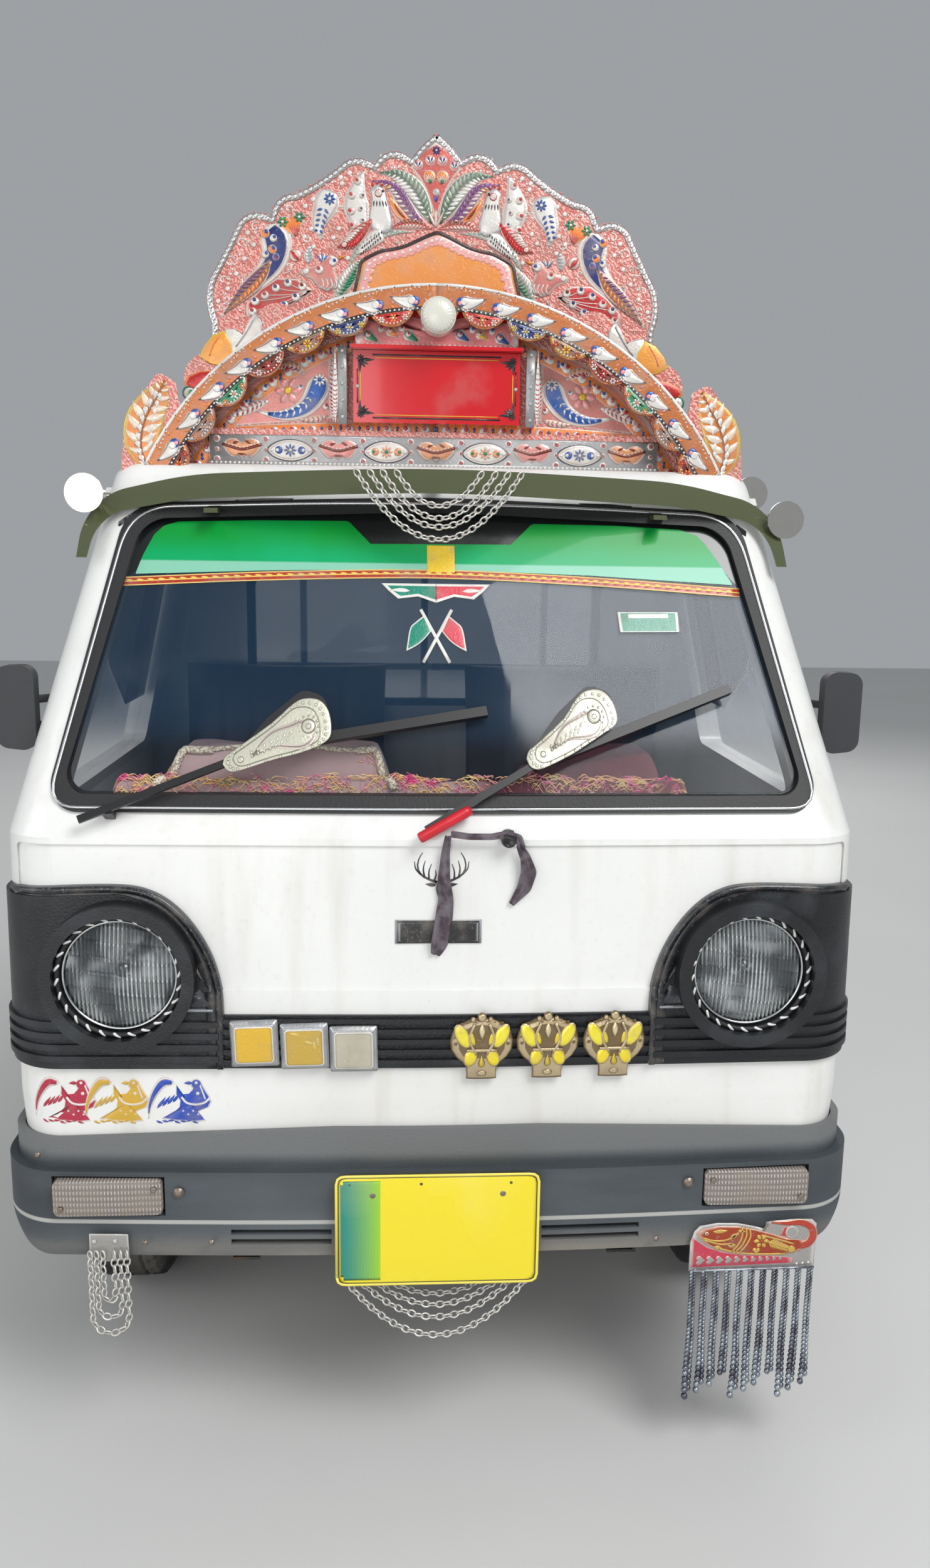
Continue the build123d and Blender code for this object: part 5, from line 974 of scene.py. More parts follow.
birds.lay("bird_decals", film, nose_front)

stag = Relief()
for side in (-1, 1):
    def horn(points):
        return curve_through([(3 + side * x, 965 + z) for x, z in points], 10)

    stag.strip(horn([(7, 38), (18, 42), (32, 50), (38, 62), (36, 76), (30, 86)]), np.linspace(2.6, 0.7, 10),
               BLACK,
               SILVER, 0.5, 0.1)
    for spike in ([(20, 43), (20, 56), (16, 68)], [(27, 46), (29, 60), (26, 73)],
                  [(33, 51), (41, 60), (43, 72)],
                  [(12, 40), (9, 50), (10, 58)]):
        stag.strip(horn(spike), np.linspace(1.9, 0.6, 10), BLACK, SILVER, 0.5, 0.1)
    stag.leaf(3 + side * 8, 965 + 34, 0.1 if side > 0 else pi - 0.1, 18, 8, BLACK, SILVER, 0.2 * side, 0.5, 0,
              6)
stag.dome([(-6, 1003), (3, 1006), (12, 1003), (13, 992), (9, 978), (7, 966), (3, 962), (-1, 966), (-3, 978),
           (-7, 992)],
          BLACK, SILVER, 0.6, 0.08, centre=(3, 985))
stag.lay("stag_decal", film, nose_front)

name_bar = Relief()
bar_edge = [(-71, 903), (68, 903), (68, 942), (-71, 942)]
name_bar.dome(bar_edge, (0.012, 0.012, 0.013), (0.33, 0.34, 0.35), 3.0, 0.02, 0, centre=(-1, 922))
name_bar.dome([(-66, 907), (63, 907), (63, 938), (-66, 938)], (0.012, 0.012, 0.013), (0.30, 0.31, 0.32), 0.5,
              0.02, 2.6,
              centre=(-1, 922))
name_bar.lay("name_bar", film, nose_front)

# Plates on the bumper. The number plate is pressed from sheet with a raised rim and painted, with a
# strip that fades from green at its left end; it is blank. A fish cut from tin, painted red and gilt, hangs
# at the right over a band of hearts, and a bare scrap of tin at the left carries chain loops.
PLATE_YELLOW = (0.86, 0.70, 0.015)
plates = Relief()
foot_edge = mirrored([(-1, -0.86), (-0.985, -0.95), (-0.95, -0.99), (-0.9, -1)])
number_edge = [(x * 164.5, 438 + z * 97) for x, z in foot_edge + [(x, -z) for x, z in foot_edge[::-1]]]
plates.dome(number_edge, PLATE_YELLOW, PLATE_YELLOW, 1.6, 0.012, 0.4, centre=(0, 438))
loop = np.array([(x * 0.978, 438 + (z - 438) * 0.962) for x, z in number_edge])
plates.strip(np.vstack([loop, loop[:1]]), 1.4, (0.05, 0.045, 0.02), None, 0.25, 0.1, 1.85)
loop = np.array([(x * 0.992, 438 + (z - 438) * 0.985) for x, z in number_edge])
plates.strip(np.vstack([loop, loop[:1]]), 2.2, (0.88, 0.74, 0.10), None, 0.75, 0.3, 1.9)
strip_count = 14
for index in range(strip_count):
    share = index / (strip_count - 1)
    first = -157.0 + index * 4.6
    paint = tuple(a + (b - a) * share ** 1.4 for a, b in zip((0.012, 0.24, 0.20), (0.30, 0.60, 0.03)))
    low, high = (349.5, 526.5) if index else (356, 520)
    plates.dome([(first, low), (first + 4.7, low), (first + 4.7, high), (first, high)], paint, paint, 0.25,
                0.01, 1.85,
                centre=(first + 2.3, 438))
for x in (-142.0, -27.0, 118.0):
    plates.disc(x, 519, 2.6, (0.03, 0.03, 0.03), None, 0.2, 8, 1.9)

TIN = (0.36, 0.345, 0.33)
GOLD = (0.62, 0.40, 0.09)
FISH_RED = (0.36, 0.045, 0.010)
HEART_PINK = (0.58, 0.045, 0.085)
fish = Relief()
fish.dome([(421, 342), (498, 343), (634, 346.5), (634, 425), (626, 433), (600, 434), (560, 431), (548, 429.5),
           (560, 424),
           (553, 414), (528, 422), (500, 428), (465, 429), (436, 424), (427, 414), (421, 395)], TIN,
          (0.62, 0.60, 0.58), 1.2, 0.03, 0.0, centre=(530, 385))
fish.dome([(424, 349), (600, 354), (597, 364), (560, 368), (515, 370), (475, 377), (447, 387), (424, 404)],
          HEART_PINK,
          (0.66, 0.40, 0.38), 0.7, 0.03, 0.9, centre=(470, 362))
for step in range(11):
    size = 17.5 - step * 1.05
    fish.heart(439 + step * 17.0 - step ** 2 * 0.34, 364.5 - size * 0.16, size, 1.57, TIN, (0.66, 0.42, 0.40),
               1.5)
fish.dome([(430, 410), (440, 419), (465, 424), (500, 423), (530, 417), (560, 408), (590, 398), (614, 396),
           (622, 384),
           (606, 374), (580, 369.5), (545, 369), (505, 372), (470, 380), (446, 391), (436, 402)], FISH_RED,
          (0.62, 0.34, 0.24), 2.0, 0.06, 0.8, centre=(520, 396))
fish.strip(curve_through([(596, 386), (618, 388), (628, 402), (624, 419), (606, 428), (582, 427), (556, 429)],
                         18),
           np.interp(np.linspace(0, 1, 18), [0, 0.3, 0.7, 1], [7, 8, 6, 1.5]), (0.48, 0.05, 0.03),
           (0.62, 0.44, 0.30), 1.4,
           0.14, 1.2)
fish.dome([(572, 404), (590, 401), (603, 410), (597, 421), (578, 420)], (0.55, 0.03, 0.04),
          (0.60, 0.30, 0.22), 0.7, 0.1,
          1.2)
fish.disc(592, 411, 11, TIN, (0.60, 0.58, 0.55), 0.5, 14, 1.8)
fish.disc(448, 411.5, 3.2, (0.72, 0.62, 0.48), None, 0.7, 10, 2.6)
fish.disc(448, 411.5, 1.5, BLACK, None, 0.5, 8, 3.1)
for line in ([(441, 404), (462, 398), (484, 400), (502, 412)], [(444, 400), (470, 392), (492, 392)],
             [(498, 377), (509, 390), (515, 406), (514, 421)],
             [(505, 376), (516, 390), (522, 405), (520, 419)],
             [(492, 378), (503, 392), (508, 408), (507, 422)],
             [(470, 384), (505, 375), (545, 372), (584, 372)],
             [(540, 407), (568, 399), (596, 390)]):
    fish.strip(curve_through(line, 10), 1.5, GOLD, None, 0.8, 0.1, 2.7)
for x, z, angle, length, width in ((458, 415, 0.1, 26, 7), (488, 403, 0.6, 16, 8), (462, 388, -0.3, 16, 8),
                                   (484, 390, 0.0, 15, 9), (500, 416, -0.1, 14, 6)):
    fish.leaf(x, z, angle, length, width, GOLD, None, 0.3, 0.8, 2.7, 6)
fish.heart(533, 379, 13, 0.0, GOLD, None, 2.7)
fish.flower(541, 396, 13.5, 6, GOLD, (0.42, 0.06, 0.01), None, 2.8)
fish.strip(np.linspace((552, 395), (588, 381), 5), 1.6, GOLD, None, 0.8, 0.1, 2.7)
for step in range(9):
    x, z = 555 + step * 3.6, 394 - step * 1.5
    for side in (1, -1):
        fish.leaf(x, z, -0.38 + side * 0.85, 12.5 - step * 0.6, 3.6, GOLD, None, 0.1, 0.7, 2.7, 4)
fish.disc(593, 380, 6.5, GOLD, None, 0.9, 12, 2.7)
for x, z in ((604, 352), (614, 353), (624, 354)):
    fish.disc(x, z, 2.4, (0.72, 0.70, 0.68), None, 0.8, 8, 1.0)
scrap = Relief()
scrap.dome([(-562, 379), (-498, 382), (-499, 428), (-561, 430)], (0.34, 0.33, 0.31), (0.55, 0.54, 0.52), 1.4,
           0.04)
scrap.disc(-520, 417, 4.2, (0.60, 0.58, 0.55), (0.30, 0.29, 0.27), 1.6, 10, 1.2)
scrap.disc(-553, 417, 4.2, (0.60, 0.58, 0.55), (0.30, 0.29, 0.27), 1.6, 10, 1.2)
plate_gloss = Finish("plate_enamel", PLATE_YELLOW, 0.25, Coat_Weight=0.4)
painted = plate_gloss.node("ShaderNodeAttribute", {"attribute_name": "paint"}, {}, "Color")
haze = plate_gloss.noise(0.16, 3.0)
plate_gloss.feed("Base Color", plate_gloss.mix(painted, (0.90, 0.80, 0.30), haze.clear(0.45, 0.8) * 0.25))
plate_gloss.feed("Roughness", 0.2 + haze * 0.15)
number_plate = plates.make("number_plate", 2.9, plate_gloss)
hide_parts("front_plates")
tin_paint = foil_finish("painted_tin", 0.35, 0.32)
fish_plate = fish.make("fish_plate", 20.0, tin_paint)
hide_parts("front_plates")
chain_plate = scrap.make("chain_plate", 21.8, tin_paint)
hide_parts("front_plates")

# Bolts and screws of the bumper and plates: pressed heads on washers, dull with dust.
bolts = []
for x, z, y, size in ((-105, 500, -1.6200, 8), (105, 500, -1.6200, 8), (-417, 497, -1.5978, 9),
                      (415, 500, -1.5978, 9),
                      (-364, 417, -1.6118, 5), (361, 408, -1.6118, 5), (-470, 418, -1.611, 4.5),
                      (-640, 560, -1.585, 5)):
    bolts.append(turned([(0.0001, y + 0.004), (size * 0.001, y + 0.004), (size * 0.001, y + 0.0022),
                         (size * 0.00062, y + 0.0018), (size * 0.00060, y + 0.0006),
                         (size * 0.00045, y + 0.0001),
                         (0.0001, y + 0.0001)], (x / 1000, z / 1000), 12))
dressed("bumper_bolts", bolts, screw_steel)

# Chains. Small oval wire links, each turned a quarter from the last, hang in swags under the plate and on
# the visor, and in loops from the scrap of tin.
LINK_WIRE = 0.00155
LINK_HALF = 0.0078
LINK_SIDE = 0.0052


def links_along(path, pitch=0.0112):
    """Oval links at even distances along a path, alternate ones turned a quarter about their length."""
    path = np.asarray(path, float)
    steps = np.linalg.norm(np.diff(path, axis=0), axis=1)
    reach = np.concatenate([[0], np.cumsum(steps)])
    count = max(int(reach[-1] / pitch), 2)
    places = np.linspace(0, reach[-1], count)
    centres = np.stack([np.interp(places, reach, path[:, k]) for k in range(3)], 1)
    along = np.gradient(centres, axis=0)
    along /= np.linalg.norm(along, axis=1, keepdims=True)
    out = np.cross(along, np.cross([0.0, -1.0, 0.0], along))
    out /= np.linalg.norm(out, axis=1, keepdims=True)
    across = np.cross(out, along)
    swap = (np.arange(count) % 2 == 0)[:, None]
    first = np.where(swap, across * 0.85 + out * 0.53, out * 0.85 - across * 0.53)
    turn = np.linspace(0, 2 * pi, 12, endpoint=False)
    loop = np.stack([LINK_HALF * np.cos(turn), LINK_SIDE * np.sin(turn) * (1 - 0.25 * np.cos(turn) ** 2),
                     np.zeros(12)], 1)
    wire, faces = tube(loop, LINK_WIRE, 5, closed=True)
    axes = np.stack([along, first, np.cross(along, first)], 1)
    points = np.einsum("nj,kji->kni", wire, axes) + centres[:, None]
    shift = np.arange(count)[:, None, None] * len(wire)
    return points.reshape(-1, 3), (faces[None] + shift).reshape(-1, 4)


def swag_path(half, top, drop, depth, count=40):
    """Parabola in metres between two points on one level."""
    x = np.linspace(-half, half, count)
    return np.stack([x, np.full(count, FRONT_MM + depth), top - drop * (1 - (x / half) ** 2)], 1) / 1000


plate_chains = [links_along(swag_path(half, 342, drop, 7.5 + index * 7)) for index, (half, drop) in
                enumerate(((146.0, 98.0), (127.0, 70.0), (110.0, 52.0), (94.0, 36.0)))]
for half, z_low in ((29.0, 256.0), (19.0, 285.0), (9.0, 315.0)):
    turn = np.linspace(-90, 90, 14)
    bottom = np.stack([-530 + half * np.sin(np.radians(turn)), np.full(14, FRONT_MM + 15.0),
                       z_low + half - half * np.cos(np.radians(turn))], 1)
    top = [[-530 - half, FRONT_MM + 15.0, 396]], [[-530 + half, FRONT_MM + 15.0, 396]]
    plate_chains.append(links_along(np.concatenate([top[0], bottom, top[1]]) / 1000, 0.0118))
rail = np.array([(-0.150, FRONT_Y + 0.018, 0.344), (0.150, FRONT_Y + 0.018, 0.344)])
plate_chains.append(tube(np.linspace(rail[0], rail[1], 8), 0.0028, 6))
chain_wire = Finish("chain_wire", (0.66, 0.64, 0.60), 0.3, 0.6)
chain_wire.feed("Roughness", 0.24 + chain_wire.noise(0.012) * 0.25)
plate_chain = dressed("plate_chains", plate_chains, chain_wire)
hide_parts("hanging_chains")
visor_chains = [links_along(swag_path(half, 1641, drop, 254), 0.0112) for half, drop in (
    (134.0, 104.0), (112.0, 84.0), (91.0, 70.0), (68.0, 50.0))]
visor_chain = dressed("visor_chains", visor_chains, chain_wire)
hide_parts("hanging_chains")

# Bead strings under the fish: grey metal balls on wire in eleven doubled strings, small at the top and
# larger towards the bottom.
bead_ball = np.array([(0.06, -1.0), (0.62, -0.78), (0.97, -0.26), (0.97, 0.26), (0.62, 0.78), (0.06, 1.0)])
turn = np.linspace(0, 2 * pi, 8, endpoint=False)
ball = np.stack([bead_ball[:, :1] * np.cos(turn), bead_ball[:, :1] * np.sin(turn),
                 np.broadcast_to(bead_ball[:, 1:], (6, 8))], -1).reshape(-1, 3)
ball_faces = grid_faces(6, 8, close_columns=True)[:, ::-1]
places, sizes = [], []
for index in range(11):
    for strand, (shift, back) in enumerate(((-4.2, 13.5), (3.6, 19.5))):
        z = 344.0
        low = 110 + 12 * ((index * 5) % 4) + 8 * strand
        while z > low:
            radius = 3.1 + 0.6 * max(0.0, 300 - z) / 60 + 1.0 * max(0.0, 200 - z) / 90
            drift = 1.6 * sin(z * 0.03 + index * 2.1 + strand) * (344 - z) / 236
            places.append((428 + index * 19.9 + shift + drift, FRONT_MM + back, z))
            sizes.append(radius)
            z -= radius * 2.02
places, sizes = np.array(places), np.array(sizes)
beads = (ball[None] * sizes[:, None, None] + places[:, None]).reshape(-1, 3) / 1000
bead_faces = (ball_faces[None] + (np.arange(len(sizes)) * len(ball))[:, None, None]).reshape(-1, 4)
bead_metal = Finish("bead_metal", (0.13, 0.14, 0.16), 0.25, 0.7)
bead_tone = bead_metal.noise(0.03, 2.0)
bead_metal.feed("Base Color", bead_metal.mix((0.10, 0.10, 0.13), (0.34, 0.38, 0.42),
                                             bead_tone.clear(0.35, 0.65)))
bead_metal.feed("Roughness", 0.20 + bead_tone * 0.2)
carrier = tube(np.linspace((0.423, FRONT_Y + 0.0150, 0.345), (0.632, FRONT_Y + 0.0150, 0.348), 8), 0.0022, 6)
bead_strings = dressed("bead_strings", [(beads, bead_faces), carrier], bead_metal)
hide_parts("hanging_chains")

# Windscreen. A black rubber seal with a bright filler strip, a green sun strip on the glass, a printed border
# under it, and a few blank stickers. The film is 0.2 mm thick. Black film above the green strip and in its
# middle notch is painted shade of the visor and the seal.
SCREEN_FOOT_Z = 1.072
SCREEN_LEAN = 0.5321


def rounded_line(corners, rows=6):
    """Closed line through corners (x, z, radius), each corner rounded by a quadratic Bezier."""
    corners = np.asarray(corners, float)
    before, after = np.roll(corners, 1, 0), np.roll(corners, -1, 0)
    t = np.linspace(0, 1, rows)[:, None]
    line = []
    for last, here, following in zip(before, corners, after):
        back = (last[:2] - here[:2]) / np.linalg.norm(last[:2] - here[:2])
        ahead = (following[:2] - here[:2]) / np.linalg.norm(following[:2] - here[:2])
        start, end = here[:2] + back * here[2], here[:2] + ahead * here[2]
        line.append((1 - t) ** 2 * start + 2 * t * (1 - t) * here[:2] + t ** 2 * end)
    return np.concatenate(line)


def before_screen(lift):
    """Depth y of the flat plane that the wipers lie in, lift metres in front of the glass."""
    def depth(x, z):
        return FRONT_Y + 0.059 + (z - SCREEN_FOOT_Z) * SCREEN_LEAN - lift + x * 0
    return depth


seal_front = front_of("window_seals")
glass_front = front_of("cab_glass")
filler = rounded_line([(-614, 1117, 45), (614, 1117, 45), (519, 1585, 70), (0, 1603, 300), (-519, 1585, 70)],
                      10)
steps = np.concatenate([filler, filler[:1]])
reach = np.concatenate([[0], np.cumsum(np.linalg.norm(np.diff(steps, axis=0), axis=1))])
even = np.linspace(0, reach[-1], 260, endpoint=False)
filler = np.stack([np.interp(even, reach, steps[:, k]) for k in range(2)], 1) / 1000
depth_at = seal_front(filler[:, 0], filler[:, 1])
depth_at = (depth_at + np.roll(depth_at, 1) + np.roll(depth_at, -1)) / 3
dressed("seal_filler", [tube(np.stack([filler[:, 0], depth_at - 0.0006, filler[:, 1]], 1), 0.0027, 8,
                             closed=True)],
        bright_ring)

print_film = foil_finish("print_film", 0.0, 0.25)
strip_film = Finish("sun_strip", (0.0, 0.28, 0.10), 0.3, Coat_Weight=0.15, Specular_IOR_Level=0.3)
_, _, z = strip_film.axes()
pale = strip_film.noise(0.16, 3.0)
tone = strip_film.mix((0.0, 0.27, 0.030), (0.0, 0.36, 0.13),
                      z.clear(1.545, 1.500) * 0.7 + pale.clear(0.35, 0.7) * 0.3)
strip_film.feed("Base Color", strip_film.mix(tone, (0.22, 0.52, 0.38), z.clear(1.4985, 1.4955)))
strip_film.feed("Roughness", 0.3 + pale * 0.12)


def filled_sheet(name, top, bottom, finish, rows, lift, columns=90):
    """Thin film between two lines given as (x, z) points in millimetres, over the glass."""
    x = np.linspace(max(top[0][0], bottom[0][0]), min(top[-1][0], bottom[-1][0]), columns)
    upper, lower = (np.interp(x, np.array(line)[:, 0], np.array(line)[:, 1]) for line in (top, bottom))
    share = np.linspace(0, 1, rows)[:, None]
    flat_z = (lower * (1 - share) + upper * share) / 1000
    flat_x = np.broadcast_to(x / 1000, flat_z.shape)
    face = glass_front(flat_x.ravel(), flat_z.ravel()).reshape(flat_z.shape) - lift
    front = np.stack([flat_x, face, flat_z], -1).reshape(-1, 3)
    back = front + (0, 0.0003, 0)
    quads = grid_faces(rows, columns)
    made = make_object(name, np.concatenate([front, back]), quads, quads[:, ::-1] + len(front))
    finish.put(made)
    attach(made, "truck")
    return made


filled_sheet("sun_strip", [(-506, 1476), (-497, 1504), (-480, 1540), (-464, 1555), (-440, 1562), (-307, 1566),
                           (-152, 1567), (-114, 1529), (126, 1531), (164, 1567), (314, 1566), (424, 1561),
                           (452, 1552),
                           (466, 1538), (490, 1502), (508, 1470)],
             [(-506, 1474), (-270, 1483), (-7, 1488), (257, 1481), (508, 1468)], strip_film, 10, 0.0008, 200)
# Black film from the green strip up to the seal and in the strip's middle notch: painted shade of the visor and
# the seal.
painted_shade_film = Finish("painted_shade_film", (0.006, 0.008, 0.008), 0.22, Coat_Weight=0.4)
painted_shade_film.feed("Roughness", 0.16 + painted_shade_film.noise(0.2) * 0.16)
filled_sheet("visor_shade_band", [(-540, 1560), (-500, 1588), (-300, 1603), (0, 1607), (300, 1603), (500, 1588),
                            (540, 1560)],
             [(-540, 1452), (-506, 1480), (-492, 1514), (-474, 1546), (-446, 1557), (-307, 1561),
              (-155, 1562),
              (-116, 1524), (128, 1526), (167, 1562), (314, 1561), (428, 1556), (462, 1540), (486, 1506),
              (508, 1474), (540, 1452)], painted_shade_film, 8, 0.0004, 220)

stickers = Relief()
line = curve_through([(-534, 1461), (-270, 1474), (-7, 1480), (257, 1471), (520, 1455)], 60)
stickers.strip(line, 7.5, (0.40, 0.025, 0.012), (0.76, 0.56, 0.16), 0.3, 0.2)
stickers.strip(line, 1.0, (0.78, 0.56, 0.10), None, 0.3, 0.1, 0.3)
for index in range(1, 59):
    x, z = line[index]
    stickers.leaf(x - 6, z + 2.6, 0.0, 12, 3.4, (0.78, 0.55, 0.10), None, 0.3, 0.25, 0.3, 4)
    stickers.leaf(x - 6, z - 2.6, 0.0, 12, 3.0, (0.34, 0.04, 0.01), None, -0.3, 0.25, 0.3, 4)
stickers.dome([(-18, 1528), (29, 1528), (29, 1483), (-18, 1483)], (0.74, 0.50, 0.015), None, 0.3, 0.02, 0.5)
for side, paint in ((-1, (0.0, 0.22, 0.14)), (1, (0.62, 0.03, 0.06))):
    wing = [(-3, 1464), (-3 + side * 92, 1464), (-3 + side * 80, 1452), (-3 + side * 64, 1439),
            (-3 + side * 30, 1443),
            (-3, 1433)]
    stickers.dome(wing, WHITE, WHITE, 0.3, 0.02, 0.0, centre=(-3 + side * 40, 1453))
    wing = [(-3, 1460), (-3 + side * 82, 1460.5), (-3 + side * 73, 1452), (-3 + side * 60, 1443.5),
            (-3 + side * 30, 1447.5), (-3, 1438)]
    stickers.dome(wing, paint, paint, 0.3, 0.02, 0.4, centre=(-3 + side * 38, 1453))
    stickers.leaf(-3 + side * 44, 1452, 0.0 if side > 0 else pi, 34, 7, WHITE, None, -0.2 * side, 0.3, 0.7, 5)
    staff = np.linspace((-3 - side * 22, 1337), (-3 + side * 26, 1422), 6)
    stickers.strip(staff, 2.6, WHITE, None, 0.4, 0.1, 0.2)
    flag = curve_through([(-3 + side * 20, 1413), (-3 + side * 34, 1402), (-3 + side * 44, 1391),
                          (-3 + side * 50, 1357)], 12)
    inner = curve_through([(-3 + side * 8, 1388), (-3 + side * 22, 1372), (-3 + side * 36, 1362),
                           (-3 + side * 50, 1355)], 12)
    stickers.dome(np.vstack([flag, inner[::-1]]), paint, WHITE, 0.4, 0.10, 0.3, centre=(-3 + side * 28, 1385))
stickers.dome([(304, 1421), (409, 1422), (410, 1389), (307, 1388)], (0.0, 0.20, 0.12), WHITE, 0.3, 0.06, 0.0)
stickers.dome([(322, 1418), (392, 1419), (393, 1412), (322, 1411)], WHITE, WHITE, 0.3, 0.02, 0.3)
stickers.lay("screen_stickers", print_film, glass_front, 0.0012)

# Wiper ornaments: thin pressed metal paddles, embossed with a teardrop of scrolls inside a row of studs,
# clipped over the arms. A red sleeve, the cap of the unused spindle and a torn ribbon tied to them.
embossed = foil_finish("pressed_tin", 0.35, 0.30)
TIN_PALE = (0.62, 0.61, 0.50)
TIN_DARK = (0.22, 0.215, 0.17)
paddles = Relief()
for outline_points, head, tail in (
        ([(-340, 1186), (-336, 1197), (-318, 1210), (-267, 1246), (-234, 1275), (-215, 1284), (-192, 1282),
          (-178, 1268),
          (-172, 1245), (-174, 1226), (-190, 1214), (-220, 1203), (-264, 1192), (-316, 1176), (-332, 1177)],
         (-208, 1243), (-312, 1193)),
        ([(137, 1196), (142, 1208), (160, 1222), (199, 1256), (220, 1285), (238, 1299), (262, 1300),
          (279, 1285),
          (287, 1262), (283, 1247), (262, 1233), (234, 1216), (208, 1201), (162, 1181), (144, 1183)],
         (248, 1260), (164, 1203))):
    edge = np.array(outline_points, float)
    dense = curve_through(np.vstack([edge, edge[:1]]), 60)[:-1]
    middle = (np.array(head) + tail) / 2
    paddles.dome(dense, TIN_PALE, TIN_PALE, 1.4, 0.04, 0.0, centre=middle)
    inward = middle + (dense - middle) * 0.90
    for index in range(0, len(inward), 2):
        paddles.disc(*inward[index], 2.5, TIN_PALE, TIN_DARK, 1.6, 8, 1.2)
    inward = middle + (dense - middle) * 0.80
    paddles.strip(np.vstack([inward, inward[:1]]), 0.9, TIN_DARK, None, 0.5, 0.1, 1.3)
    away = np.array(tail) - head
    drop = [head + away * share + np.array([away[1], -away[0]]) * bend for share, bend in (
        (-0.05, 0.0), (0.15, -0.05), (0.5, 0.04), (0.85, -0.03))]
    paddles.paisley(drop, 23, TIN_PALE, TIN_DARK, None, 1.3, 0.34)
    paddles.disc(*head, 11.5, TIN_PALE, TIN_DARK, 1.6, 14, 3.2)
    paddles.disc(*head, 4.6, TIN_PALE, TIN_DARK, 1.2, 10, 4.6)
    for step in range(12):
        angle = step * pi / 6
        paddles.disc(head[0] + 16.5 * cos(angle), head[1] + 16.5 * sin(angle), 1.8, TIN_PALE, TIN_DARK, 1.0,
                     6, 3.0)
    for step in range(7):
        spot = head + away * (0.30 + 0.09 * step)
        paddles.leaf(*spot, 1.1 + step * 0.12, 12 - step, 4.2, TIN_PALE, TIN_DARK, 0.6, 1.0, 3.0, 5)
        paddles.leaf(*spot, -2.0 + step * 0.12, 11 - step, 3.8, TIN_PALE, TIN_DARK, -0.6, 1.0, 3.0, 5)
    paddles.disc(*tail, 5.0, TIN_PALE, TIN_DARK, 1.4, 10, 1.6)
paddles.lay("wiper_ornaments", embossed, before_screen(0.0274))

ahead = before_screen(0.024)
sleeve_line = np.array([(-0.033, 0, 1.0795), (-0.025, 0, 1.0835), (0.0, 0, 1.0962), (0.025, 0, 1.1090),
                        (0.047, 0, 1.1205)])
sleeve_line[:, 1] = ahead(sleeve_line[:, 0], sleeve_line[:, 2])
red_sleeve = Finish("red_sleeve", (0.62, 0.02, 0.03), 0.35)
red_sleeve.patches((0.66, 0.02, 0.035), (0.42, 0.012, 0.02), 0.03)
red_sleeve.grain(0.02, 2.0, 0.0012)
points, faces = tube(np.stack([np.interp(np.linspace(0, 4, 14), range(5),
                                         sleeve_line[:, k]) for k in range(3)], 1),
                     np.concatenate([[0.0075], np.full(12, 0.0088), [0.0075]]), 12)
dressed("wiper_sleeve", [(points, faces)], red_sleeve)
knob_at = (0.107, 1.076)
knob_y = float(ahead(np.array([0.107]), np.array([1.076]))[0])
knob = turned([(0.0001, knob_y + 0.030), (0.0125, knob_y + 0.030), (0.0125, knob_y + 0.006),
               (0.0115, knob_y + 0.001),
               (0.0095, knob_y - 0.0012), (0.0085, knob_y - 0.0002), (0.0001, knob_y + 0.0004)], knob_at, 28)
dressed("spindle_cap", [knob], wheel_rim)


def thin_sheet(name, face, thickness, finish, body="truck"):
    """Closed thin sheet: a lattice of points (rows, columns, 3) in metres and its copy, thickness below it
    along its normals, joined by a rim."""
    rows, columns = face.shape[:2]
    normal = np.cross(np.gradient(face, axis=1), np.gradient(face, axis=0))
    normal /= np.linalg.norm(normal, axis=-1, keepdims=True)
    quads = grid_faces(rows, columns)
    n = rows * columns
    edge = np.concatenate([np.arange(columns), columns - 1 + columns * np.arange(1, rows),
                           n - 2 - np.arange(columns - 1), columns * np.arange(rows - 2, 0, -1)])
    ahead_edge = np.roll(edge, -1)
    rim = np.stack([edge, edge + n, ahead_edge + n, ahead_edge], 1)
    made = make_object(name, np.concatenate([face, face - normal * thickness]).reshape(-1, 3),
                       quads[:, ::-1], quads + n, rim[:, ::-1])
    finish.put(made)
    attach(made, body)
    return made


def ribbon(name, line, widths, turn, finish):
    """Torn strip of thin cloth along a line of points in metres, 0.4 mm thick, crinkled across by a ninth
    of its width. Its cut is the mean of the widths given by the length of its middle line."""
    line = np.array(line, float)
    t = np.linspace(0, len(line) - 1, 46)
    path = np.stack([np.interp(t, range(len(line)), line[:, k]) for k in range(3)], 1)
    path[1:-1] = (path[:-2] + path[1:-1] * 2 + path[2:]) / 4
    width = np.interp(t, range(len(line)), widths)
    angle = np.interp(t, range(len(line)), turn)
    run = np.gradient(path, axis=0)
    run /= np.linalg.norm(run, axis=1, keepdims=True)
    side = np.cross(run, [0.0, -1.0, 0.0])
    side /= np.linalg.norm(side, axis=1, keepdims=True)
    out = np.cross(side, run)
    across = np.linspace(-1, 1, 9)
    ripple = np.sin(across[None] * 5.5 + t[:, None] * 0.9)
    fold = width[:, None] / 9 * ripple * (1 - 0.2 * np.abs(across[None]))
    way = np.cos(angle)[:, None, None] * side[:, None] + np.sin(angle)[:, None, None] * out[:, None]
    lift = np.cos(angle)[:, None, None] * out[:, None] - np.sin(angle)[:, None, None] * side[:, None]
    face = path[:, None] + way * (across[None, :, None] * width[:, None, None] / 2) + lift * fold[..., None]
    made = thin_sheet(name, face, 0.0004, finish)
    return made


ribbon_cloth = Finish("ribbon_cloth", (0.22, 0.17, 0.20), 0.8)
ribbon_cloth.patches((0.14, 0.10, 0.125), (0.34, 0.29, 0.33), 0.02, 4.0, (0.35, 0.65))
ribbon_cloth.bump(ribbon_cloth.waves("BANDS", "X", 900.0, 1.0) + ribbon_cloth.noise(0.006) * 2.0, 0.0006)


def on_nose(x, z, lift):
    return float(nose_front(np.array([x]), np.array([z]))[0]) - lift


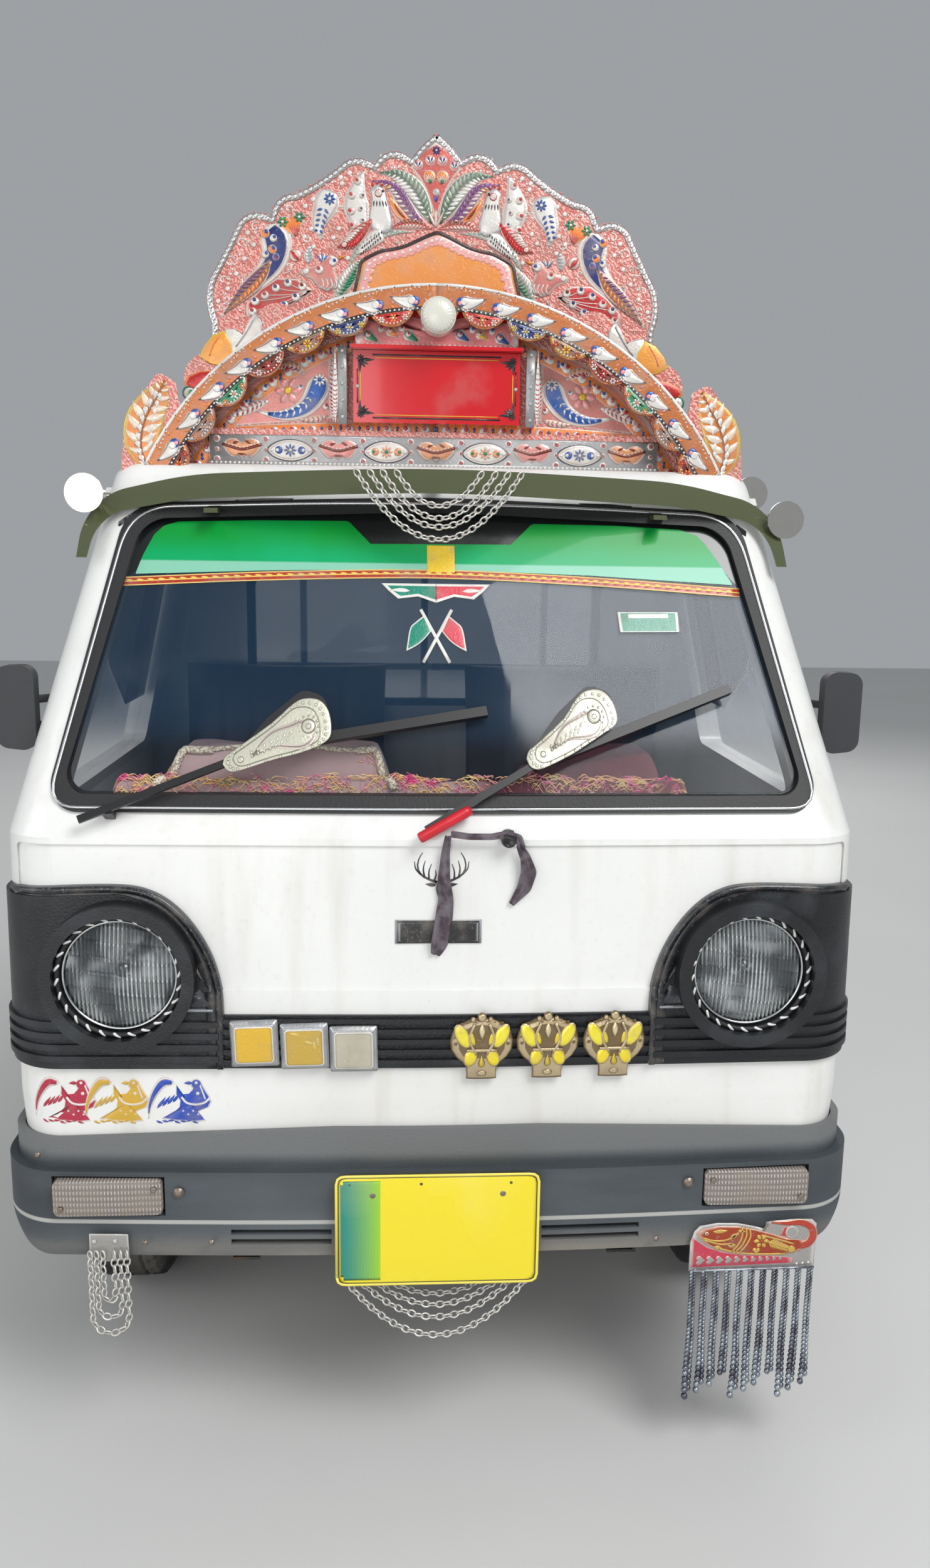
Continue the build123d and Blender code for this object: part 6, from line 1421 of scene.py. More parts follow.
hang = [(0.012, on_nose(0.012, 1.078, 0.022), 1.083), (0.008, on_nose(0.008, 1.05, 0.010), 1.050),
        (0.006, on_nose(0.006, 1.01, 0.006), 1.010), (0.010, on_nose(0.010, 0.975, 0.006), 0.975),
        (0.006, on_nose(0.006, 0.94, 0.009), 0.938), (0.002, on_nose(0.002, 0.905, 0.008), 0.905),
        (-0.006, on_nose(-0.006, 0.885, 0.006), 0.886)]
ribbon("tied_ribbon", hang, [0.010, 0.014, 0.020, 0.024, 0.030, 0.034, 0.016],
       [0, 0.3, 0.2, -0.2, 0.2, 0.5, 0.3],
       ribbon_cloth)
band_line = [(0.016, on_nose(0.016, 1.082, 0.024), 1.086), (0.045, on_nose(0.045, 1.08, 0.020), 1.081),
             (0.080, on_nose(0.08, 1.08, 0.022), 1.081), (0.103, on_nose(0.103, 1.082, 0.030), 1.087),
             (0.122, on_nose(0.122, 1.075, 0.024), 1.080), (0.128, on_nose(0.128, 1.058, 0.016), 1.060)]
ribbon("knob_ribbon", band_line, [0.011, 0.010, 0.010, 0.011, 0.012, 0.014], [0.2, 0.5, 0.4, 0.2, 0.1, 0.2],
       ribbon_cloth)
tail_line = [(0.124, on_nose(0.124, 1.07, 0.012), 1.066), (0.134, on_nose(0.134, 1.045, 0.012), 1.045),
             (0.140, on_nose(0.140, 1.02, 0.010), 1.020), (0.134, on_nose(0.134, 0.995, 0.008), 0.996),
             (0.114, on_nose(0.114, 0.97, 0.006), 0.968)]
ribbon("knob_ribbon_tail", tail_line, [0.010, 0.018, 0.026, 0.022, 0.010], [0.1, 0.5, 0.2, -0.2, 0.1],
       ribbon_cloth)

# Things behind the windscreen. A pink cloth edged with pale braid is laid over the dashboard and its
# instrument hood, with a fringe of torn pink and gold thread along the glass. Two vinyl seats are padded
# with foam and sewn in channels, and a pale film with one maroon stripe is inside each door window.
CLOTH_PINK = (0.92, 0.66, 0.66)
CLOTH_MAROON = (0.26, 0.02, 0.04)
BRAID_CREAM = (0.55, 0.49, 0.37)
THREADS = ((0.0, (0.80, 0.03, 0.20)), (0.36, (0.95, 0.12, 0.34)), (0.46, (0.98, 0.48, 0.46)),
           (0.54, (0.98, 0.58, 0.20)), (0.62, (0.96, 0.76, 0.36)), (1.0, (0.90, 0.80, 0.64)))


def rise(value, start, end):
    """Smooth step from 0 at start to 1 at end: t^2 (3 - 2t)."""
    t = np.clip((value - start) / (end - start), 0, 1)
    return t * t * (3 - 2 * t)


def cloth_height(x, depth):
    """Height in mm of the cloth at x and depth in mm: a rolled edge along the glass, the instrument hood
    and a low box are smooth steps, and two slow waves are its wrinkles. It stays behind the glass."""
    fold = 62 * np.exp(-((depth - 134) / 21) ** 2) * rise(x, -540, -505) * (1 - rise(x, 395, 430))
    hood = 108 * rise(x, -484, -406) * (1 - rise(x, -106, -56))
    hood = hood * rise(depth, 116, 170) * (1 - rise(depth, 250, 274))
    box = (62 + 40 * rise(x, 140, 330)) * rise(x, 118, 150) * (1 - rise(x, 345, 400)) * rise(depth, 130, 180)
    wave = 1.8 * np.sin(x * 0.055 + depth * 0.04) + 1.4 * np.sin(x * 0.021 - depth * 0.11)
    return np.minimum(1091 + np.maximum(np.maximum(fold, hood), box) + wave, 1072 + (depth - 80) / 0.532)


braid_thread = Finish("braid_thread", BRAID_CREAM, 0.7)
twist = braid_thread.node("ShaderNodeTexVoronoi", {}, {
    "Vector": braid_thread.place(), "Scale": 260.0})
braid_thread.feed("Base Color", braid_thread.mix((0.92, 0.86, 0.72), (0.40, 0.33, 0.24),
                                                 twist.clear(0.2, 0.75)))
braid_thread.bump(twist * -1.0, 0.002)
edge_x = np.linspace(-452, -72, 70)
edge_depth = 166 - 44 * (1 - rise(edge_x, -460, -405)) - 46 * rise(edge_x, -106, -66)
edge_path = np.stack([edge_x, edge_depth + FRONT_MM, cloth_height(edge_x, edge_depth) + 2.5], 1) / 1000
dash_braid = dressed("dash_braid", [tube(edge_path, 0.0042, 8),
                                    tube(edge_path[:17] + (0.0, -0.004, 0.0), 0.0065, 8),
                                    tube(edge_path[-12:] + (0.0, -0.004, 0.0), 0.0065, 8)], braid_thread)

fringe_thread = Finish("fringe_thread", (0.6, 0.1, 0.2), 0.65)
fringe_thread.feed("Base Color", fringe_thread.node("ShaderNodeValToRGB", {"stops": THREADS}, {
    "Fac": fringe_thread.noise(0.022, 2.0)}))
chance = np.random.default_rng(7)
THREAD_COUNT = 620
root_x = np.concatenate([chance.uniform(-512, 400, 430), chance.normal(-468, 22, 100),
                         chance.normal(-44, 26, 90)])
root_depth = np.concatenate([chance.uniform(116, 138, 430), chance.uniform(122, 165, 190)])
way = chance.uniform(-1.3, 1.3, THREAD_COUNT) + np.where(chance.random(THREAD_COUNT) < 0.5, pi, 0)
reach = chance.uniform(14, 44, THREAD_COUNT)
t = np.linspace(0, 1, 7)[None, :]
thread_x = root_x[:, None] + reach[:, None] * np.cos(way)[:, None] * t
thread_x = thread_x + 3.5 * np.sin(t * 7 + way[:, None] * 9)
thread_depth = root_depth[:, None] + reach[:, None] * 0.35 * np.sin(way)[:, None] * t
thread_depth = thread_depth + 2.5 * np.cos(t * 8 + way[:, None] * 5)
thread_lift = chance.uniform(0, 11, (THREAD_COUNT, 1)) * np.sin(t * 3)
thread_z = cloth_height(thread_x, thread_depth) + 1.5 + thread_lift
thread_depth = np.maximum(thread_depth, 79 + (thread_z - 1072) * 0.532)
line = np.stack([thread_x / 1000, thread_depth / 1000 + FRONT_Y, thread_z / 1000], -1)
around = np.arange(3) * 2 * pi / 3
ring = np.stack([np.zeros(3), np.cos(around), np.sin(around)], -1) * 0.0009
points = (line[:, :, None] + ring[None, None]).reshape(-1, 3)
one = grid_faces(7, 3, close_columns=True)
starts = np.arange(THREAD_COUNT)[:, None, None] * 21
sides = (one[None] + starts).reshape(-1, 4)
caps = (np.array([[2, 1, 0], [18, 19, 20]])[None] + starts).reshape(-1, 3)
turned_over = (np.diff(line[:, [0, -1], 0], axis=1)[:, 0] < 0)
sides = np.where(np.repeat(turned_over, len(one))[:, None], sides[:, ::-1], sides)
caps = np.where(np.repeat(turned_over, 2)[:, None], caps[:, ::-1], caps)
dash_fringe = make_object("dash_fringe", points, sides, caps)
fringe_thread.put(dash_fringe)
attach(dash_fringe, "truck")

laid_cloth = Finish("laid_cloth", CLOTH_PINK, 0.8, Sheen_Weight=0.3)
across, _, _ = laid_cloth.axes()
cloth_tone = laid_cloth.mix(CLOTH_PINK, (0.80, 0.52, 0.53), laid_cloth.noise(0.05))
laid_cloth.feed("Base Color", laid_cloth.mix(cloth_tone, CLOTH_MAROON, across.clear(0.0, 0.12)))
laid_cloth.bump(laid_cloth.waves("BANDS", "X", 500.0, 1.5) + laid_cloth.noise(0.012) * 3.0, 0.0008)
grid_x, grid_depth = np.meshgrid(np.linspace(-520, 405, 118), np.linspace(97, 283, 52))
face = np.stack([grid_x, grid_depth + FRONT_MM, cloth_height(grid_x, grid_depth)], -1) / 1000
dash_drape = thin_sheet("dash_drape", face, 0.0012, laid_cloth)
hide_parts("dash_cloth")


def pad(name, centre, half, tilt, channels, finish):
    """Closed pillow: height h ((1 - |s|^7)(1 - |t|^7))^0.5 on both sides of a rectangle whose sides pull in
    by a fiftieth between its corners, less a Gaussian groove at each sewn channel, turned by tilt."""
    s, t = np.meshgrid(np.sin(np.linspace(-pi / 2, pi / 2, 71)), np.sin(np.linspace(-pi / 2, pi / 2, 41)))
    x = half[0] * s * (0.98 + 0.02 * t ** 2)
    y = half[1] * t * (0.98 + 0.02 * s ** 2)
    rise_here = half[2] * np.sqrt(np.clip((1 - np.abs(s) ** 7) * (1 - np.abs(t) ** 7), 0, 1))
    groove = sum(np.exp(-((x - at) / 0.006) ** 2) for at in channels) * 0.006 * (np.abs(t) < 0.86)
    top = np.stack([x, y, rise_here - groove * (rise_here > 0.01)], -1)
    low = np.stack([x, y, -rise_here], -1)
    rows, columns = s.shape
    n = rows * columns
    on_edge = ((np.abs(s) > 0.9999) | (np.abs(t) > 0.9999)).ravel()
    under = np.where(on_edge, np.arange(n), np.arange(n) + n)
    quads = grid_faces(rows, columns)
    points = np.concatenate([top.reshape(-1, 3), low.reshape(-1, 3)])
    faces = np.concatenate([quads, under[quads][:, ::-1]])
    used, numbered = np.unique(faces, return_inverse=True)
    turned_points = points[used] @ np.array([[1, 0, 0], [0, cos(tilt), sin(tilt)],
                                             [0, -sin(tilt), cos(tilt)]])
    made = make_object(name, turned_points + centre, numbered.reshape(-1, 4))
    finish.put(made)
    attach(made, "truck")
    return made


for seat_name, seat_x in (("left", -0.33), ("right", 0.33)):
    stitched = [-0.14, -0.07, 0.0, 0.07, 0.14]
    cushion = pad("seat_cushion_" + seat_name, (seat_x, 0.815 + FRONT_Y, 0.746), (0.236, 0.222, 0.054), 0.03,
                  stitched, vinyl)
    backrest = pad("seat_back_" + seat_name, (seat_x, 1.067 + FRONT_Y, 1.031), (0.236, 0.228, 0.042),
                   radians(81.5), stitched, vinyl)
    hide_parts("seats")
    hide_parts("seats")

FILM_BORDER = (0.715 + FRONT_Y, 0.850 + FRONT_Y)
window_film = Finish("window_film", (0.55, 0.50, 0.36), 0.45)
_, film_y, _ = window_film.axes()
border = film_y.clear(FILM_BORDER[0], FILM_BORDER[0] + 0.002) * film_y.clear(FILM_BORDER[1],
                                                                             FILM_BORDER[1] - 0.002)
window_film.feed("Base Color", window_film.mix((0.56, 0.52, 0.40), (0.44, 0.20, 0.19), border))
WINDOW_FOOT_Z = 1072
WINDOW_FOOT_HALF = 690
WINDOW_LEAN = 0.2213


def side_sign(node):
    """1 for a CAD node on the side of positive x, else -1."""
    low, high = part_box(node)
    return 1.0 if low[0] + high[0] > 0 else -1.0


def beside_window(side, z, out):
    """x in mm, at height z, of a line out mm outside the plane of a door window."""
    return side * (WINDOW_FOOT_HALF - (z - WINDOW_FOOT_Z) * WINDOW_LEAN + out)


for door in ("door_left", "door_right"):
    side = side_sign(door)
    film_rows = np.linspace(1200, 1535, 30)
    front_edge = np.interp(film_rows, [1195, 1300, 1340, 1420, 1540], [745, 520, 470, 500, 545])
    share = np.linspace(0, 1, 16)[None, :]
    depth = front_edge[:, None] * (1 - share) + 922 * share
    z = np.repeat(film_rows[:, None], 16, axis=1)
    x = beside_window(side, z, -30)
    face = np.stack([x, depth + FRONT_MM, z], -1) / 1000
    if side > 0:
        face = face[:, ::-1]
    thin_sheet("window_film_" + door[5:], face, 0.0006, window_film, door)

# Crown. Boards of sheet steel faced with pressed and painted foil: every leaf, flower and paisley is
# embossed from behind, outlined in pale paint and filled with colour, then lacquered.
ground = Finish("foil_ground", SALMON, 0.36, 0.2, Coat_Weight=0.3, Coat_Roughness=0.2)
lines = ground.waves("BANDS", "DIAGONAL", 55.0, 9.0, 2.0, 2.2)
cells = ground.node("ShaderNodeTexVoronoi", {"feature": "F1"}, {
    "Vector": ground.place(), "Scale": 95.0})
tone = ground.mix((0.56, 0.15, 0.125), (0.72, 0.36, 0.31), lines.clear(0.42, 0.62))
tone = ground.mix(tone, (0.78, 0.68, 0.62), cells.clear(0.19, 0.12) * 0.9)
ground.feed("Base Color", ground.mix(tone, (0.30, 0.22, 0.18),
                                     ground.noise(0.06, 5.0).clear(0.45, 0.75) * 0.4))
ground.bump(lines * 0.6 + cells.clear(0.30, 0.10) * 0.8, 0.0012)
ground.put("crown_board", "crown_fan", "crown_wings")
stipple = Finish("arch_ground", ORANGE, 0.36, 0.2, Coat_Weight=0.3)
bark = stipple.waves("RINGS", "Y", 60.0, 14.0, 3.0, 3.0)
tone = stipple.mix((0.66, 0.24, 0.09), (0.40, 0.14, 0.06), bark.clear(0.35, 0.75))
stipple.feed("Base Color", stipple.mix(tone, (0.30, 0.24, 0.18),
                                       stipple.noise(0.05, 5.0).clear(0.45, 0.75) * 0.4))
stipple.bump(bark, 0.0012)
stipple.put("crown_arch")

# Fan board at the back of the crown: feathers round an ogee, two cocks, paisleys, hearts and a peacock.
FAN_DEPTH = 560.0
fan = Relief()
fan.sprig([(-6, 2096), (-31, 2103), (-57, 2103), (-84, 2094)], 11, 11, PALE, BROWN, SALMON, PALE)
fan.sprig([(-15, 2102), (-39, 2116), (-57, 2137), (-70, 2157), (-89, 2170), (-116, 2174)], 14, 13, PALE, PLUM,
          PLUM, PALE)
fan.sprig([(-7, 2106), (-20, 2129), (-33, 2152), (-51, 2172), (-73, 2186), (-104, 2188)], 20, 14, WHITE, SAGE,
          (0.10, 0.16, 0.11), PALE)
fan.leaf(-47, 2106, 2.25, 62, 18, ORANGE, PALE, -0.5, rows=9)
fan.leaf(-55, 2112, 2.2, 34, 5, MAROON, None, -0.4, base=1.4)
fan.paisley([(-192, 2158), (-200, 2130), (-212, 2100), (-208, 2070)], 25, WHITE, SILVER, None)
fan.flower(-192, 2141, 11, 8, BLUE, WHITE, base=2)
for side in (-1, 1):
    for step in range(5):
        fan.leaf(-203 - step * 2.2 + side * 2, 2124 - step * 9, -1.9 + side * 1.0, 11 - step, 5, BLUE, None,
                 base=2)
fan.heart(-261, 2096, 46, 0.20, ORANGE, PALE)
for x, z in ((-277, 2100), (-247, 2109)):
    fan.flower(x, z, 10, 6, GREEN, WHITE, base=1.6)
fan.spray(5, -254, 2076, 1.15, 0.25, 21, 3, [SALMON], base=1.6, rows=4)
fan.paisley([(-306, 2094), (-289, 2066), (-295, 2033), (-320, 2003), (-353, 1975), (-392, 1934)], 30, NAVY,
            WHITE,
            None, head=0.2)
for x, z, r, paint in ((-309, 2080, 8.5, ORANGE), (-294, 2072, 7, WHITE), (-296, 2053, 8, ORANGE),
                       (-309, 2044, 7, WHITE), (-290, 2040, 6.5, PLUM)):
    fan.moon(x, z, r, BLUE, 0.8, paint, PALE, 2)
fan.sprig([(-299, 2034), (-322, 2004), (-352, 1975), (-386, 1940)], 15, 12, ORANGE, PLUM, BROWN, PALE, 2)
fan.disc(-255, 2044, 12, PALE, PINK)
fan.leaf(-249, 2036, 2.3, 22, 11, RED, PALE, base=1.6)
fan.sprig([(-231, 2030), (-231, 2046), (-229, 2064)], 9, 6, WHITE, SILVER, SILVER, PALE)
fan.spray(5, -206, 2034, 0.9, 0.35, 17, 4.5, [BLUE, WHITE], PALE, rows=5)
fan.sprig([(-159, 2026), (-142, 2056), (-116, 2076), (-82, 2087), (-40, 2090)], 9, 16, SAGE, PALE,
          (0.36, 0.42, 0.36), PALE)
fan.sprig([(-184, 1968), (-169, 1994), (-153, 2018), (-137, 2041)], 15, 12, WHITE, GREEN, SAGE, PALE)
# Cock: tail plume, saddle feathers, breast and head
fan.paisley([(-130, 2092), (-141, 2116), (-145, 2141), (-140, 2165), (-131, 2190)], 24, WHITE, SILVER, None,
            head=0.45)
for x, z, r, paint, angle in ((-141, 2172, 6.5, RED, 2.3), (-152, 2148, 7, RED, 2.3),
                              (-134, 2148, 4.5, NAVY, 0.4),
                              (-153, 2122, 7.5, RED, 3.0), (-137, 2126, 4.5, NAVY, 0.4),
                              (-150, 2099, 7.5, RED, 3.4),
                              (-134, 2106, 4.5, NAVY, 0.6)):
    fan.moon(x, z, r, paint, angle, PALE, WHITE, 2.2)
fan.sprig([(-116, 2108), (-138, 2086), (-156, 2069), (-179, 2060)], 15, 12, RED, PALE, RED, PALE, 1.2)
fan.disc(-166, 2064, 5.5, PALE, RED, base=3.4)
fan.strip(curve_through([(-96, 2084), (-112, 2077), (-130, 2062), (-140, 2050)], 10),
          [10, 13, 14, 14, 13, 12, 10, 8, 6, 3],
          WHITE, PALE, 1.4, base=0.6)
for step in range(9):
    for x, z in ((-99, 2090), (-101, 2080)):
        fan.leaf(x - step * 4.2, z - step * 3.4, -1.5 - step * 0.06, 6, 2.6, BLACK, base=2.2, rows=4)
fan.dome([(-119, 2162), (-107, 2169), (-94, 2162), (-90, 2150), (-84, 2128), (-78, 2104), (-80, 2088),
          (-98, 2082),
          (-117, 2092), (-121, 2112), (-118, 2130), (-116, 2146)], WHITE, SILVER, 2.6)
fan.disc(-104, 2153, 7, PALE, RED, base=2.6)
fan.disc(-96, 2157, 2.4, BLACK, None, base=2.6, sides=8)
fan.leaf(-92, 2160, 0.5, 15, 6, OCHRE, None, -0.4, base=1.0, rows=5)
for step in range(5):
    fan.leaf(-112 + step * 5, 2141, -1.5 + (step - 2) * 0.1, 11, 2.6, BLACK, None, base=2.6, rows=4)
for step in range(3):
    fan.leaf(-114 + step * 7, 2164 + (step == 1) * 3, 1.7 - step * 0.3, 9, 5, RED, None, base=0.8, rows=4)
# Peacock with its train of moons
fan.dome([(-226, 1986), (-250, 2004), (-288, 2005), (-322, 1983), (-346, 1957), (-346, 1937), (-302, 1936),
          (-264, 1957), (-231, 1976)], RED, PALE, 1.1, 0.06)
for x, z, dot in ((-243, 1991, MAROON), (-269, 1996, NAVY), (-291, 1987, NAVY), (-311, 1974, RED),
                  (-329, 1963, NAVY),
                  (-334, 1945, RED), (-315, 1942, BLUE), (-295, 1950, NAVY), (-276, 1958, BLUE),
                  (-255, 1972, NAVY)):
    stem = curve_through([(-228, 1984), ((x - 228) * 0.5, (z + 1984) * 0.5 - 3), (x, z)], 6)
    fan.strip(stem, 1.0, PALE, None, 0.8, base=1.0)
    fan.moon(x, z, 7.8, dot, 1.9, WHITE, PALE, 1.1)
fan.dome([(-176, 2040), (-190, 2048), (-203, 2040), (-207, 2030), (-222, 2026), (-246, 2020), (-246, 2012),
          (-226, 2004), (-212, 1988), (-196, 1982), (-182, 1990), (-176, 2006), (-184, 2022)], PINK, PALE,
         2.2)
fan.disc(-187, 2034, 7.5, WHITE, PALE, base=2)
fan.disc(-184, 2037, 3.2, BLUE, None, base=3.4, sides=8)
fan.leaf(-179, 2040, 0.3, 15, 7, OCHRE, None, -0.3, base=0.8, rows=5)
fan.moon(-212, 2020, 8, RED, 2.0, WHITE, PALE, 2)
fan.disc(-236, 2017, 6, WHITE, PALE, base=1.4)
for step in range(4):
    fan.strip(curve_through([(-208 + step * 8, 2006), (-204 + step * 8, 1996), (-208 + step * 8, 1988)], 5),
              1.2,
              WHITE, None, 0.8, base=2)
# Herringbone that follows the scallops, and white buds among the figures
for near in (0.955, 0.90):
    for turn in np.radians(np.arange(3, 84, 3.1)):
        x = -417 * near * cos(turn)
        z = 1940 + 284 * near * sin(turn)
        for side in (0.6, -0.6):
            fan.leaf(x, z, pi - turn + pi / 2 + side, 8.5, 2.8, PINK, None, rows=4, rise=0.9)
for x, z in ((-330, 2060), (-347, 2036), (-362, 2010), (-378, 1984), (-236, 2128), (-222, 2140), (-172, 2178),
             (-156, 2186), (-318, 2106), (-226, 2090), (-176, 2092), (-186, 2076), (-272, 2062), (-238, 2076),
             (-170, 2168), (-300, 2020), (-340, 2080), (-222, 2060), (-160, 2042), (-130, 2200),
             (-396, 1962)):
    fan.disc(x, z, 4.6, WHITE, PALE, sides=10)
    fan.spray(5, x, z, x, 1.257, 9.5, 3.6, [PINK], rows=4, rise=0.8)
# White beads inside the lobed edge, and pale tendrils curled into the gaps
for turn in np.radians(np.arange(2, 88, 1.9)):
    x, z = -417 * 0.925 * cos(turn), 1940 + 284 * 0.925 * sin(turn)
    if np.hypot(x + 298, z - 2108) > 17:
        fan.disc(x, z, 2.4, WHITE, None, 1.2, 6)
for x, z, size, turn in ((-352, 2062, 10, 0.4), (-372, 2030, 10, 1.2), (-326, 2090, 8, 2.0),
                         (-266, 2122, 8, 0.2),
                         (-240, 2104, 8, 1.6), (-232, 2074, 9, 3.0), (-176, 2150, 8, 4.2),
                         (-176, 2122, 8, 1.0), (-268, 2026, 8, 5.0), (-344, 1998, 9, 2.6),
                         (-386, 1998, 8, 0.9),
                         (-398, 1952, 8, 4.0), (-250, 1940, 8, 0.3), (-208, 1966, 8, 2.2),
                         (-154, 1976, 8, 1.2),
                         (-66, 2212, 7, 0.5), (-96, 2208, 7, 2.4), (-62, 2072, 7, 3.6), (-100, 2056, 7, 0.6),
                         (-128, 2030, 7, 2.0), (-382, 1966, 7, 5.5), (-222, 2110, 7, 0.2)):
    spin = np.linspace(0, 4.6, 11)
    coil = np.stack([x + (size - 1.5 * spin) * np.cos(spin + turn),
                     z + (size - 1.5 * spin) * np.sin(spin + turn)], 1)
    fan.strip(coil, 1.3, WHITE, None, 1.0)
    fan.spray(2, *coil[0], turn - 1.0, -0.9, 8, 3.4, [PALE], rows=4)
fan.mirror()
fan.dome(mirrored([(0, 2243), (-23, 2232), (-41, 2214), (-46, 2199), (-32, 2182), (-21, 2164), (-13, 2147),
                   (-5, 2123), (0, 2108)]), SALMON, PALE, 1.4, 0.08, centre=(0, 2192))
fan.flower(0, 2228, 8, 8, NAVY, PALE, base=1.4)
for x, z, angle in ((-33, 2203, 2.0), (-11, 2211, 1.75), (11, 2211, 1.39), (33, 2203, 1.14)):
    fan.disc(x, z, 9.5, PINK, PALE, base=1.3)
    fan.spray(5, x, z - 5, 0.77, 0.4, 13, 3.4, [WHITE, NAVY], base=2.4, rows=4)
for x in (-12, 12):
    fan.disc(x, 2184, 11.5, ORANGE, PALE, base=1.3)
    fan.spray(6, x, 2176, 0.5, 0.42, 15, 2.2, [PALE], base=2.4, rows=4)
    fan.disc(x * 0.9, 2176, 3.4, GREEN, None, base=2.8, sides=8)
fan.disc(0, 2158, 6.5, SILVER, PALE, base=1.3)
fan.spray(3, 0, 2141, 1.2, 0.37, 12, 3.4, [BLUE], base=1.3, rows=4)
fan.spray(3, 0, 2098, 1.1, 0.47, 34, 5, [PALE], base=1.3)
fan.make("fan_relief", FAN_DEPTH, foil)

# Bright beading along the lobed edge of the fan: a rolled strip of tin with a row of bosses.
fan_lobes = [
    # middle x, middle z, end x, end z of each arc, from the left foot upwards
    (-417.0, 1967.0, -409.0, 2004.0), (-385.0, 2046.0, -362.0, 2090.0), (-341.0, 2112.0, -298.0, 2108.0),
    (-286.0, 2137.0, -254.0, 2149.0), (-211.0, 2172.0, -172.0, 2200.0), (-144.0, 2212.0, -112.0, 2202.0),
    (-80.0, 2225.0, -45.0, 2213.0), (-25.0, 2238.0, 0.0, 2257.0)]


def arc_through(first, middle, last, count):
    """Points of the circle through three points, from the first to the last."""
    a, b, c = (complex(*point) for point in (first, middle, last))
    w = (c - a) / (b - a)
    centre = a + (b - a) * (w - abs(w) ** 2) / (w - w.conjugate())
    turn = np.angle((c - centre) / (a - centre))
    middle_turn = np.angle((b - centre) / (a - centre))
    if turn * middle_turn < 0 or abs(middle_turn) > abs(turn):
        turn -= np.sign(turn) * 2 * pi
    ring = centre + (a - centre) * np.exp(1j * turn * np.linspace(0, 1, count))
    return np.stack([ring.real, ring.imag], 1)


def fan_edge(inset, count):
    """Line along the left half of the fan's edge, moved in: the arcs of the lobes one after the other."""
    here, runs = (-409.0, 1925.0), [np.array([(-409.0, 1800.0), (-409.0, 1860.0), (-409.0, 1910.0)])]
    for middle_x, middle_z, end_x, end_z in fan_lobes:
        runs.append(arc_through(here, (middle_x, middle_z), (end_x, end_z), count)[:-1])
        here = (end_x, end_z)
    line = np.vstack(runs + [[here]])
    line = line - side_of(line) * inset
    line[-1] = (0, line[-1, 1])
    return line


beading = Relief()
beading.strip(fan_edge(6.5, 8), 6.0, (0.62, 0.62, 0.61), None, 2.2)
edge_line = fan_edge(6.5, 30)
run = np.concatenate([[0], np.cumsum(np.linalg.norm(np.diff(edge_line, axis=0), axis=1))])
for station in np.arange(6, run[-1] - 4, 10.5):
    x, z = (np.interp(station, run, edge_line[:, k]) for k in range(2))
    beading.disc(x, z, 4.3, (0.74, 0.74, 0.73), None, 3.4, 10, 1.6)
beading.mirror()
tin = foil_finish("bright_tin", 0.95, 0.22)
beading.make("fan_beading", FAN_DEPTH, tin)

# Awning arch at the front of the crown: a flanged band whose outer edge carries white drops with
# painted heads, and whose lower edge is cut into lobes like a fringed awning.
ARCH_FACE = 395.0
ARCH_CENTRE = 1397.0


def on_arch(radius, degrees):
    """Points (x, z) at a radius about the arch's centre, angles in degrees from the viewer's right."""
    turn = np.radians(degrees)
    return np.stack([radius * np.cos(turn), ARCH_CENTRE + radius * np.sin(turn)], -1)


awning = Relief()
awning.strip(on_arch(549, np.linspace(90, 153, 60)), 20.5, (0.50, 0.16, 0.05), None, 0.8, 0.05)
for angle in np.arange(91.5, 153, 3.0):
    for radius, lean, paint in ((562, 0.7, ORANGE), (556, 0.25, OCHRE), (539, -0.6, PINK),
                                (533, -1.0, ORANGE)):
        x, z = on_arch(radius, angle + 0.5)
        awning.leaf(x, z, np.radians(angle) - lean, 10, 4.2, paint, None, 0.3, 1.0, 0.8, 5)
for index, angle in enumerate(np.arange(94.0, 154, 6.55)):
    drop = [on_arch(542, angle), on_arch(540.5, angle + 1.4), on_arch(545, angle + 3.0),
            on_arch(553, angle + 4.6)]
    awning.paisley(drop, 13.5, WHITE, (0.08, 0.07, 0.07), None, 0.9, 0.30)
    x, z = on_arch(542, angle + 0.2)
    awning.disc(x, z, 8.2, BLUE, None, 0.9, 12, 3.0)
    x, z = on_arch(543, angle + 0.75)
    awning.disc(x, z, 6.4, WHITE, None, 0.8, 10, 3.7)
    x, z = on_arch(539.6, angle + 0.0)
    awning.disc(x, z, 3.6, (0.85, 0.30, 0.32), None, 0.9, 8, 4.0)
    for step in range(7):
        x, z = on_arch(566.5 - step * 1.2 + (step % 2), angle - 2.2 + step * 0.75)
        awning.disc(x, z, 2.0, PALE, None, 1.0, 6, 0.9)
awning.strip(on_arch(568, np.linspace(90, 152.5, 60)), 2.6, (0.70, 0.69, 0.66), None, 1.8, 0.05)
awning.strip(on_arch(530.0, np.linspace(90, 153, 60)), 3.6, BLACK, None, 1.0, 0.05, 0.4)
for angle in np.arange(90.4, 153, 0.85):
    x, z = on_arch(530.0, angle)
    awning.disc(x, z, 1.9, WHITE, None, 1.0, 6, 1.3)
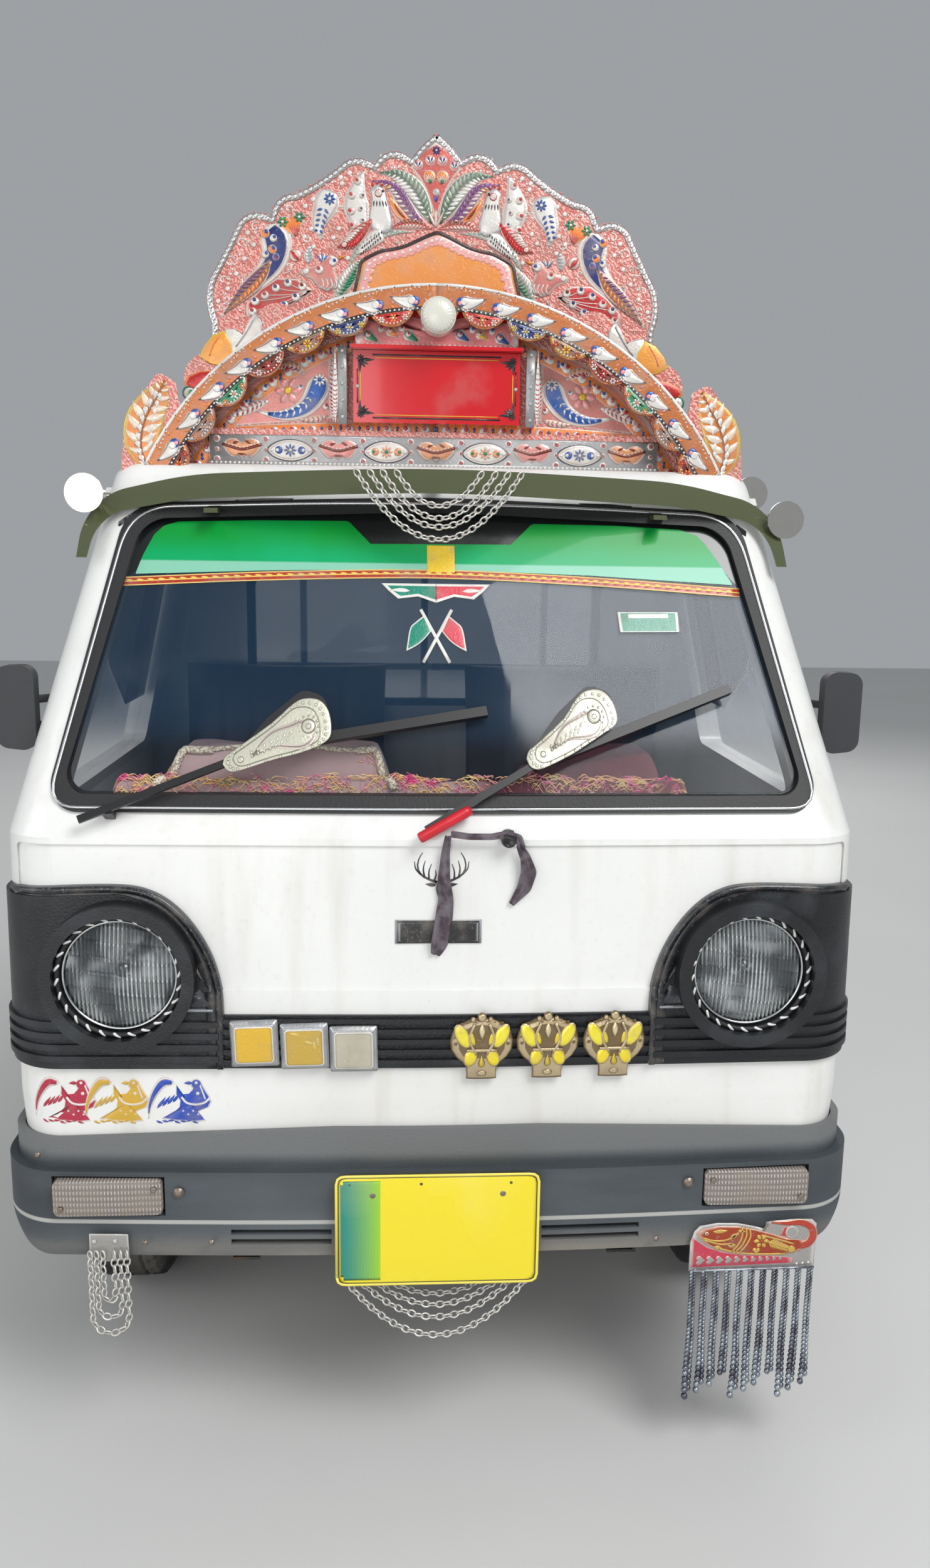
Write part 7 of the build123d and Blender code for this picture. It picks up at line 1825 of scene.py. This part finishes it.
# Heads, dots and rims of the lobes, from the middle outwards
LOBE_PAINTS = [(MAROON, ORANGE, YELLOW), (RED, WHITE, ORANGE), (NAVY, YELLOW, SILVER), (BROWN, RED, YELLOW),
               (MAROON, WHITE, RED), (GREEN, ORANGE, WHITE), (BROWN, ORANGE, SILVER), (MAROON, RED, ORANGE)]
for index, (base, dots, rim_paint) in enumerate(LOBE_PAINTS):
    angle = 90 + 8.5 * index
    centre = on_arch(546, angle)
    spread = np.radians(angle + 180 + np.linspace(-62, 62, 15))
    bow = centre + 39.5 * np.stack([np.cos(spread), np.sin(spread)], 1)
    top = on_arch(527.5, np.linspace(angle + 3.6, angle - 3.6, 7))
    awning.dome(np.vstack([bow[::-1], top[::-1]]), base, rim_paint, 1.6, 0.10, centre=on_arch(517, angle))
    for side in (-1, 0, 1):
        x, z = on_arch(517.5, angle + side * 2.25)
        awning.flower(x, z, 8.0 if side == 0 else 6.0, 6, dots if side else rim_paint,
                      rim_paint if side else dots,
                      None, 1.5)
    for station in np.linspace(-58, 58, 13):
        x = centre[0] + 36.5 * cos(radians(angle + 180 + station))
        z = centre[1] + 36.5 * sin(radians(angle + 180 + station))
        awning.disc(x, z, 1.7, WHITE, None, 1.0, 6, 1.2)
awning.mirror()
awning.make("arch_relief", ARCH_FACE, foil)

# Curved board under the awning: a banded border that follows the arch, a level band over the row of
# lips and eyes, and paisleys and flowers in the corners between.
BOARD_FACE = 450.0
board = Relief()


def moons_along(relief, line, pitch, radius, paints, marks, base):
    """White moons with dots, spaced along a line, and a blue hourglass between each two."""
    lengths = np.concatenate([[0], np.cumsum(np.linalg.norm(np.diff(line, axis=0), axis=1))])
    for count, station in enumerate(np.arange(pitch * 0.5, lengths[-1], pitch)):
        x, z = (np.interp(station, lengths, line[:, k]) for k in range(2))
        relief.moon(x, z, radius, paints[count % len(paints)], 2.2, WHITE, PALE, base)
        x, z = (np.interp(station + pitch * 0.5, lengths, line[:, k]) for k in range(2))
        for tilt in (-1, 1):
            relief.leaf(x, z - tilt * 7, 1.57 * tilt, 9, 6.5, marks, None, 0, 1.0, base, 4, 0.5)


border = on_arch(501, np.linspace(93, 148, 60))
board.strip(border, 13.5, ORANGE, PALE, 1.2, 0.10)
moons_along(board, border, 33.0, 8.6, (RED, ROSE), BLUE, 1.2)
level = curve_through([(-404, 1712), (-330, 1721), (-240, 1726), (-150, 1729), (0, 1731)], 30)
board.strip(level, 13.0, ORANGE, PALE, 1.2, 0.10)
moons_along(board, level, 33.6, 8.8, (RED, ROSE), BLUE, 1.2)
# Corner field between the two bands
board.dome([(-400, 1728), (-386, 1752), (-350, 1790), (-306, 1826), (-262, 1852), (-222, 1868), (-186, 1872),
            (-184, 1748), (-260, 1741), (-340, 1734)], PINK, PALE, 0.7, 0.03, centre=(-262, 1775))
board.paisley([(-206, 1822), (-210, 1796), (-232, 1766), (-270, 1752), (-318, 1757)], 23, BLUE, WHITE, None,
              1.0, 0.25)
board.sprig([(-214, 1800), (-234, 1769), (-268, 1755), (-305, 1756)], 11, 9, WHITE, WHITE, None, None, 2.6)
board.flower(-206, 1813, 12, 8, WHITE, BLUE, None, 2.6)
board.flower(-262, 1794, 25, 6, (0.80, 0.30, 0.30), YELLOW, PALE, 0.9)
board.sprig([(-296, 1775), (-318, 1768), (-345, 1756), (-372, 1745)], 10, 9, SALMON, SALMON, WHITE, PALE, 0.8)
board.sprig([(-232, 1822), (-246, 1832), (-266, 1836), (-284, 1828)], 9, 8, RED, ORANGE, PALE, PALE, 0.8)
board.sprig([(-192, 1752), (-206, 1748), (-226, 1745), (-246, 1746)], 6, 7, RED, ORANGE, PALE, PALE, 0.8)
for x, z, r, dot in ((-302, 1798, 7, BLUE), (-318, 1785, 6, RED), (-226, 1846, 7, BLUE), (-196, 1856, 6, RED),
                     (-336, 1772, 6, BLUE), (-196, 1768, 6, RED), (-240, 1800, 5, BLUE),
                     (-284, 1812, 5, RED)):
    board.moon(x, z, r, dot, 1.0, WHITE, PALE, 0.8)
# White and red feather strips beside the sign
board.sprig([(-182, 1742), (-183, 1775), (-183, 1820), (-181, 1872)], 7.5, 17, (0.66, 0.10, 0.10),
            (0.66, 0.10, 0.10),
            WHITE, PALE, 0.9)
board.mirror()
board.make("board_relief", BOARD_FACE, foil)

# Base row: silver foil with lips and eyes in turn, rings between them and a beaded strip below.
ROW_FACE = 438.0
row = Relief()
row.strip(np.array([(-399.0, 1691.0), (-200.0, 1692.0), (0.0, 1692.0)]), 26.0, (0.42, 0.42, 0.43), SILVER,
          0.8, 0.02)
lips = np.array([(-37, 5), (-30, 14), (-20, 18), (-10, 17), (0, 10), (10, 17), (20, 18), (30, 14), (37, 5),
                 (30, -6),
                 (20, -15), (14, -16), (7, -11), (0, -18), (-7, -11), (-14, -16), (-20, -15), (-30, -6)],
                float)
smile = curve_through([(-34, 6), (-18, 1), (0, -3), (18, 1), (34, 6)], 12)


def draw_lips(x, paint, dark):
    """Three joined hearts with a curved mouth line of beads."""
    row.dome(lips * 0.98 + (x, 1693), paint, PALE, 2.0, 0.10, 0.7)
    row.strip(smile + (x, 1694), 2.6, dark, None, 0.9, base=2.4)
    for bead in smile[1:-1:1]:
        row.disc(x + bead[0], 1697.5 + bead[1], 1.5, WHITE, None, 1.0, 6, 2.5)
    for tilt in (-16, 16):
        row.leaf(x + tilt, 1701, 0.3 * (1 if tilt < 0 else 9), 12, 5, dark, None, 0, 0.8, 2.6, 5)
    row.leaf(x - 8, 1683, 0.0, 16, 4, dark, None, 0, 0.8, 2.5, 5)


def draw_eye(x, paint, pupil, rays):
    """Pointed oval in steps with a flower in the middle and a moon each side."""
    t = np.linspace(0, 2 * pi, 28, endpoint=False)
    oval = np.stack([43 * np.sign(np.cos(t)) * np.abs(np.cos(t)) ** 1.0,
                     19.5 * np.sin(t) * np.abs(np.sin(t)) ** 0.35], 1)
    row.dome(oval + (x, 1691), WHITE, (0.06, 0.06, 0.07), 1.4, 0.07, 0.7)
    row.dome(oval * (0.86, 0.80) + (x, 1691), paint, PALE, 0.9, 0.10, 2.0)
    row.flower(x, 1691, 11.5, 8, pupil, rays, WHITE, 2.9)
    for side in (-1, 1):
        row.moon(x + side * 20, 1691, 6.8, rays, 1.57 - side * 1.57, pupil, None, 2.9)
        row.leaf(x + side * 28, 1691, 1.57 - side * 1.57, 10, 5, WHITE, None, 0, 0.8, 2.9, 4)


for x, paint, dark in ((-343, (0.62, 0.27, 0.13), MAROON), (-173, (0.70, 0.27, 0.25), MAROON)):
    draw_lips(x, paint, dark)
draw_eye(-258, WHITE, BLUE, WHITE)
draw_eye(-88, WHITE, (0.72, 0.30, 0.15), GREEN)
for x in (-387, -301, -216, -130, -45):
    for z, radius in ((1709, 6.5), (1691, 4.5), (1674, 6.5)):
        row.disc(x, z, radius, (0.36, 0.10, 0.10), WHITE, 1.2, 12, 0.7, 0.35)
row.mirror()
draw_lips(0, (0.62, 0.27, 0.13), MAROON)
row.strip(np.array([(-400.0, 1668.5), (400.0, 1668.5)]), 3.4, SILVER, None, 2.0, 0.05, 0.6)
for x in np.arange(-396, 400, 8.0):
    row.disc(x, 1668.5, 2.6, WHITE, None, 1.6, 6, 2.2)
row.make("row_relief", ROW_FACE, foil)

# Sign: a red painted box between two grey posts, its face bare inside a double black line. A shelf board
# with painted clouds stands on it under the round lamp.
SIGN_FACE = 420.0
sign_paint = Finish("sign_red", (0.56, 0.008, 0.015), 0.2, Coat_Weight=0.6, Coat_Roughness=0.05)
sign_dust = sign_paint.noise(0.09, 5.0).clear(0.5, 0.8)
sign_paint.feed("Base Color", sign_paint.mix((0.55, 0.006, 0.012), (0.44, 0.10, 0.09), sign_dust * 0.6))
sign_paint.feed("Roughness", 0.16 + sign_dust * 0.3)
sign_paint.put("sign_box")
post_grey = (0.30, 0.31, 0.31)
sign = Relief()
for inset, half, paint in ((7.5, 1.4, BLACK), (12.5, 0.7, YELLOW)):
    wide, low, high = 146 - inset, 1740 + inset, 1860.5 - inset
    for first, last in (((-wide + 26, high), (wide - 26, high)), ((-wide + 26, low), (wide - 26, low)),
                        ((-wide, low + 24), (-wide, high - 24)), ((wide, low + 24), (wide, high - 24))):
        line = np.linspace(first, last, 6)
        sign.strip(line, half, paint, None, 0.5)
for side in (-1, 1):
    for z, lift in ((1754, 1), (1846, -1)):
        x = side * 133
        sign.flower(x, z, 7.5, 8, BLACK, BLACK, None, 0)
        for turn in (0.0, 0.55, 1.02, 1.57):
            angle = (0.0 if side < 0 else pi) + (turn if (side < 0) == (lift > 0) else -turn)
            sign.leaf(x, z, angle, 24 - 8 * abs(sin(2 * turn)), 6, BLACK, None, 0.4 * side * lift, 0.6, 0, 6)
    sign.disc(side * 139, 1800, 3.2, SILVER, None, 1.6, 10, 0.2)
    sign.strip(np.linspace((side * 165, 1736), (side * 165, 1866), 4), 8.0, post_grey, None, 1.6, 0.1)
    for z in (1748, 1776, 1804, 1832, 1858):
        sign.disc(side * 165, z, 3.4, SILVER, None, 2.4, 8, 1.4)
    sign.sprig([(side * 177.5, 1738), (side * 177.5, 1790), (side * 177.5, 1866)], 5, 15, RED, RED, WHITE,
               None, 0)
sign.make("sign_relief", SIGN_FACE, foil)

shelf = Relief()
shelf.dome(mirrored([(-144, 1868), (-144, 1896), (-132, 1910), (-112, 1914), (-92, 1908), (-76, 1917),
                     (-52, 1921),
                     (-30, 1915), (-12, 1925), (0, 1929)]), (0.74, 0.22, 0.22), WHITE, 1.2, 0.05,
           centre=(0, 1890))
for x, z, radius, paint in ((-116, 1884, 15, GREEN), (-78, 1892, 14, ORANGE), (-46, 1886, 15, GREEN),
                            (44, 1888, 15, BLUE), (78, 1890, 13, YELLOW), (114, 1884, 15, BLUE)):
    shelf.paisley([(x - radius * 0.7, z + radius * 0.5), (x, z), (x + radius, z - radius * 0.6)],
                  radius * 0.72, paint,
                  WHITE, None, 1.0, 0.4)
    shelf.moon(x - radius * 0.3, z + radius * 0.2, radius * 0.34, RED, 1.0, WHITE, None, 3.2)
for x in (-134, -98, -62, -22, 22, 62, 96, 134):
    shelf.moon(x, 1902 - abs(x) * 0.05, 6.5, (RED, BLUE)[x > 0], 1.2, WHITE, PALE, 1.0)
for x in np.arange(-140, 141, 9.0):
    shelf.disc(x, 1872, 2.6, WHITE, None, 1.4, 6, 1.0)
shelf.make("shelf_relief", 430.0, foil)

# Lamp over the sign: a fluted opal dome
opal = Finish("opal_lens", (0.62, 0.61, 0.54), 0.22, Coat_Weight=0.4)
opal.put("crown_lamp")
turn = np.linspace(0, 2 * pi, 96, endpoint=False)
shares = np.array([0.0, 0.16, 0.30, 0.44, 0.58, 0.72, 0.85, 0.95, 1.0, 1.0])
fluted = (shares[:, None] > 0.2) * (shares[:, None] < 0.97)
radius = 28.5 * shares[:, None] * (1 + 0.035 * np.cos(24 * turn)[None] * fluted)
bulge = 11.0 * np.sqrt(np.clip(1 - shares ** 2, 0, 1)) + 1.0
bulge[-1] = -2.0
points = np.stack([radius * np.cos(turn), np.broadcast_to(FRONT_MM + 363 - bulge[:, None], radius.shape),
                   1910 + radius * np.sin(turn)], -1).reshape(-1, 3) / 1000
lens_dome = make_object("crown_lamp_lens", points, grid_faces(10, 96, close_columns=True))
opal.put(lens_dome)
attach(lens_dome, "truck")

# Cloud panel over the arch: orange, bare, with a pink scalloped border and a dark rolled edge
cloud = Relief()
cloud_edge = curve_through(mirrored([(-147, 1946), (-146, 1965), (-139, 1992), (-134, 2012), (-118, 2022),
                                     (-100, 2030), (-78, 2034), (-56, 2040), (-34, 2050), (-14, 2059),
                                     (0, 2063)]), 60)
cloud.dome(cloud_edge, (0.74, 0.28, 0.07), None, 0.8, 0.02, centre=(0, 1990))
cloud.strip(cloud_edge * (0.985, 1) + (0, -1.5), 3.0, (0.05, 0.03, 0.03), None, 2.6, 0.1, 0.4)
inner = (cloud_edge - (0, 1975)) * (0.89, 0.86) + (0, 1975)
cloud.strip(inner, 7.0, (0.78, 0.36, 0.34), PALE, 1.2, 0.14, 0.7)
for x, z in inner[1:-1:2]:
    cloud.disc(x * 0.94, 1975 + (z - 1975) * 0.93, 5.4, (0.78, 0.36, 0.34), None, 1.0, 8, 0.7)
    cloud.disc(x, z, 3.0, WHITE, None, 1.0, 8, 1.7)
cloud.make("cloud_relief", BOARD_FACE, foil)

# Petals and feathers beside the arch, each a cut board of its own with a rolled edge
petals = Relief()
petals.dome([(-318, 1926), (-330, 1906), (-341, 1885), (-356, 1896), (-372, 1895), (-372, 1876), (-362, 1845),
             (-330, 1860), (-304, 1882), (-306, 1908)], WHITE, SILVER, 1.6, 0.06)
petals.dome([(-372, 1893), (-392, 1884), (-408, 1866), (-416, 1848), (-396, 1836), (-366, 1832), (-356, 1846),
             (-360, 1872)], (0.80, 0.34, 0.06), YELLOW, 1.6, 0.06, 1.4)
petals.dome([(-444, 1802), (-437, 1814), (-417, 1823), (-392, 1826), (-367, 1821), (-360, 1808), (-380, 1796),
             (-412, 1792), (-436, 1793)], RED, ORANGE, 1.6, 0.08, 2.8)
for line, paint in ((((-318, 1916), (-334, 1890), (-352, 1866)), SILVER),
                    (((-380, 1884), (-392, 1866), (-398, 1850)), ORANGE),
                    (((-434, 1804), (-410, 1810), (-384, 1812)), MAROON)):
    petals.strip(curve_through(line, 8), 1.2, paint, None, 0.7, base=3.2)
petals.mirror()
petals.make("petal_relief", 456.0, foil)

wings = Relief()
wings.sprig([(-500, 1650), (-512, 1690), (-503, 1735), (-480, 1775), (-466, 1800)], 33, 9, (0.80, 0.66, 0.52),
            (0.80, 0.66, 0.52), (0.66, 0.22, 0.05), (0.60, 0.40, 0.10), 0.0, 0.9, (0.32, 0.10, 0.03))
for step, share in enumerate(np.linspace(0.06, 0.94, 10)):
    x, z = curve_through([(-512, 1652), (-524, 1690), (-514, 1738), (-488, 1782)], 11)[step]
    wings.leaf(x + 10, z - 2, 2.3 - share * 0.9, 17, 12, WHITE, (0.30, 0.10, 0.05), 0.5, 1.2, 1.6, 6, 1.6)
    x, z = curve_through([(-486, 1646), (-490, 1690), (-480, 1735), (-462, 1778)], 11)[step]
    wings.leaf(x - 6, z, 0.9 + share * 0.9, 15, 8, WHITE, None, -0.5, 1.2, 1.6, 6, 1.6)
wings.mirror()
wings.make("wing_relief", 401.0, foil)
hearts = Relief()
hearts.heart(-424, 1782, 46, 0.12, WHITE, (0.02, 0.16, 0.09))
hearts.heart(-424, 1784, 27, 0.12, (0.02, 0.30, 0.16), PALE, 1.6)
hearts.heart(-424, 1786, 13, 0.12, RED, None, 2.8)
hearts.mirror()
hearts.make("heart_relief", 449.0, foil)

# Horns: chrome trumpets on the roof's edges.
chrome = Finish("horn_chrome", (0.70, 0.67, 0.63), 0.13, 1.0)
chrome.feed("Roughness", 0.08 + chrome.noise(0.012, 4.0) * 0.16)
chrome.put("roof_horns")

# Tyres. Black rubber moulded with a zigzag rib tread and shoulder blocks, grey with road dust. Each one
# is held on its pressed steel rim by its two beads.
TREAD_BLOCKS = 40
TREAD_DEPTH = 0.007


def tyre(corner):
    """Surface turned about the wheel's axis: a closed section of (radius, across) points. On the tread the
    radius loses TREAD_DEPTH exp(-(d / 3.4)^4) at distance d mm from three zigzag grooves, and the same in
    every second part of the shoulders."""
    low, high = (np.array(k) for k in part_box("tyre_" + corner))
    middle = (low + high) / 2
    outer = high[2] - middle[2]
    half = (high[0] - low[0]) / 2
    knots = [(0.1530, 0.034), (0.1532, 0.044), (0.1640, 0.0465), (0.1700, 0.0520), (0.1900, half - 0.003),
             (0.2050, half), (0.2220, half - 0.001), (0.2440, half - 0.005), (0.2560, half - 0.011),
             (outer - 0.0035, half - 0.017)]
    wall = np.array(knots)
    wall = np.stack([np.interp(np.linspace(0, 9, 28), range(10), wall[:, k]) for k in (0, 1)], 1)
    wall[1:-1] = (wall[:-2] + wall[1:-1] * 2 + wall[2:]) / 4
    wall[:, 1] += 0.0012 * np.exp(-((wall[:, 0] - 0.236) / 0.002) ** 2)
    across = np.linspace(half - 0.018, -(half - 0.018), 46)
    crown = np.stack([outer - 0.0035 * (across / half) ** 2, across], 1)
    inside = np.array([(0.1680, -0.036), (0.2050, -half + 0.008), (outer - 0.018, -half + 0.022),
                       (outer - 0.016, half - 0.022), (0.2050, half - 0.008), (0.1680, 0.036)])
    section = np.concatenate([wall, crown, wall[::-1] * (1, -1), inside])
    turn = np.linspace(0, 2 * pi, TREAD_BLOCKS * 6, endpoint=False)[None, :]
    zigzag = 3.4 * np.abs(((turn * TREAD_BLOCKS / (2 * pi)) % 1) * 2 - 1)
    width = section[:, 1][:, None] * 1000
    groove = sum(np.exp(-((width - at - zigzag * way) / 2.6) ** 4) for at,
                 way in ((-29, 1), (0, -1), (29, 1)))
    block_gap = (((turn * TREAD_BLOCKS / (2 * pi)) % 1) > 0.62) * (np.abs(width) > 41)
    before_bead = np.arange(len(section)) < len(section) - 6
    on_tread = (section[:, 0] > outer - 0.009)[:, None] & before_bead[:, None]
    radius = section[:, 0][:, None] - TREAD_DEPTH * np.clip(groove + block_gap, 0, 1) * on_tread
    points = np.stack([np.broadcast_to(section[:, 1][:, None], radius.shape) + middle[0],
                       radius * np.cos(turn) + middle[1], radius * np.sin(turn) + middle[2]],
                      -1).reshape(-1, 3)
    made = make_object("tread_" + corner, points,
                       grid_faces(len(section), turn.size, close_rows=True, close_columns=True)[:, ::-1])
    tread_rubber.put(made)
    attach(made, "wheel_" + corner)
    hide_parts("tyre_" + corner)


for corner in CORNERS:
    tyre(corner)

# Door and gate fittings. A pale cord is bound along the front edge of each rain guard.
# The side gates have two steel latches each and a row of rope hooks, bolted on, in rusty steel.
guard_cord = Finish("twisted_cord", (0.74, 0.74, 0.72), 0.5)
latch_steel = Finish("latch_steel", (0.34, 0.32, 0.29), 0.45, 0.7)
latch_steel.patches((0.34, 0.33, 0.31), RUST, 0.03, 4.0, (0.5, 0.7))
for side_name in ("left", "right"):
    side = side_sign("door_" + side_name)
    z = np.linspace(1286, 1560, 60)
    edge = np.stack([beside_window(side, z, 12), 357.5 + (z - 1272) * 0.4325 + FRONT_MM, z], 1)
    dressed("guard_cord_" + side_name, [tube(edge / 1000, 0.0052, 10)], guard_cord, "door_" + side_name)
    fittings = []
    for hook_depth in (1.42, 1.80, 2.14, 2.46, 2.80, 3.06):
        hook = np.array([(0.690, 0, 0.894), (0.700, 0, 0.890), (0.704, 0, 0.878), (0.703, 0, 0.868),
                         (0.709, 0, 0.861),
                         (0.716, 0, 0.867)])
        hook[:, 1] = hook_depth + FRONT_Y
        fittings.append(tube(hook * (side, 1, 1), 0.0035, 8))
    for latch_depth in (1.290, 3.180):
        lever = np.array([(0.692, 0, 0.862), (0.701, 0, 0.858), (0.703, 0, 0.820), (0.699, 0, 0.790)])
        lever[:, 1] = latch_depth + FRONT_Y
        fittings.append(tube(lever * (side, 1, 1), 0.0065, 10))
    dressed("gate_fittings_" + side_name, fittings, latch_steel, "side_gate_" + side_name)

low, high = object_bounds()
